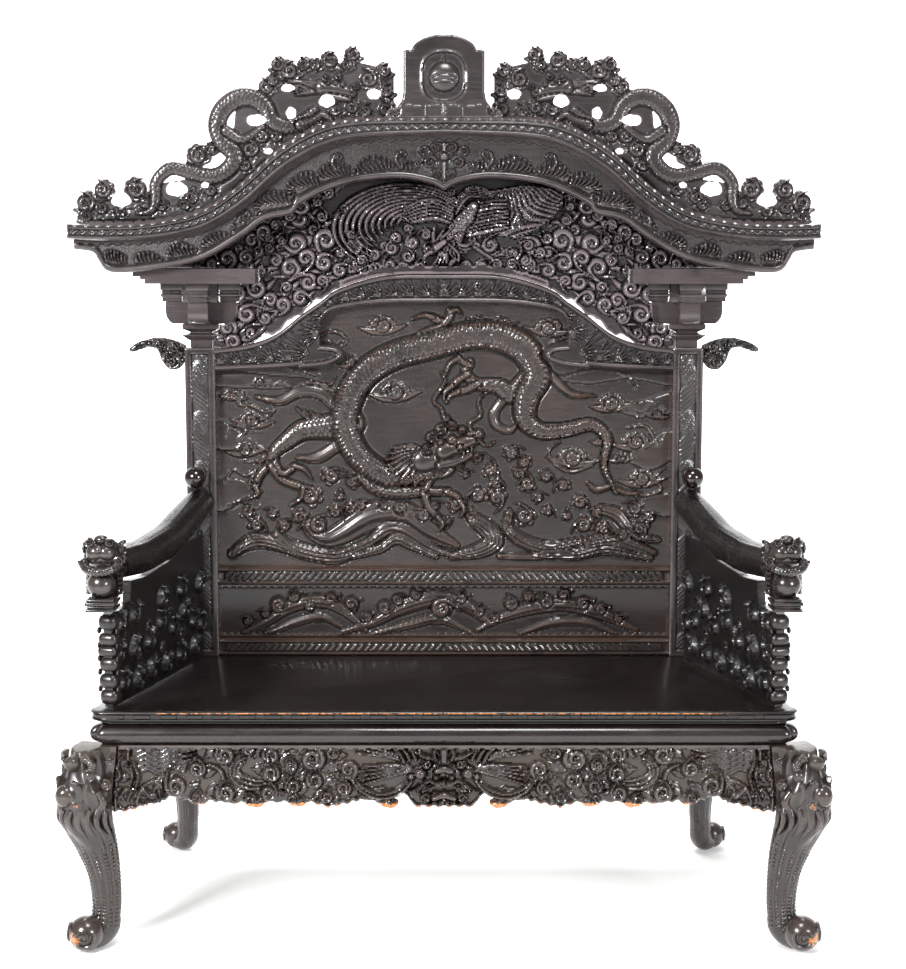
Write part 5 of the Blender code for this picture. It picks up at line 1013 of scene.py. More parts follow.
def makeRoofEdge(side, label):
    # bead, sunk channel with small repeated motifs, bead, and scallops above
    back = roof["front"] + roof["edgeDeep"]
    levels = 330
    xs = np.linspace(0.00015, roof["half"], levels)
    lows, tops = roofZ(roofLow, xs), roofZ(roofTop, xs)
    run = runLength(np.column_stack((xs, tops)))
    t = np.linspace(0, 1, 27)
    rings = []
    for x, a, b, s in zip(xs, lows, tops, run):
        motif = abs(math.sin(s * math.pi / 0.019)) ** 0.5
        slant = (s / 0.019) % 1
        face = 0.0058 * ridge(t, 0.16, 0.13)
        face += 0.0058 * ridge(t, 0.76, 0.10)
        channel = np.clip((0.62 - np.abs(t - 0.46) * 3.4), 0, 1)
        curlHere = ridge(t - 0.46, 0.10 * math.sin(slant * 2 * math.pi), 0.11)
        face += 0.0035 * curlHere * motif * (channel > 0)
        face = np.where(t > 0.88, 0.0035 * (0.4 + 0.6 * abs(math.sin(s * math.pi / 0.022))), face)
        z = a + (b - a) * t
        y = np.maximum(roof["front"] + 0.0058 - face, roof["front"])
        front = [(x, yy, zz) for yy, zz in zip(y, z)]
        rings.append([(x, back, a)] + front + [(x, back, b)])
    bm = loft(rings)
    finishPiece("roof_edge_carved_" + label, bm, "canopy", ["roof_edge_" + label], side=side)


phoenix = dict(
    cell=0.0025, height=0.024,
    clouds=((300, 216, 8, 1), (314, 227, 8, -1), (296, 241, 10, 1), (326, 238, 9, -1), (257, 248, 8, 1),
            (324, 260, 9, 1),
            (244, 265, 7, -1), (276, 258, 8, -1), (256, 286, 9, 1), (290, 266, 8, 1), (270, 298, 9, -1),
            (246, 312, 9, 1),
            (282, 303, 6, 1), (250, 331, 7, -1), (227, 326, 9, 1), (308, 280, 7, -1), (286, 285, 7, -1),
            (236, 292, 8, -1),
            (228, 306, 7, 1), (262, 268, 6, 1), (322, 279, 6, 1), (306, 256, 7, 1), (340, 250, 8, -1),
            (340, 268, 7, 1),
            (356, 244, 7, 1), (358, 262, 7, -1), (374, 252, 6, 1), (376, 266, 5, 1), (338, 214, 6, 1),
            (264, 316, 6, 1),
            (232, 340, 6, -1), (282, 238, 6, -1), (270, 246, 5, 1), (300, 296, 6, 1), (196, 267, 6, 1),
            (212, 262, 7, -1),
            (227, 257, 7, 1), (238, 247, 6, -1), (252, 238, 7, 1), (264, 230, 6, -1), (276, 223, 7, 1),
            (290, 213, 6, -1),
            (302, 204, 7, 1), (316, 197, 6, -1), (328, 190, 6, 1), (246, 255, 6, 1), (270, 236, 6, 1),
            (220, 268, 5, 1)),
    wing=dict(roots=((468, 208), (474, 236)), tips=((500, 188), (526, 184), (549, 187), (562, 194), (560, 206),
                                                    (549, 217), (536, 227), (518, 236)),
              coverts=(((464, 212), (478, 206), (492, 203), (506, 202)),
                       ((466, 221), (480, 217), (494, 214), (508, 212)),
                       ((468, 230), (482, 227), (496, 224), (508, 222)))),
)


def makePhoenixPanel(p=phoenix):
    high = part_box("panel_phoenix")[1]
    sheet = DrawingSheet(222, 0.4545, 340, 1.121, 190, 1.426)
    reach = high.x + 0.02
    c = Carving(-reach, reach, 1.088, high.z + 0.004, p["cell"], sheet)
    x, z = np.abs(c.x), c.z
    top = roofZ(roofLow, c.x) - roof["clear"] - z
    arch = z - heightAt(archTop, c.x) - 0.0004
    height = p["height"]
    c.twin = True
    for cx, cz, r, turn in p["clouds"]:
        c.stroke(((cx - 2.2 * r, cz + r * 1.1), (cx - 0.4 * r, cz + r * 0.9), (cx + r * 1.2, cz - 0.2 * r),
                  (cx + 2.2 * r, cz - 1.1 * r)),
                 (1.2, r * 0.42, r * 0.46, 1.2), height * 0.40, strandSkin(1, 0.0018), groove=0.003)
    for number, (cx, cz, r, turn) in enumerate(p["clouds"]):
        c.hook((cx, cz), r * (1.35, 0.85, 1.1)[number % 3], height * 0.62, turn, 0.8 * cx, tail=2.1, thick=0.34)
    c.twin = False
    covert = scaleSkin(0.0072, 2, 0.0048)

    def feather(line, width, share, over=0.007, groove=0.003, skin=None):
        c.stroke(line, width, height * share, skin, over=over, groove=groove)

    tips = smoothPath(p["wing"]["tips"], 6)[::-1]  # long thin feathers, the hindmost first
    roots = np.linspace(p["wing"]["roots"][1], p["wing"]["roots"][0], len(tips))
    for root, tip in zip(roots, tips):
        middle = root * 0.5 + tip * 0.5 - np.array((0, 5.0))
        feather((root, middle, tip), (1.5, 2.2, 2.3, 0.9), 0.62, 0.005, 0.0042, ribSkin(0.0046, 0.0014, 1.0))
    for shoulder in p["wing"]["coverts"]:
        for shift in (-3.2, 0, 3.2):
            feather([(a, b + shift) for a, b in shoulder], (2.4, 3.0, 2.8, 1.4), 0.74 - 0.015 * shift, 0.006, 0.004,
                    covert)
    for number in range(11):  # the other wing sweeps round in a swirl
        angles = np.linspace(0.35 + 0.05 * number, 4.3 - 0.10 * number, 12)
        wide, tall = 70 - 5.2 * number, 43 - 3.4 * number
        path = [(404 + 1.2 * number + wide * math.cos(a), 226 - 0.4 * number - tall * math.sin(a)) for a in angles]
        feather(path, (1.2, 2.4, 2.5, 2.1, 0.9), 0.55 + 0.012 * number, 0.005, 0.0045, ribSkin(0.0050, 0.0016, 1.0))
    for number in range(6):
        feather(((452, 206 + 3 * number), (436, 199 + 3.4 * number), (420, 200 + 3.6 * number),
                 (404, 207 + 3 * number)),
                (2.2, 3.0, 2.6, 1.0), 0.76, 0.006, 0.004, covert)
    for number in range(7):  # curled tail fronds
        feather(((470, 236 + number), (484 + number, 246 + 1.5 * number), (500, 250 + 2 * number),
                 (512 + number, 244 + 3 * number)),
                (1.6, 2, 1.8, 0.8), 0.5, 0.003)
    for cx, cz, r, turn in ((420, 264, 6, 1), (404, 265, 6, -1), (389, 263, 7, 1), (373, 266, 5, -1),
                            (436, 266, 5, 1), (362, 258, 6, 1),
                          (466, 264, 6, -1), (482, 263, 6, 1), (497, 262, 6, -1), (512, 262, 6, 1),
                          (526, 258, 6, -1), (540, 250, 6, 1),
                          (452, 190, 4, 1), (412, 240, 7, 1), (396, 236, 6, -1), (426, 232, 6, -1), (408, 226, 5, 1),
                          (384, 244, 5, 1),
                          (428, 247, 5, 1), (318, 200, 5, 1), (322, 214, 6, -1), (570, 204, 5, 1), (566, 218, 6, -1),
                          (344, 206, 5, 1), (352, 232, 5, -1), (547, 236, 6, 1), (528, 243, 6, -1)):
        c.hook((cx, cz), r, height * 0.58, turn, 0.8 * cx, tail=1.8, thick=0.34, over=0.002)
    c.hook((490, 243), 8, height * 0.66, 1, 2.8, over=0.004)
    c.hook((408, 254), 7, height * 0.60, -1, 0.4, over=0.003)
    c.hook((392, 246), 7, height * 0.60, 1, 2.6, over=0.003)
    for number in range(5):  # the plume that curls over the back
        feather(((456, 212), (459 + number, 196 + number), (470, 186 + 2 * number), (484 - number, 187 + 2 * number),
                 (493 - 2 * number, 195)), (1.4, 2, 2, 1.8, 1), 0.66, 0.006)
    feather(((474, 204), (468, 214), (458, 226), (454, 240), (458, 252), (450, 262)), (5, 8, 9, 8, 5, 2), 0.84,
            0.007, 0.004,
            scaleSkin(0.0078, 4, 0.0045))
    for number in range(12):  # ruff of pointed feathers round the breast
        angle = 2.2 + 0.32 * number
        feather([(455 + wide * math.cos(angle + bend), 240 - tall * math.sin(angle + bend))
                 for wide, tall, bend in ((4, 4, 0), (11, 11, 0.2), (17, 16, 0.5))], (2.4, 2.6, 0.9), 0.86)
    for number in range(9):  # hackles round the neck
        feather(((444, 238), (450 + number, 232 + 2.4 * number), (458, 238 + 3 * number)), (1.6, 2.2, 0.9), 0.86)
    for tip in ((435, 223), (445, 226), (453, 225), (461, 230)):  # comb
        feather(((436, 246), ((436 + tip[0]) / 2 - 2, (246 + tip[1]) / 2), tip), (2.4, 2.2, 0.9), 0.9)
    feather(((444, 240), (437, 245), (431, 250)), (4, 4.4, 3), 0.95, groove=0.004)  # head and beak
    feather(((433, 249), (427, 252), (424, 257), (425, 261)), (2.6, 2.2, 1.6, 0.6), 0.95)
    for number in range(4):  # wattles
        feather(((440 + 2 * number, 250), (438 + 3 * number, 256), (434 + 4 * number, 262)), (1.6, 2.0, 0.8), 0.9,
                0.006)
    c.dome((433, 247), 1.7, height * 1.12, over=0.004)
    c.h = np.clip(c.h, -0.006, 0.0285)
    wavy = 0.0048 + 0.0044 * np.cos(x * 118) + 0.0015 * np.cos(x * 310)
    # lobed over the arch's flanks
    lift = arch - wavy * np.clip((x - 0.22) / 0.04, 0, 1) * np.clip((0.405 - x) / 0.03, 0, 1)
    # how far out the panel may go beside post, capital, bracket, block and beam: height, limit
    beside = ((1.080, 0.4780), (1.1080, 0.4780), (1.1083, 0.4790), (1.1230, 0.4790), (1.1255, 0.4745),
              (1.1290, 0.4700),
              (1.1315, 0.4650), (1.1350, 0.4650), (1.1372, 0.4745), (1.1410, 0.4788), (1.1430, 0.4740),
              (1.1460, 0.4665),
              (1.1480, 0.4640), (1.1574, 0.4640), (1.1576, 0.4420), (1.1620, 0.4360), (1.1700, 0.4305),
              (1.1820, 0.4283),
              (1.2026, 0.4283), (1.2028, 0.4215), (1.2120, 0.4215), (1.2160, 0.4183), (1.2190, 0.4215),
              (1.2220, 0.4190),
              (1.2260, 0.4215), (1.2270, 0.4183), (1.2408, 0.4183), (1.2410, 0.3797), (1.2714, 0.3797),
              (1.2716, high.x + 0.006))
    ledge = (x < 0.215) & (arch < 0.016)  # plain dusty ledge over the arch
    c.h = np.where(ledge, 0.012, c.h)
    distance = np.minimum(np.minimum(top, lift), np.interp(z, *np.array(beside).T) - 0.001 - x)
    c.h *= np.clip((top - 0.004) / 0.012, 0, 1)
    bm = carvedBoard(c, distance, 0.180, 0.198)
    # the gable finish paints highlight on the raised edges and shade in the hollows
    finishPiece("panel_phoenix_carved", bm, "gable", ["panel_phoenix"])


makeBargeboard()
for side, label in sides:
    makeRoofEdge(side, label)
makePhoenixPanel()
print("gable carved")


# Crest and finial

crest = dict(
    cell=0.0025, height=0.0118,
    body=((136, 211), (149, 208), (154, 196), (154, 181), (162, 170), (173, 165), (193, 170), (213, 173), (228, 165),
          (234, 152),
          (222, 138), (217, 122), (223, 106), (238, 95), (254, 95), (266, 104), (272, 117), (285, 123), (302, 119),
          (314, 109)),
    breadth=(2, 4, 5.5, 6, 6.5, 7, 7.5, 8, 8.5, 9, 9.5, 9.5, 9.5, 9.5, 9, 8.5, 8, 8, 7.5, 6),
    scrolls=((84, 200, 10, -1), (101, 187, 9, -1), (84, 214, 7, 1), (136, 186, 10, 1), (144, 200, 7, -1),
             (100, 205, 7, 1),
             (198, 152, 9, 1), (209, 146, 6, -1), (234, 146, 8, 1), (266, 84, 8, -1), (290, 68, 9, 1),
             (304, 62, 7, -1),
             (331, 58, 8, 1), (354, 52, 7, 1), (347, 62, 6, -1), (369, 76, 9, -1), (385, 68, 7, 1), (387, 88, 7, 1),
             (386, 106, 8, -1), (336, 107, 7, 1), (352, 104, 7, -1), (366, 108, 7, 1), (250, 146, 9, -1),
             (262, 133, 8, 1),
             (276, 133, 7, -1), (300, 134, 6, 1), (318, 119, 6, 1), (245, 162, 7, 1), (210, 187, 7, 1),
             (190, 194, 8, -1),
             (184, 202, 6, 1), (160, 203, 6, -1), (119, 209, 6, 1), (278, 62, 7, -1), (316, 62, 6, 1),
             (274, 78, 6, 1)),
    holes=((119, 197, 10, 7), (175, 186, 11, 7), (214, 160, 5, 4), (256, 117, 10, 5.5), (291, 110, 5, 6),
           (288, 85, 7, 3.5),
           (327, 98, 8, 6), (374, 91, 7, 5), (204, 182, 4, 3), (268, 148, 4, 3)),
    foot=((84, 212), (140, 211), (180, 207), (215, 192), (245, 165), (275, 142), (310, 126), (350, 119), (394, 116)),
    web=((78, 228), (92, 196), (140, 192), (160, 180), (200, 174), (226, 164), (232, 140), (236, 102), (262, 84),
         (290, 72),
         (330, 62), (352, 58), (388, 66), (394, 70), (394, 132), (350, 136), (310, 146), (275, 164), (245, 190),
         (215, 212),
         (180, 224), (140, 228)),
)


def makeCrest(label, side, p=crest):
    half, inner = roof["half"], 0.070
    sheet = DrawingSheet(369, 0.7335, 207, roof["peak"] - 0.177, 50, roof["peak"] + 0.131)
    c = Carving(-half, -inner, roof["peak"] - 0.23, roof["peak"] + 0.155, p["cell"], sheet)
    height = p["height"]
    c.stroke(p["foot"], 5.5, height * 0.35, soft=0.2)
    for x, z, r, turn in p["scrolls"]:
        c.stroke(((x - r * 1.2, z + r * 0.7), (x, z + r * 0.9), (x + r * 1.3, z + r * 0.5)), (2, r * 0.45, 2),
                 height * 0.45, groove=0.001)
    for x, z, r, turn in p["scrolls"]:  # each on an almond with a pointed end
        for lobe in range(5):
            angle = 0.5 * math.pi + turn * (0.3 + 0.72 * lobe)
            c.dome((x + 0.92 * r * math.cos(angle), z - 0.85 * r * math.sin(angle)), r * 0.50, height * 0.62,
                   groove=0.001)
        c.hook((x, z), r, height * 0.80, turn, 2.6 if turn > 0 else 0.5, tail=1.5, thick=0.28, turns=1.5)
    c.stroke(p["body"], p["breadth"], height, scaleSkin(0.0095, 5, 0.0022, belly=1, beads=-1), over=0.0,
             groove=0.003, soft=0.42)
    for line, width in ((((226, 128), (240, 136), (252, 132), (262, 124)), (6, 5, 4.5, 4)),
                        (((300, 122), (312, 118), (322, 112), (330, 116)), (6, 5, 4, 3))):
        c.stroke(line, width, height * 0.85, scaleSkin(0.009, 3, 0.0018), over=0, groove=0.002)
    for step in range(7):  # mane swept back from the head
        c.stroke(((330, 82 + step), (308, 80 + step * 1.6), (284 + step * 2, 77 + step * 2.6)), (2.5, 3, 1),
                 height * 0.8, over=0, groove=0.0015)
    c.stroke(((322, 84), (338, 86), (352, 90)), (8, 7, 5), height * 0.9, over=0.0, groove=0.002)
    c.stroke(((326, 92), (340, 95), (350, 97)), (3, 3.5, 2.5), height * 0.85, over=0, groove=0.001)
    for place, r in (((352, 87), 3.6), ((336, 80), 3.2), ((343, 82), 3), ((328, 80), 3)):
        c.dome(place, r, height, over=0, groove=0.001)
    for x, z, r, turn in ((326, 76, 4, 1), (338, 74, 4, -1), (357, 84, 4, 1)):
        c.scroll((x, z), r, height * 0.95, turn, 1)
    c.h = np.clip(c.h, 0.0, 0.0122)
    holes = np.full(c.x.shape, 9.0)
    for hx, hz, wide, tall in p["holes"]:
        (x, z), = sheet.at([(hx, hz)])
        away = np.hypot((c.x - x) / wide, (c.z - z) / tall) / sheet.step
        away += 0.06 * np.sin(5 * np.arctan2(c.z - z, c.x - x) + hx)
        holes = np.minimum(holes, (away - 1) * tall * sheet.step)
    web = insideOutline(c.x, c.z, sheet.at(p["web"]))
    cover = np.minimum(np.maximum(c.cover, web), holes)
    distance = np.minimum(cover, c.z - roofZ(roofTop, c.x) - roof["close"])
    distance = np.minimum(distance, np.minimum(-inner - c.x, c.x + half))
    over = c.z - roofZ(roofTop, c.x) - roof["close"]
    c.h = np.where(over < 0.006 + 0.003 * np.abs(np.sin(c.x * math.pi / 0.02)), 0.008, c.h)
    bm = carvedBoard(c, distance, 0.094, 0.106, both=True)
    finishPiece("crest_carved_" + label, bm, "canopy", ["crest_" + label], side=-side)


def makeFinial():
    low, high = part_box("finial")
    base, half = high.x, 0.080
    foot, top = low.z, high.z
    shoulder = top - 0.034
    arc = [(half * 0.80 * math.cos(a), shoulder + 0.034 * math.sin(a)) for a in np.linspace(0.10, math.pi - 0.10, 21)]
    right = [(base, foot), (base, foot + 0.010), (base - 0.008, foot + 0.018), (half + 0.012, foot + 0.022),
             (half + 0.003, foot + 0.034),
             (half, foot + 0.050), (half, shoulder + 0.002), (half - 0.010, shoulder + 0.006)]
    corners = right + arc + [(-x, z) for x, z in reversed(right)]
    c = Carving(-base, base, foot, top, 0.0021)
    distance = insideOutline(c.x, c.z, corners)
    distance = np.where(c.z < foot + 0.002, np.maximum(distance, 0.001), distance)
    dz = c.z - foot - 0.080
    spread = np.hypot(c.x / 0.045, dz / 0.051) + 0.05 * np.cos(4 * np.arctan2(dz, c.x))
    rim = np.exp(-((spread - 1.0) / 0.075) ** 2)
    c.h = 0.005 * np.clip((spread - 0.94) / 0.06, 0, 1) + 0.0016 * rim
    jewel = np.hypot(c.x / 0.030, dz / 0.030)
    fruit = 0.0130 * ridge(jewel, 0, 1)
    for lift, bend in ((0.006, 0.010), (-0.005, 0.004)):  # two sunk lips across the jewel
        fruit -= 0.0026 * np.exp(-((dz - lift + bend * (c.x / 0.028) ** 2) / 0.0020) ** 2) * (jewel < 0.86)
    c.h = np.where(jewel < 1, fruit, c.h)
    c.stroke([(0, foot + 0.112), (0, foot + 0.121)], [0.004, 0.0012], 0.006)
    c.stroke([(0, foot + 0.026), (0, foot + 0.010)], [0.0035, 0.006], 0.0075)
    for sideX in (-1, 1):
        c.stroke([(sideX * 0.034, foot + 0.024), (sideX * 0.034, foot + 0.004)], 0.0028, 0.0075)
        c.scroll((sideX * (base - 0.020), foot + 0.014), 0.010, 0.006, sideX, 0)
        c.stroke([(0, foot + 0.020), (sideX * 0.014, foot + 0.026), (sideX * 0.040, foot + 0.022),
                  (sideX * 0.075, foot + 0.026)], 0.0018, 0.0068)
    c.h *= np.clip(distance / 0.003, 0, 1) ** 0.5
    bm = carvedBoard(c, distance, 0.050, 0.076)
    finishPiece("finial_carved", bm, "canopy", ["finial"])


for side, label in sides:
    makeCrest(label, side)
makeFinial()
print("crest carved")


# Seat and the moulding under it

seat = dict(top=0.460, under=0.440, front=0.661, back=0.575, deep=0.300, notch=0.014, dash=0.029, pitch=0.049,
            pearls=0.046, levels=((0.4400, 0.0040), (0.4412, 0.0016), (0.4440, 0.0006), (0.4446, 0.0034),
                                  (0.4456, 0.0038),
                                  (0.4462, 0.0026), (0.4464, 0.0024), (0.4522, 0.0024), (0.4524, 0.0026),
                                  (0.4532, 0.0038),
                                  (0.4540, 0.0014), (0.4558, 0.0002), (0.4576, 0.0008), (0.4592, 0.0026),
                                  (0.4600, 0.0056)))


def seatPlan(inset, stops=()):
    # half outline of the seat from the middle of the front to the middle of the back; stops are shares of the front
    slope = (seat["back"] - seat["front"]) / (2 * seat["deep"])
    front, back = -seat["deep"] + inset, seat["deep"] - inset
    right = seat["front"] + slope * inset - inset
    n = seat["notch"]
    turns = np.linspace(0, math.pi / 2, 9)
    half = [(0, front)] + [(stop * (right - 2 * n), front) for stop in stops]
    half += [(right - 2 * n * (1 - math.sin(a)), front + 2 * n * (1 - math.cos(a))) for a in turns]
    rear = seat["back"] - slope * inset - inset
    side = [(right + slope * (y - front), y) for y in np.linspace(front + 3 * n, back - 0.01, 12)]
    return half + side + [(rear - 0.002, back), (0, back)]


def makeSeat(p=seat):
    stops = []
    for step in range(13):
        middle = (step + 0.5) * p["pitch"]
        stops += [middle - p["dash"] / 2 - 0.0012, middle - p["dash"] / 2, middle + p["dash"] / 2,
                  middle + p["dash"] / 2 + 0.0012]
    stops = [stop / (p["front"] - 2 * p["notch"]) for stop in stops if stop < 0.625]
    rings = []
    for z, inset in p["levels"]:
        half = seatPlan(inset, stops)
        if 0.4463 < z < 0.4523:  # the raised dashes
            for number in range(1, 1 + len(stops)):
                if number % 4 in (2, 3):
                    half[number] = (half[number][0], half[number][1] - 0.0019)
        rings.append([(x, y, z) for x, y in half + [(-x, y) for x, y in half[-2:0:-1]]])
    bodies = [loft(rings)]
    for step in range(14):  # three small pearls at each step along the front
        for side in (-1, 1):
            for shift, size in ((-0.0045, 0.0016), (0, 0.0022), (0.0045, 0.0016)):
                x = side * (step + 0.5) * p["pearls"] + shift
                if abs(x) < 0.62:
                    bodies.append(ball((x, -0.2885, p["top"] - 0.0002), size, (1.1, 1, 0.62), 8))
    bm = joinBodies(bodies)

    def bare(places):
        near = np.clip(1 - np.abs(places[:, 2] - 0.4562) / 0.003, 0, 1) * (places[:, 1] < -0.297)
        return near * np.clip((0.60 - np.abs(places[:, 0])) / 0.08, 0, 1)

    return finishPiece("seat_plank_moulded", bm, "seat", ["seat_board"], smooth=32, bare=bare)


def makeWaist():
    # fillet, thin bead and fat round, each length with round ends at the corners
    top, low = 0.4397, 0.3952
    profile = [(top, 0.018), (0.4381, 0.018)]
    profile += [(0.4350 + 0.0030 * math.cos(a), 0.0165 - 0.0036 * math.sin(a)) for a in np.linspace(0.1, 3.04, 7)]
    profile += [(0.4306, 0.0185)]
    turns = np.linspace(0.05, math.pi - 0.05, 15)
    profile += [(0.4128 + 0.0174 * math.cos(a), 0.0135 - 0.0155 * math.sin(a)) for a in turns]
    profile += [(low, 0.0185), (low, 0.064), (top, 0.064)]
    fat = range(10, 25)
    extra = (0.3, 0.6, 0.9, 0.965, 0.975, 0.983, 0.990, 0.996)
    plans = [np.array(seatPlan(inset, extra)) for z, inset in profile]
    base = np.array(seatPlan(0.0135, extra))
    corner = 1 + len(extra) + 4
    run = runLength(base)
    away = np.abs(run - run[corner])
    ring = []
    for number in range(len(base)):
        spots = []
        for row, (z, inset) in enumerate(profile):
            x, y = plans[row][number]
            if row in fat:
                full = math.sqrt(min(1, 1 - (1 - min(away[number] / 0.020, 1)) ** 2))
                x, y = base[number] + (np.array((x, y)) - base[number]) * (0.35 + 0.65 * full)
            spots.append((x, y, z))
        ring.append(spots)
    half = np.array(ring)
    mirrored = half[::-1] * np.array((-1, 1, 1))
    last = len(half) - 2
    runs = dict(front=np.concatenate([mirrored[-corner - 1:], half[1:corner + 1]]), right=half[corner:last + 1],
                back=np.concatenate([half[last:], mirrored[1:2]]))
    for label, rings in runs.items():
        rings = rings.copy()
        for end, inward in ((0, 1), (-1, -2)):
            way = rings[inward] - rings[end]
            rings[end] += way / np.linalg.norm(way, axis=1)[:, None] * 0.0003
        finishPiece("waist_moulded_" + label, loft(rings), "waist", ["waist_" + label], smooth=50)
        if label == "right":
            finishPiece("waist_moulded_left", loft(rings), "waist", ["waist_left"], side=-1, smooth=50)


makeSeat()
makeWaist()
print("seat and moulding made")


# Legs

legs = dict(
    tall=0.3949, out=0.032, half=0.051, slimmer=0.86, deep=0.352, side=0.7225, backSide=0.636, foot=0.034,
    # share of the height, how far out, breadth
    levels=((1.0, 0.52, 0.92), (0.93, 0.66, 0.96), (0.85, 0.86, 1.0), (0.76, 1.0, 1.0), (0.68, 0.96, 0.97),
            (0.60, 0.72, 0.87),
            (0.50, 0.42, 0.76), (0.40, 0.18, 0.65), (0.30, 0.04, 0.58), (0.21, 0.0, 0.55), (0.15, 0.05, 0.54)),
    toe=((0.10, 1.15, 0.84), (0.38, 0.80, 0.80), (0.72, 0.78, 0.80)),
    columns=13, pitch=0.0078,
)


def legFlank(heights, half):  # how far a leg's inner flank lies out of its shaft's middle line
    share, out, breadth = np.array(legs["levels"])[::-1].T
    return np.interp(heights, share * legs["tall"], out * legs["out"] - breadth * half)


def softLimit(value, limit, band=0.004):  # rounds a form off just before a limit
    over = value - limit + band
    return value if over < 0 else limit - band * math.exp(-over / band)


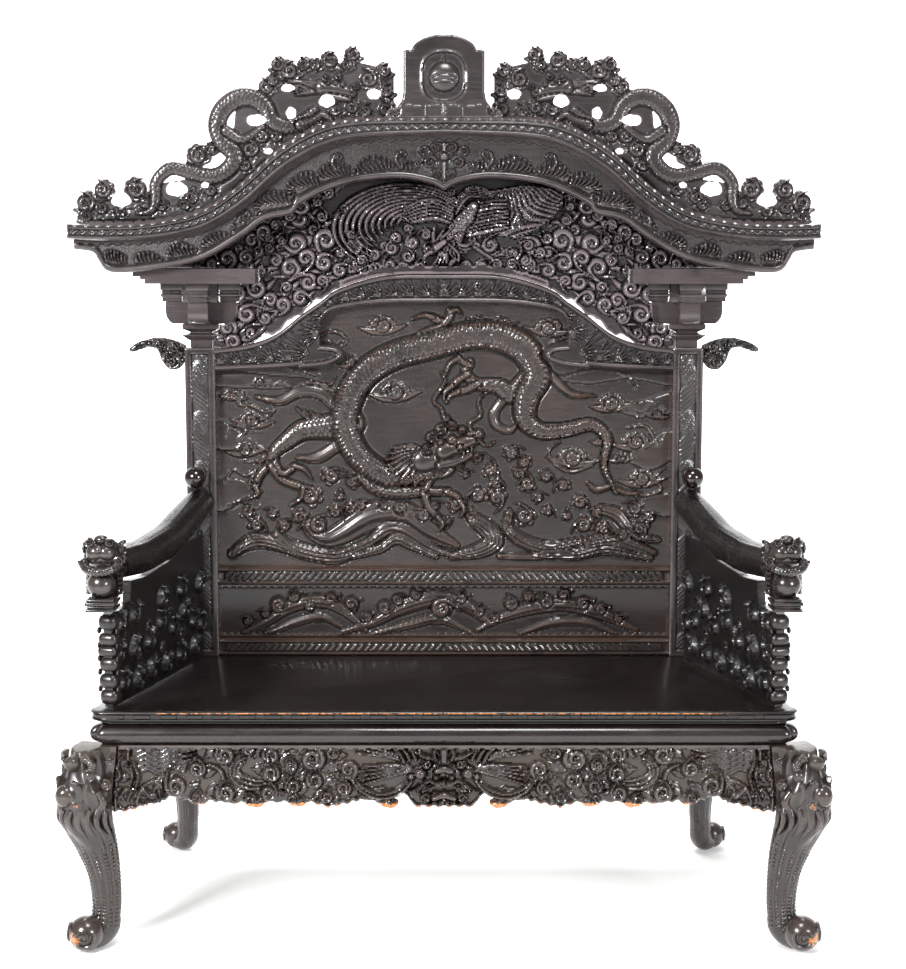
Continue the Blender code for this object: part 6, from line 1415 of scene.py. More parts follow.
def makeLeg(label, side, front, p=legs):
    slim = 1 if front else p["slimmer"]
    half, foot = p["half"] * slim, p["foot"] * slim
    reachX = p["side"] if front else p["backSide"]
    shaftX, shaftY = reachX - half - p["out"], p["deep"] - half - p["out"]
    line = [(shaftX + out * p["out"], -shaftY - out * p["out"], share * p["tall"], breadth * half)
            for share, out, breadth in p["levels"]]
    line += [(shaftX + out * foot, -shaftY - out * foot, tall * foot, size * foot) for out, tall, size in p["toe"]]
    line = smoothPath(line, 15 if front else 9)
    steps = np.concatenate([[0], np.cumsum(np.linalg.norm(np.diff(line[:, :3], axis=0), axis=1))])

    def shaft(share, angles):
        spot = share * (len(line) - 1)
        run = np.interp(spot, np.arange(len(line)), steps)
        z = np.interp(spot, np.arange(len(line)), line[:, 2])
        column = angles * p["columns"] / (2 * math.pi) + 0.5
        across = 2 * (column - np.floor(column)) - 1
        row = run / p["pitch"]
        bead = np.sqrt(np.clip(1 - 3.2 * across ** 2 - 1.5 * (2 * (row - math.floor(row)) - 1) ** 2, 0, 1))
        rib = 0.55 * np.clip((np.abs(across) - 0.62) / 0.2, 0, 1)
        amount = np.clip((0.235 - z) / 0.04, 0, 1) * np.clip((z - 0.030) / 0.02, 0, 1)
        swirl = 0.035 * np.sin(3 * angles + z * 60) * np.clip((z - 0.24) / 0.05, 0, 1)
        knee = np.clip((z - 0.20) / 0.05, 0, 1) if front else 0.0
        slack = 0.18 * np.clip((z - 0.315) / 0.03, 0, 1) if front else 0.0
        folds = knee * 0.045 * np.sin(7 * angles + 95 * z) + 0.012 * np.sin(5 * angles + 30 * z)
        return 0.965 - slack + amount * (0.10 * np.maximum(bead, rib) - 0.05) + swirl + folds

    bodies = [sweep(line[:, :3], line[:, 3], around=80 if front else 48, skin=shaft)]
    middle = Vector((shaftX + foot, -shaftY - foot, foot))
    bodies.append(ball(middle, foot * 0.985, segments=36))

    def onShaft(bearing, z, lift):  # a place on the shaft, bearing turned from the outward corner
        order = np.argsort(line[:, 2])
        cx, cy, r = (np.interp(z, line[order, 2], line[order, column]) for column in (0, 1, 3))
        angle = bearing - math.pi / 4
        return (cx + (r + lift) * math.cos(angle), cy + (r + lift) * math.sin(angle), z)

    def onCorner(bend, swap):  # the same bend on the front of the knee or, swapped, on its side
        return [(shaftX + (b if swap else a), -shaftY - (a if swap else b), z) for a, b, z in bend]

    for way, flip in (((0, -1, 0), 1), ((1, 0, 0), -1)):  # scroll on the ball of the foot, seen from front and side
        at = middle + Vector(way) * foot * 0.82
        bodies.append(curl(at, foot * 0.60, foot * 0.13, way, turn=flip, start=2.6, turns=1.6, bulge=0.35))
    if front:
        for dx, dy, z, r in ((0.047, 0.057, 0.3740, 0.0180), (0.0600, 0.0625, 0.3080, 0.0200),
                             (0.0580, 0.0560, 0.2660, 0.0130)):
            bodies.append(ball((shaftX + dx, -shaftY - dy, z), r, (1, 1, 1.12), 28))
        ribs = [((0.028, 0.064, 0.3920), (0.014, 0.070, 0.3860), (0.007, 0.071, 0.3720), (0.010, 0.0715, 0.3600))]
        ribs.append(((0.046, 0.074, 0.3360), (0.036, 0.080, 0.3300), (0.031, 0.081, 0.3170), (0.034, 0.080, 0.3040)))
        for bend in ribs:
            for swap in (0, 1):
                path = smoothPath(onCorner(bend, swap), 9)
                bodies.append(sweep(path, np.linspace(0.0072, 0.0085, len(path)), around=12, skin=ribbed(9, 0.84)))
        knots = ((0.0150, 0.0715, 0.3480, 0.0115, 0.0028), (0.0400, 0.0790, 0.2930, 0.0120, 0.0028),
                 (0.0020, 0.0700, 0.3000, 0.0085, 0.0026), (-0.014, 0.0600, 0.3280, 0.0100, 0.0030),
                 (-0.016, 0.0520, 0.2800, 0.0080, 0.0026), (-0.020, 0.0560, 0.3740, 0.0085, 0.0026))
        for dx, dy, z, r, thick in knots:
            for swap in (0, 1):
                x, y = (dy, dx) if swap else (dx, dy)
                way = (1, 0, 0) if swap else (0, -1, 0)
                spot = Vector((shaftX + x, -shaftY - y, z))
                bodies.append(ball(spot - Vector(way) * r * 0.5, r * 1.02, (1, 1, 1), 16))
                bodies.append(curl(spot, r, thick, way, turn=-1 if swap else 1, start=1.2, turns=1.8, bulge=0.35))
        for dx, dy, z, shift in ((0.020, 0.074, 0.335, 0.004), (0.000, 0.069, 0.318, -0.010)):
            for swap in (0, 1):
                bend = [(dx, dy, z), (dx + shift, dy + 0.001, z - 0.020), (dx - shift * 0.5, dy - 0.003, z - 0.040),
                        (dx + 0.004, dy - 0.010, z - 0.058)]
                bodies.append(strand(onCorner(bend, swap), 6, (0.006, 0.0075, 0.002)))
        rings = []
        for z in np.linspace(0.275, p["tall"], 8):  # cheek towards the apron
            x = shaftX + legFlank(z, half) + 0.0002
            rings.append([(x, -0.3040, z), (x + 0.030, -0.3040, z), (x + 0.030, -0.262, z), (x, -0.262, z)])
        bodies.append(loft(rings))
        for number in range(13):  # pointed tufts that hang over the scales
            bearing = -2.1 + number * 0.35
            tip = 0.206 + 0.018 * (number % 2) + 0.006 * math.sin(number * 2.3)
            bend = [onShaft(bearing - 0.10, 0.285, -0.003), onShaft(bearing + 0.04, 0.268, 0.0004),
                    onShaft(bearing + 0.06, 0.250, 0.0006),
                    onShaft(bearing - 0.02, 0.236, 0.0004), onShaft(bearing - 0.08, tip, -0.0006)]
            bodies.append(strand(bend, 5, (0.0060, 0.0072, 0.0010), middle=0.35, squash=0.8))
    for body in bodies:
        for vert in body.verts:
            vert.co.x = softLimit(vert.co.x, reachX)
            vert.co.y = -softLimit(-vert.co.y, 0.3517)
            vert.co.z = min(max(vert.co.z, 0.0), p["tall"])
            if front and vert.co.z > 0.376:  # the shoulder droops outside the waist
                away = math.hypot(vert.co.x - shaftX, vert.co.y + shaftY)
                vert.co.z -= 0.011 * min(max((away - 0.028) / 0.045, 0.0), 1.0) ** 2
            if not front:
                vert.co.y = -vert.co.y
    patch = middle + Vector((0.45, -0.62, -0.12)) * foot
    worn = Vector((shaftX + 0.040, -shaftY - 0.083, 0.2930))

    def shoulder(places):  # dust on the top
        return np.clip((places[:, 2] - 0.378) / 0.008, 0, 1) * 0.9

    def bare(places):  # bare wood on the ball of the foot and on the knee's lowest curl
        right = np.abs(places) * (1, -1, 1)
        share = np.clip(1.25 - np.linalg.norm(right - np.array(patch), axis=1) / 0.024, 0, 1)
        other = np.clip(1.2 - np.linalg.norm(right - np.array(worn), axis=1) / 0.014, 0, 1)
        return np.maximum(share, other * 0.8) if front else share * 0

    return finishPiece("leg_carved_" + label, joinBodies(bodies), "leg", ["leg_" + label], side=side, smooth=45,
                       bare=bare, ground=shoulder)


for side, label in sides:
    makeLeg("front_" + label, side, True)
    makeLeg("back_" + label, side, False)
print("legs carved")


# Aprons

apron = dict(
    cell=0.0024, height=0.0185, face=-0.288, tall=legs["tall"], drop=0.129, middle=0.6395,
    # share of the half length, share of the drop
    edge=((-0.02, 0.93), (0.09, 0.93), (0.11, 0.76), (0.20, 0.68), (0.265, 0.85), (0.35, 0.94), (0.42, 0.84),
          (0.465, 0.67),
          (0.495, 0.68), (0.525, 0.85), (0.645, 0.87), (0.72, 0.84), (0.75, 0.62), (0.86, 0.86), (0.96, 1.0),
          (1.05, 1.0)),
    # column, row, radius, turn, where the tail leaves, length of the tail
    spirals=((224, 759, 9, 1, 3.0, 1.8), (196, 773, 8, -1, 0.4, 1.6), (270, 759, 8, 1, 2.6, 1.5),
             (312, 763, 11, -1, 0.6, 1.3),
             (270, 778, 8, -1, 0.3, 1.4), (174, 791, 10, 1, 3.4, 1.8), (224, 798, 9, 1, 2.8, 1.4),
             (268, 798, 8, -1, 0.2, 1.5),
             (314, 785, 8, 1, 2.9, 1.3), (348, 774, 9, 1, 4.6, 1.0), (343, 793, 7, -1, 0.3, 1.4),
             (292, 791, 7, 1, 3.0, 1.3),
             (290, 770, 6, -1, 0.5, 1.2), (248, 752, 6, 1, 3.4, 1.2), (332, 757, 6, -1, 0.2, 1.2),
             (194, 803, 6, 1, 3.1, 1.4),
             (292, 805, 6, -1, 0.2, 1.3), (326, 802, 6, 1, 3.0, 1.3), (249, 806, 6, -1, 0.4, 1.2),
             (115, 757, 5, 1, 3, 1.2),
             (112, 779, 7, -1, 0.6, 1.4), (124, 768, 4, 1, 2, 1.0), (364, 800, 5, 1, 2.8, 1.2),
             (385, 808, 5, -1, 0.5, 1.2)),
)


def scallops(c, tall):  # the lower line of the scallops under the top edge
    return tall - 0.0050 - 0.0034 * np.abs(np.sin(c.x * math.pi / 0.0235)) ** 0.6


def makeFrontApron(p=apron):
    tall, drop = p["tall"], p["drop"]
    heights = np.linspace(0.60, 1, 30) * tall
    inner = p["middle"] + legFlank(heights, legs["half"])
    reach = inner.max()
    sheet = DrawingSheet(332, 0.6167, 818, tall - drop, 748.8, tall)
    c = Carving(-reach, reach, tall - drop - 0.004, tall, p["cell"], sheet)
    height = p["height"]
    fall = np.interp(np.abs(c.x) / reach, *np.array(p["edge"]).T) * drop
    limit = np.interp(c.z, heights, inner) - 0.0005
    c.twin = True
    # layered wavy folds beside the leg, each over the next
    for step in range(5):
        row = 753 + step * 5.2
        c.stroke(((136, row + 3), (147, row - 1), (158, row + 4), (170, row - 2), (182, row + 2),
                  (199 - 4 * step, row - 1)),
                 (3.2, 3.6, 3.4, 3.2, 2.6, 0.8), height * (0.60 - 0.05 * step), strandSkin(3, 0.0022), groove=0.003)
    for step in range(5):
        c.stroke(((98 + 9 * step, 800 + 2 * step), (108 + 8 * step, 795), (118 + 8 * step, 803),
                  (132 + 5 * step, 799), (146 + 3 * step, 809)),
                 (2.4, 3.2, 3.0, 2.8, 0.8), height * 0.55, strandSkin(2, 0.0018), over=0.001, groove=0.0025)
    for line in (((128, 752), (127, 764), (131, 778), (128, 792)), ((133, 752), (133, 768), (137, 780), (133, 796))):
        c.stroke(line, (2.2, 2.6, 2.4, 1.4), height * 0.7, ribSkin(0.0075, 0.003), over=0.001, groove=0.002)
    # large shell crescents with parallel rims
    for shrink, lift in ((0, 0.62), (4, 0.55), (8, 0.46)):
        c.stroke(((246 - shrink * 0.3, 758 + shrink), (235 + shrink * 0.5, 762 + shrink), (229 + shrink, 776),
                  (238 + shrink * 0.6, 790 - shrink),
                  (258, 794 - shrink), (281 - shrink, 786 - shrink * 0.6)), (1.4, 2.2, 2.6, 2.6, 2.2, 1.0),
                  height * lift, groove=0.002)
    c.stroke(((206, 768), (218, 774), (222, 786), (214, 796)), (1.2, 2.6, 2.6, 1), height * 0.55, groove=0.002)
    c.stroke(((140, 792), (152, 786), (160, 792), (160, 802)), (1.2, 2.8, 2.8, 1), height * 0.5, groove=0.002)
    for x, z, r, turn, start, tail in p["spirals"]:
        c.stroke(((x - 2.4 * r, z + 0.5 * turn * r), (x - r, z - 0.4 * r), (x + r, z + 0.5 * r),
                  (x + 2.4 * r, z - 0.4 * turn * r)),
                 (1.0, r * 0.9, r * 0.9, 1.0), height * 0.34, strandSkin(2, 0.0022), groove=0.002)
    for x, z, r, turn, start, tail in p["spirals"]:
        c.hook((x, z), r * 1.22, height * 0.66, turn, start, tail=tail * 1.2, thick=0.29, turns=1.6)
    # wings of the mask: a fan of long feathers over a smooth tentacle
    for number in range(8):
        share = number / 7
        tip = (352 + 9 * share, 757 + 33 * share)
        if number < 3:
            tip = (372 - 8 * number, 751 + 3 * number)
        c.stroke(((412, 776 - 3 * (1 - share)), (396, (tip[1] + 774) / 2 - 3), tip), (1.6, 2.7, 1.2), height * 0.58,
                 ribSkin(0.0042, 0.0014, 0.8), groove=0.003)
    for shift in (0, 4.2):
        c.stroke(((352, 780 + shift), (362, 792 + shift), (378, 799 + shift * 0.9), (396, 796 + shift),
                  (408, 786 + shift), (416, 774 + shift), (424, 769 + shift)),
                 (1.2, 2.2, 2.6, 2.8, 2.8, 2.6, 1.6), height * 0.72, over=0.002, groove=0.003)
    for number in range(4):
        c.stroke(((404 + 6 * number, 766 - number), (399 + 7 * number, 757), (392 + 9 * number, 751)),
                 (2.2, 2.2, 0.8), height * 0.6, over=0.001, groove=0.002)
    # mask: cheeks, eyes, brows, lips and a curled moustache over a striped fringe
    c.stroke(((444, 772), (436, 776), (430, 786)), (9, 9, 7), height * 0.62, over=0.003)
    c.dome((420, 777.5), 6.2, height * 0.98, over=0.004, groove=0.003)
    c.dome((411, 781), 4.0, height * 0.75, over=0.002, groove=0.002)
    c.hook((427, 767), 5.5, height * 0.88, 1, 2.8, over=0.003, tail=1.2)
    c.stroke(((440, 766), (433, 762), (424, 760), (414, 754)), (2.4, 2.8, 2.6, 1), height * 0.85, over=0.003,
             groove=0.002)
    c.stroke(((436, 752), (434, 758), (437, 764)), (2.2, 2.6, 1.8), height * 0.85, ribSkin(0.006, 0.002), over=0.003,
             groove=0.002)
    c.dome((436, 781), 3.4, height * 0.98, over=0.003, groove=0.002)
    c.stroke(((444, 787), (437, 788), (430, 785), (424, 788), (420, 796)), (2.4, 2.6, 2.4, 2.4, 1.2), height * 0.92,
             over=0.003, groove=0.003)
    for step in range(4):
        c.stroke(((430 - 3 * step, 789), (426 - 4 * step, 795), (418 - 4 * step, 798 - step)), (1.5, 1.6, 0.6),
                 height * 0.75, over=0.002, groove=0.0015)
    c.hook((426, 803), 6.0, height * 0.85, -1, 3.6, over=0.002, tail=1.4)
    for step in range(6):
        c.stroke(((434 + 2.2 * step, 797), (433 + 2.2 * step, 804), (432.5 + 2.2 * step, 810)), (1.3, 1.4, 1.0),
                 height * 0.8, over=0.002, groove=0.002)
    c.twin = False
    c.stroke(((444, 750), (444, 757), (444, 764)), (4.2, 4.8, 3.6), height * 0.98, over=0.004, groove=0.003)
    c.stroke(((437, 775), (444, 773), (451, 775)), (4.2, 5, 4.2), height * 0.80, over=0.003, groove=0.002)
    c.stroke(((434, 803), (444, 800), (454, 803)), (3.6, 4.6, 3.6), height * 0.86, strandSkin(1, 0.001), over=0.002,
             groove=0.002)
    c.h = np.clip(c.h, -0.002, 0.0205)
    lobed = c.z - tall + fall - 0.0022 * np.cos(c.x * 2 * math.pi / 0.019)
    distance = np.minimum(np.maximum(lobed, np.minimum(c.cover, 0.004)), limit - np.abs(c.x))
    border = scallops(c, tall)
    c.h = np.where(c.z > border, np.maximum(c.h * 0.2, 0.0098), c.h)
    c.h = np.maximum(c.h, 0.0062 * ridge(distance, 0.0045, 0.0042))
    c.h *= np.clip((distance + 0.001) / 0.004, 0.25, 1) ** 0.5
    bm = carvedBoard(c, distance, p["face"], p["face"] + 0.020)

    def bare(places):  # bare wood on the lowest points of the edge
        edge = tall - np.interp(np.abs(places[:, 0]) / reach, *np.array(p["edge"]).T) * drop
        return np.clip(1.15 - (places[:, 2] - edge) / 0.0065, 0, 1) * np.clip((0.292 - places[:, 2]) / 0.012, 0, 1)

    return finishPiece("apron_carved_front", bm, "apron", ["apron_front"], bare=bare,
                       ground=lambda places: np.clip(0.75 - c.sample(places[:, 0], places[:, 2]) / 0.006, 0, 1))


sideSlant = math.atan2(0.086, 0.600)  # the sides draw in towards the back


def sideRun():  # where a side apron starts along Y, and its length
    heights = np.linspace(0.67333, 1, 30) * legs["tall"]
    ends = [legs["deep"] - half - legs["out"] + legFlank(heights, half).min() - 0.003
            for half in (legs["half"], legs["half"] * legs["slimmer"])]
    return -ends[0], (ends[0] + ends[1]) / math.cos(sideSlant)


def makeSideApron(label, side, p=apron):
    start, length = sideRun()
    tall, drop = p["tall"], p["drop"]
    c = Carving(0, length, tall - drop, tall, 0.0034)
    fall = drop * (0.62 + 0.14 * np.cos(c.x / length * 6 * math.pi))
    distance = np.minimum(c.z - tall + fall, np.minimum(c.x, length - c.x) + 0.001)
    for step in range(15):
        x = length * (step + 0.5) / 15
        z = tall - drop * (0.22, 0.50, 0.30, 0.56)[step % 4]
        c.hook((x, z), 0.0165, 0.011, 1 if step % 2 else -1, 2.8 if step % 2 else 0.4, tail=1.5, thick=0.24,
               metres=True)
    border = scallops(c, tall)
    c.h = np.where(c.z > border, 0.0080, c.h)
    c.h *= np.clip((distance + 0.001) / 0.004, 0.2, 1)
    bm = carvedBoard(c, distance, 0, 0.020)
    turn = Matrix.Translation((0.606 - 0.14333 * start, start, 0)) @ Matrix.Rotation(math.pi / 2 + sideSlant, 4, "Z")
    return finishPiece("apron_carved_" + label, bm, "apron", ["apron_" + label], turn=turn, side=side)


makeFrontApron()
for side, label in sides:
    makeSideApron(label, side)
print("aprons carved")


# Posts, capitals, brackets and nosings

def makePost(label, side):
    x0, x1, low, top = 0.474, 0.535, 0.4603, 1.108
    c = Carving(x0, x1, low, top, 0.0024)
    middle, field = (x0 + x1) / 2, 0.0175
    near = np.minimum(field - np.abs(c.x - middle), np.minimum(c.z - low, top - c.z) - 0.013)
    corner = 0.008 - np.hypot(np.clip(0.008 - (field - np.abs(c.x - middle)), 0, 1),
                              np.clip(0.008 - (np.minimum(c.z - low, top - c.z) - 0.013), 0, 1))
    near = np.minimum(near, np.maximum(corner, near * 0.2))
    u = (c.x - middle) / field  # long leaves that climb from side to side
    step = (c.z - low) / 0.052
    lean = np.where((np.floor(step) % 2) < 1, 1.0, -1.0)
    local = step - np.floor(step)
    blade = (local - 0.5) * 2.2 - lean * u * 0.9
    rib = np.abs(np.sin((blade * 2.6 + 0.5 * np.sin(u * 2)) * math.pi))
    leaf = ridge(blade, 0, 1.45) * (0.35 + 0.65 * rib ** 0.7)
    c.h = np.where(near > 0, 0.0044 * leaf * np.clip(near / 0.002, 0, 1), 0.006)
    rim = np.clip(-near / 0.0018, 0, 1)
    c.h = np.where(near <= 0, 0.006 - 0.0012 * (1 - rim), c.h)
    edge = np.minimum(np.minimum(c.x - x0, x1 - c.x), np.minimum(c.z - low, top - c.z))
    c.h -= 0.0016 * np.clip(1 - edge / 0.0022, 0, 1)
    bm = carvedBoard(c, np.full(c.x.shape, 0.05), 0.176, 0.240)
    return finishPiece("post_carved_" + label, bm, "canopy", ["post_" + label], side=side, smooth=45)


def stack(middle, levels, chamfer=0.0011):
    # a turned-square block: square rings with cut corners, one for each height and half breadth
    rings = []
    for z, halfX, halfY in levels:
        k = chamfer
        ring = [(halfX, -halfY + k), (halfX, halfY - k), (halfX - k, halfY), (-halfX + k, halfY), (-halfX, halfY - k),
                (-halfX, -halfY + k), (-halfX + k, -halfY), (halfX - k, -halfY)]
        rings.append([(middle[0] + x, middle[1] + y, z) for x, y in ring])
    return loft(rings)


def softened(levels, cut=0.0009):
    # level pairs (z, half) with a small chamfer at the lowest and highest edge
    first, last = levels[0], levels[-1]
    run = [(first[0], first[1] - cut), (first[0] + cut, first[1]), *levels[1:-1], (last[0] - cut, last[1]),
           (last[0], last[1] - cut)]
    return [(z, h, h) for z, h in run]


def makeCapital(label, side):
    at = (0.5015, 0.205)
    low, tall = 1.1083, 0.049
    shares = ((0, 0.0225), (0.30, 0.0225), (0.34, 0.0262), (0.40, 0.0300), (0.47, 0.0335), (0.505, 0.0370),
              (0.525, 0.0375),
              (0.545, 0.0370), (0.58, 0.0270), (0.62, 0.0230), (0.66, 0.0225), (0.70, 0.0265), (0.74, 0.0310),
              (0.78, 0.0350),
              (0.81, 0.0370), (1, 0.0370))
    bm = stack(at, softened([(low + a * tall, h) for a, h in shares]))
    finishPiece("capital_cut_" + label, bm, "canopy", ["capital_" + label], side=side, smooth=28)
    z = 1.1576
    profile = [(0, 0.80), (0.04, 0.845), (0.10, 0.89), (0.18, 0.93), (0.28, 0.965), (0.40, 0.99), (0.55, 1.0),
               (0.97, 1.0), (1, 0.99)]
    bodies = []
    for along in (0, 1):  # two crossed arms with rounded lower ends
        levels = [(z + a * 0.045, (0.073 * b, 0.0205) if along == 0 else (0.0210, 0.073 * b)) for a, b in profile]
        bodies.append(stack(at, [(h, sx, sy) for h, (sx, sy) in levels]))
    for lowZ, reach in ((1.1590, 0.0640), (1.1700, 0.0690), (1.1810, 0.0715)):  # three fillets on the arm's front
        bodies.append(block((at[0] - 0.013, at[1] - reach - 0.0014, lowZ),
                            (at[0] + 0.013, at[1] - 0.03, lowZ + 0.0045), 0.0012))
    # core between the blocks
    bodies.append(block((at[0] - 0.0355, at[1] - 0.0355, 1.2020), (at[0] + 0.0355, at[1] + 0.0355, 1.2410), 0.0008))
    finishPiece("bracket_cut_" + label, joinBodies(bodies), "canopy", ["bracket_" + label], side=side, smooth=35)
    low = 1.2029
    steps = ((0, 0.0200), (0.22, 0.0200), (0.27, 0.0212), (0.34, 0.0232), (0.37, 0.0235), (0.40, 0.0230),
             (0.43, 0.0204), (0.47, 0.0202),
             (0.51, 0.0226), (0.535, 0.0228), (0.56, 0.0202), (0.60, 0.0202), (0.64, 0.0232), (0.66, 0.0235),
             (1, 0.0235))
    for name, (dx, dy) in dict(inner=(-0.0595, 0), outer=(0.0595, 0), front=(0, -0.0595), back=(0, 0.0595)).items():
        bm = stack((at[0] + dx, at[1] + dy), softened([(low + a * 0.038, h) for a, h in steps]))
        finishPiece(f"bearing_block_cut_{name}_{label}", bm, "canopy", [f"bearing_block_{name}_{label}"], side=side,
                    smooth=28)
    x0, x1, y0, y1, z0, z1 = 0.380, 0.627, 0.099, 0.300, 1.2412, 1.2712
    rings = []
    for zz, inset in ((z0, 0.0250), (z0 + 0.001, 0.0240), (z0 + 0.0088, 0.0240), (z0 + 0.0090, 0.0150),
                      (z0 + 0.0150, 0.0145),
                      (z0 + 0.0152, 0.0010), (z0 + 0.0162, 0.0), (z1 - 0.001, 0.0), (z1, 0.001)):
        rings.append([(x0, y0, zz), (x1 - inset, y0, zz), (x1 - inset, y1, zz), (x0, y1, zz)])
    finishPiece("canopy_beam_cut_" + label, loft(rings), "canopy", ["canopy_beam_" + label], side=side, smooth=28)


def makeNosing(label, side):
    x0, reach, tall, top = 0.5353, 0.116, 0.072, 1.128
    outline = ((0, -0.66), (0.10, -0.86), (0.28, -0.90), (0.42, -0.66), (0.50, -0.34), (0.66, -0.26), (0.80, -0.34),
               (0.95, -0.40),
               (1.0, -0.32), (0.86, -0.14), (0.62, -0.02), (0.42, 0.0), (0.20, -0.06), (0, -0.20))
    corners = smoothPath([(x0 + a * reach, top + b * tall) for a, b in outline], 6)
    c = Carving(x0, x0 + reach, top - tall, top, 0.0019)
    distance = insideOutline(c.x, c.z, corners)
    c.h = 0.0035 * np.clip(distance / 0.004, 0, 1) ** 0.5
    for a, b, r, turn, start in ((0.20, -0.26, 0.0125, 1, 2.6), (0.25, -0.66, 0.0125, -1, 0.4),
                                 (0.47, -0.20, 0.0105, 1, 3.0), (0.09, -0.46, 0.0100, -1, 0.8),
                                 (0.37, -0.46, 0.0090, 1, 2.0), (0.66, -0.15, 0.0075, -1, 0.2),
                                 (0.06, -0.76, 0.0070, 1, 3.0), (0.82, -0.26, 0.0060, 1, 3.2)):
        c.hook((x0 + a * reach, top + b * tall), r, 0.0062, turn, start, tail=1.3, thick=0.28, metres=True)
    c.h = np.clip(c.h, 0, 0.0068)
    bm = carvedBoard(c, distance, 0.1875, 0.2125, both=True)
    return finishPiece("nosing_carved_" + label, bm, "black", ["nosing_" + label], side=side)


for side, label in sides:
    makePost(label, side)
    makeCapital(label, side)
    makeNosing(label, side)
print("posts and capitals carved")


# Arms

arms = dict(foot=0.4603, post=0.170, head=0.6309, front=-0.285, splay=0.270, rows=16, pitch=0.0072, length=0.4713,
            rolls=((0.622, 0.0160, 0.000), (0.5895, 0.0128, 0.001), (0.5680, 0.0098, -0.001), (0.5420, 0.0148, 0.002),
                   (0.5105, 0.0150, -0.001), (0.4800, 0.0150, 0.001)),
            holes=((0.17, 0.62), (0.30, 0.35), (0.40, 0.66), (0.53, 0.36), (0.62, 0.70), (0.74, 0.40), (0.86, 0.68)),
            clouds=((0.10, 0.80), (0.09, 0.50), (0.12, 0.20), (0.24, 0.48), (0.24, 0.82), (0.27, 0.14), (0.38, 0.48),
                    (0.40, 0.18),
                    (0.50, 0.62), (0.56, 0.15), (0.63, 0.50), (0.52, 0.84), (0.70, 0.18), (0.75, 0.62), (0.85, 0.46),
                    (0.86, 0.18),
                    (0.93, 0.40), (0.93, 0.82), (0.72, 0.86)))


def armMiddle(y):
    return 0.460 + np.interp(y, (-0.30, -0.22, -0.12, 0.0, 0.10, 0.17), (0.275, 0.268, 0.262, 0.274, 0.306, 0.328))


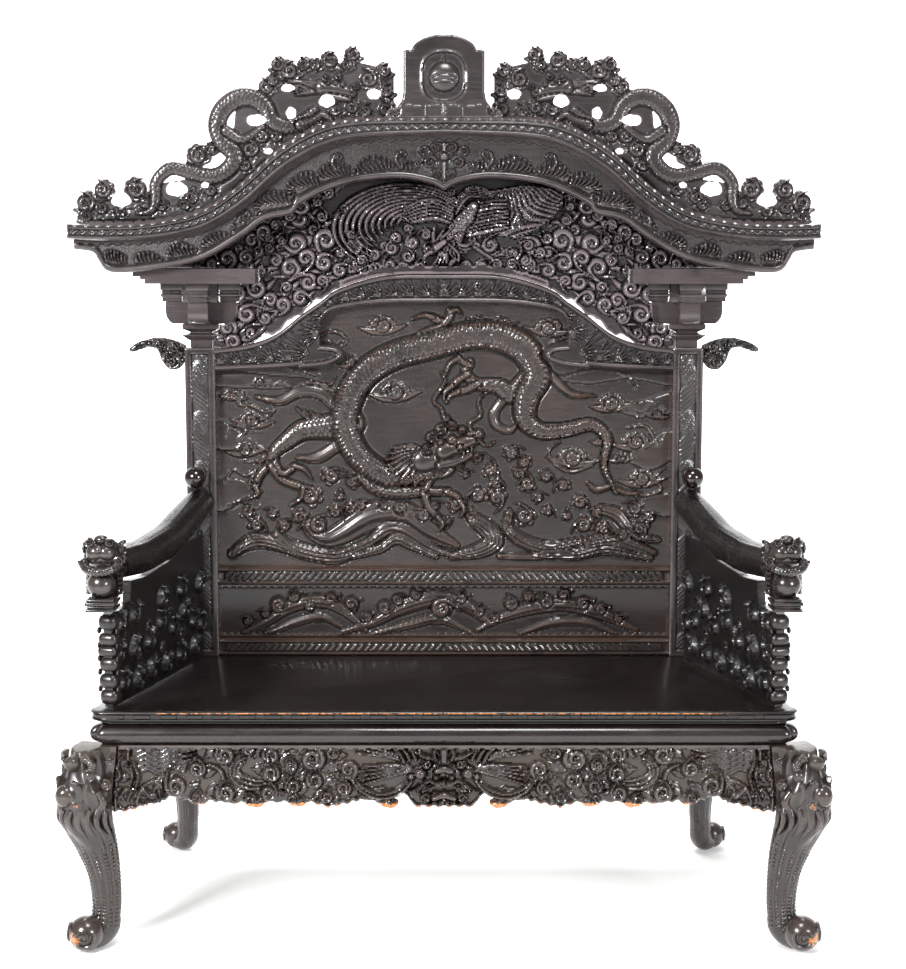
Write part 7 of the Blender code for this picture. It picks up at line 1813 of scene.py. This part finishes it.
def makeArm(label, side, p=arms):
    depths = np.linspace(0.1697, -0.240, 190)
    soft = np.convolve(np.pad(armMiddle(depths), 12, mode="edge"), np.ones(25) / 25, mode="valid")
    path = np.array([(0.508 + (p["post"] - y) * p["splay"], y, z) for y, z in zip(depths, soft)])
    radii = 0.0302 * (1 + 0.12 * np.sin(np.linspace(0, math.pi, len(path))))
    length = np.linalg.norm(np.diff(path, axis=0), axis=1).sum()

    def scales(share, angles):
        # rows of small beads between cords, as on the back of a dragon
        row = angles * p["rows"] / (2 * math.pi)
        number = np.floor(row)
        across = 2 * (row - number) - 1
        step = share * length / p["pitch"] + 0.35 * across * np.where(number % 2 < 1, 1, -1)
        bead = np.sqrt(np.clip(1 - 0.7 * across ** 2, 0, 1)) * np.abs(np.sin(math.pi * step)) ** 0.7
        return 0.955 + 0.055 * bead

    rings = sweep(path, radii, around=80, skin=scales)
    for vert in rings.verts:
        vert.co.y = min(vert.co.y, 0.1697)
    x, y, z = p["head"], p["front"], 0.735
    bodies = [rings, ball((x - 0.002, y + 0.022, z + 0.014), 0.034, (1.02, 1.25, 0.92), 40)]
    for sideX in (-1, 1):  # both sides of the head alike
        bodies.append(ball((x + sideX * 0.009, y - 0.006, z + 0.023), 0.0185, segments=32))
        bodies.append(curl((x + sideX * 0.019, y - 0.020, z + 0.044), 0.0078, 0.0026, (0, -1, 0), turn=sideX,
                           start=1.2, turns=1.7))
        bodies.append(ball((x + sideX * 0.019, y - 0.012, z + 0.042), 0.0080, segments=16))
        bodies.append(curl((x + sideX * 0.032, y - 0.012, z + 0.006), 0.0085, 0.0028, (0, -1, 0), turn=-sideX,
                           start=0.4, turns=1.7))
        bodies.append(ball((x + sideX * 0.030, y - 0.006, z + 0.005), 0.0088, segments=16))
        bodies.append(curl((x + sideX * 0.033, y + 0.012, z + 0.028), 0.0110, 0.0032, (sideX, 0, 0), turn=sideX,
                           start=0.6, turns=1.8))
        bodies.append(curl((x + sideX * 0.034, y + 0.034, z + 0.006), 0.0120, 0.0034, (sideX, 0, 0), turn=-sideX,
                           start=2.4, turns=1.8))
        for step in range(5):  # swept hair behind the cheek
            bend = [(x + sideX * 0.028, y + 0.016 + 0.004 * step, z - 0.010 + 0.011 * step),
                    (x + sideX * 0.035, y + 0.040, z - 0.012 + 0.012 * step),
                    (x + sideX * 0.030, y + 0.072 + 0.004 * step, z - 0.004 + 0.009 * step)]
            bodies.append(strand(bend, 6, (0.0036, 0.0044, 0.0012), around=8))
    bodies.append(ball((x, y - 0.002, z + 0.046), 0.0115, (1.2, 1, 0.8), 24))
    bodies.append(ball((x + 0.002, y - 0.020, z + 0.030), 0.0080, segments=20))
    lip = smoothPath([(x - 0.034, y - 0.004, z + 0.000), (x - 0.022, y - 0.026, z - 0.006),
                      (x, y - 0.034, z - 0.009), (x + 0.022, y - 0.026, z - 0.006),
                      (x + 0.034, y - 0.004, z + 0.000)], 14)
    bodies.append(sweep(lip, 0.0088, around=14, skin=ribbed(17, 0.86)))
    bodies.append(ball((x, y - 0.010, z - 0.036), 0.0262, segments=40))
    bodies.append(ball((x, y + 0.022, z - 0.042), 0.033, (0.86, 0.9, 1.05), 32))
    for sideX in (-1, 1):  # whisker frill beside the ball
        for step in range(5):
            bend = [(x + sideX * 0.025, y + 0.004, z - 0.018 - 0.009 * step),
                    (x + sideX * 0.031, y + 0.014, z - 0.020 - 0.009 * step),
                    (x + sideX * 0.030, y + 0.032, z - 0.014 - 0.008 * step)]
            bodies.append(sweep(smoothPath(bend, 5), 0.0034, around=8))
    for rise, reach, tall in ((0, 0.0270, 0.0064), (0.0066, 0.0245, 0.0052), (0.0120, 0.0280, 0.0070),
                              (0.0192, 0.0255, 0.0052)):
        lowZ = z - 0.0845 + rise  # steps of the block under the ball
        bodies.append(block((x - reach, y - 0.008 - reach, lowZ), (x + reach, y + 0.032, lowZ + tall), 0.0024, 3))
    for body in bodies:
        for vert in body.verts:
            vert.co.y = max(vert.co.y, -0.345)
    return finishPiece("arm_carved_" + label, joinBodies(bodies), "black", ["arm_" + label], side=side, smooth=45)


def makeArmPanel(label, side, p=arms):
    length, slant, low = p["length"], math.atan(p["splay"]), 0.4614
    c = Carving(0, length, low, 0.720, 0.0034)
    depth = p["post"] - (length - c.x) * math.cos(slant)
    top = armMiddle(depth) - 0.0397 - c.z
    head = np.where(c.x < 0.105, 0.640 - c.z, top)
    distance = np.minimum(np.minimum(top, head), np.minimum(c.x - 0.016, length - 0.008 - c.x))
    for a, b in p["holes"]:
        dx, dz = c.x - a * length, c.z - p["foot"] - b * 0.1872
        away, angle = np.hypot(dx, dz), np.arctan2(dz, dx)
        distance = np.minimum(distance, away - 0.0125 * (1 + 0.14 * np.sin(5 * angle + a * 30)))
    for step, (a, b) in enumerate(p["clouds"]):
        turn = 1 if step % 2 else -1
        x, z = a * length, p["foot"] + b * 0.195
        c.hook((x, z), 0.0195, 0.0105, turn, 2.9 if turn > 0 else 0.3, tail=1.5, thick=0.26, metres=True)
        c.hook((x + 0.026, z + 0.013), 0.0115, 0.0090, -turn, 1.2 * step, tail=1.2, thick=0.28, metres=True)
    c.h = np.clip(c.h, 0, 0.012)
    c.h *= np.clip((distance + 0.001) / 0.004, 0.3, 1)
    bodies = [carvedBoard(c, distance, -0.008, 0.008, both=True)]
    for z, r, shift in p["rolls"]:  # smooth rolls one over the other on the front edge
        bodies.append(block((0.0075 + shift, -0.0190, z - r), (0.040, 0.0190, z + r), r * 0.86, 4))
    for z in (0.606, 0.578, 0.553, 0.527, 0.495):  # small shells at both sides of the rolls
        bodies += [ball((0.020, y, z), 0.0065, (1.2, 0.5, 1), 14) for y in (-0.0185, 0.0185)]
    turn = Matrix.Translation((p["head"], p["front"], 0)) @ Matrix.Rotation(math.pi / 2 + slant, 4, "Z")
    # the shaded finish is a darker copy of the black polish: painted shade for the panels under the arms
    return finishPiece("arm_panel_carved_" + label, joinBodies(bodies), "shaded", ["arm_panel_" + label], turn=turn,
                       side=side, smooth=45)


for side, label in sides:
    makeArm(label, side)
    makeArmPanel(label, side)
    finishPiece("arm_knob_turned_" + label, ball((0.5143, 0.147, 0.842), 0.0226, segments=48), "knob",
                ["arm_knob_" + label], side=side)
print("arms carved")


# Boards left as they are in the solid model: only their finish is changed

for name in ("roof_board", "gable_board", "apron_back"):
    for holder in nodes[name].material_slots:
        holder.material = woods["plain"]
print("plain boards stained")


# Floor and surroundings

world = bpy.data.worlds.new("studio")
bpy.context.scene.world = world
world.use_nodes = True
setInputs(world.node_tree.nodes["Background"], {"Color": (0.96, 0.965, 0.97, 1), "Strength": 0.33})
floorMesh = bmesh.new()  # a paper sweep: floor, wide curve and wall in one sheet
bmesh.ops.create_grid(floorMesh, x_segments=2, y_segments=60, size=1)
sheetHalf, sheetFront, bendStart, bendRadius = 9, -5.0, 2.2, 3.0
for vert in floorMesh.verts:
    run = (vert.co.y + 1) * sheetHalf + sheetFront
    turned = min(max((run - bendStart) / bendRadius, 0), math.pi / 2)
    rest = max(run - bendStart - bendRadius * math.pi / 2, 0)
    vert.co = (vert.co.x * sheetHalf, min(run, bendStart) + bendRadius * math.sin(turned),
               bendRadius * (1 - math.cos(turned)) + rest)
floorData = bpy.data.meshes.new("floor")
floorMesh.to_mesh(floorData)
floorMesh.free()
floorData.shade_smooth()
floor = bpy.data.objects.new("floor", floorData)
bpy.context.scene.collection.objects.link(floor)
paper = bpy.data.materials.new("matt white studio paper")
paper.use_nodes = True
setInputs(paper.node_tree.nodes["Principled BSDF"], {  # white card, lit through a little from below
    "Base Color": paint("#f4f4f3"), "Roughness": 0.9, "Emission Color": paint("#ffffff"), "Emission Strength": 0.22})
floorData.materials.append(paper)
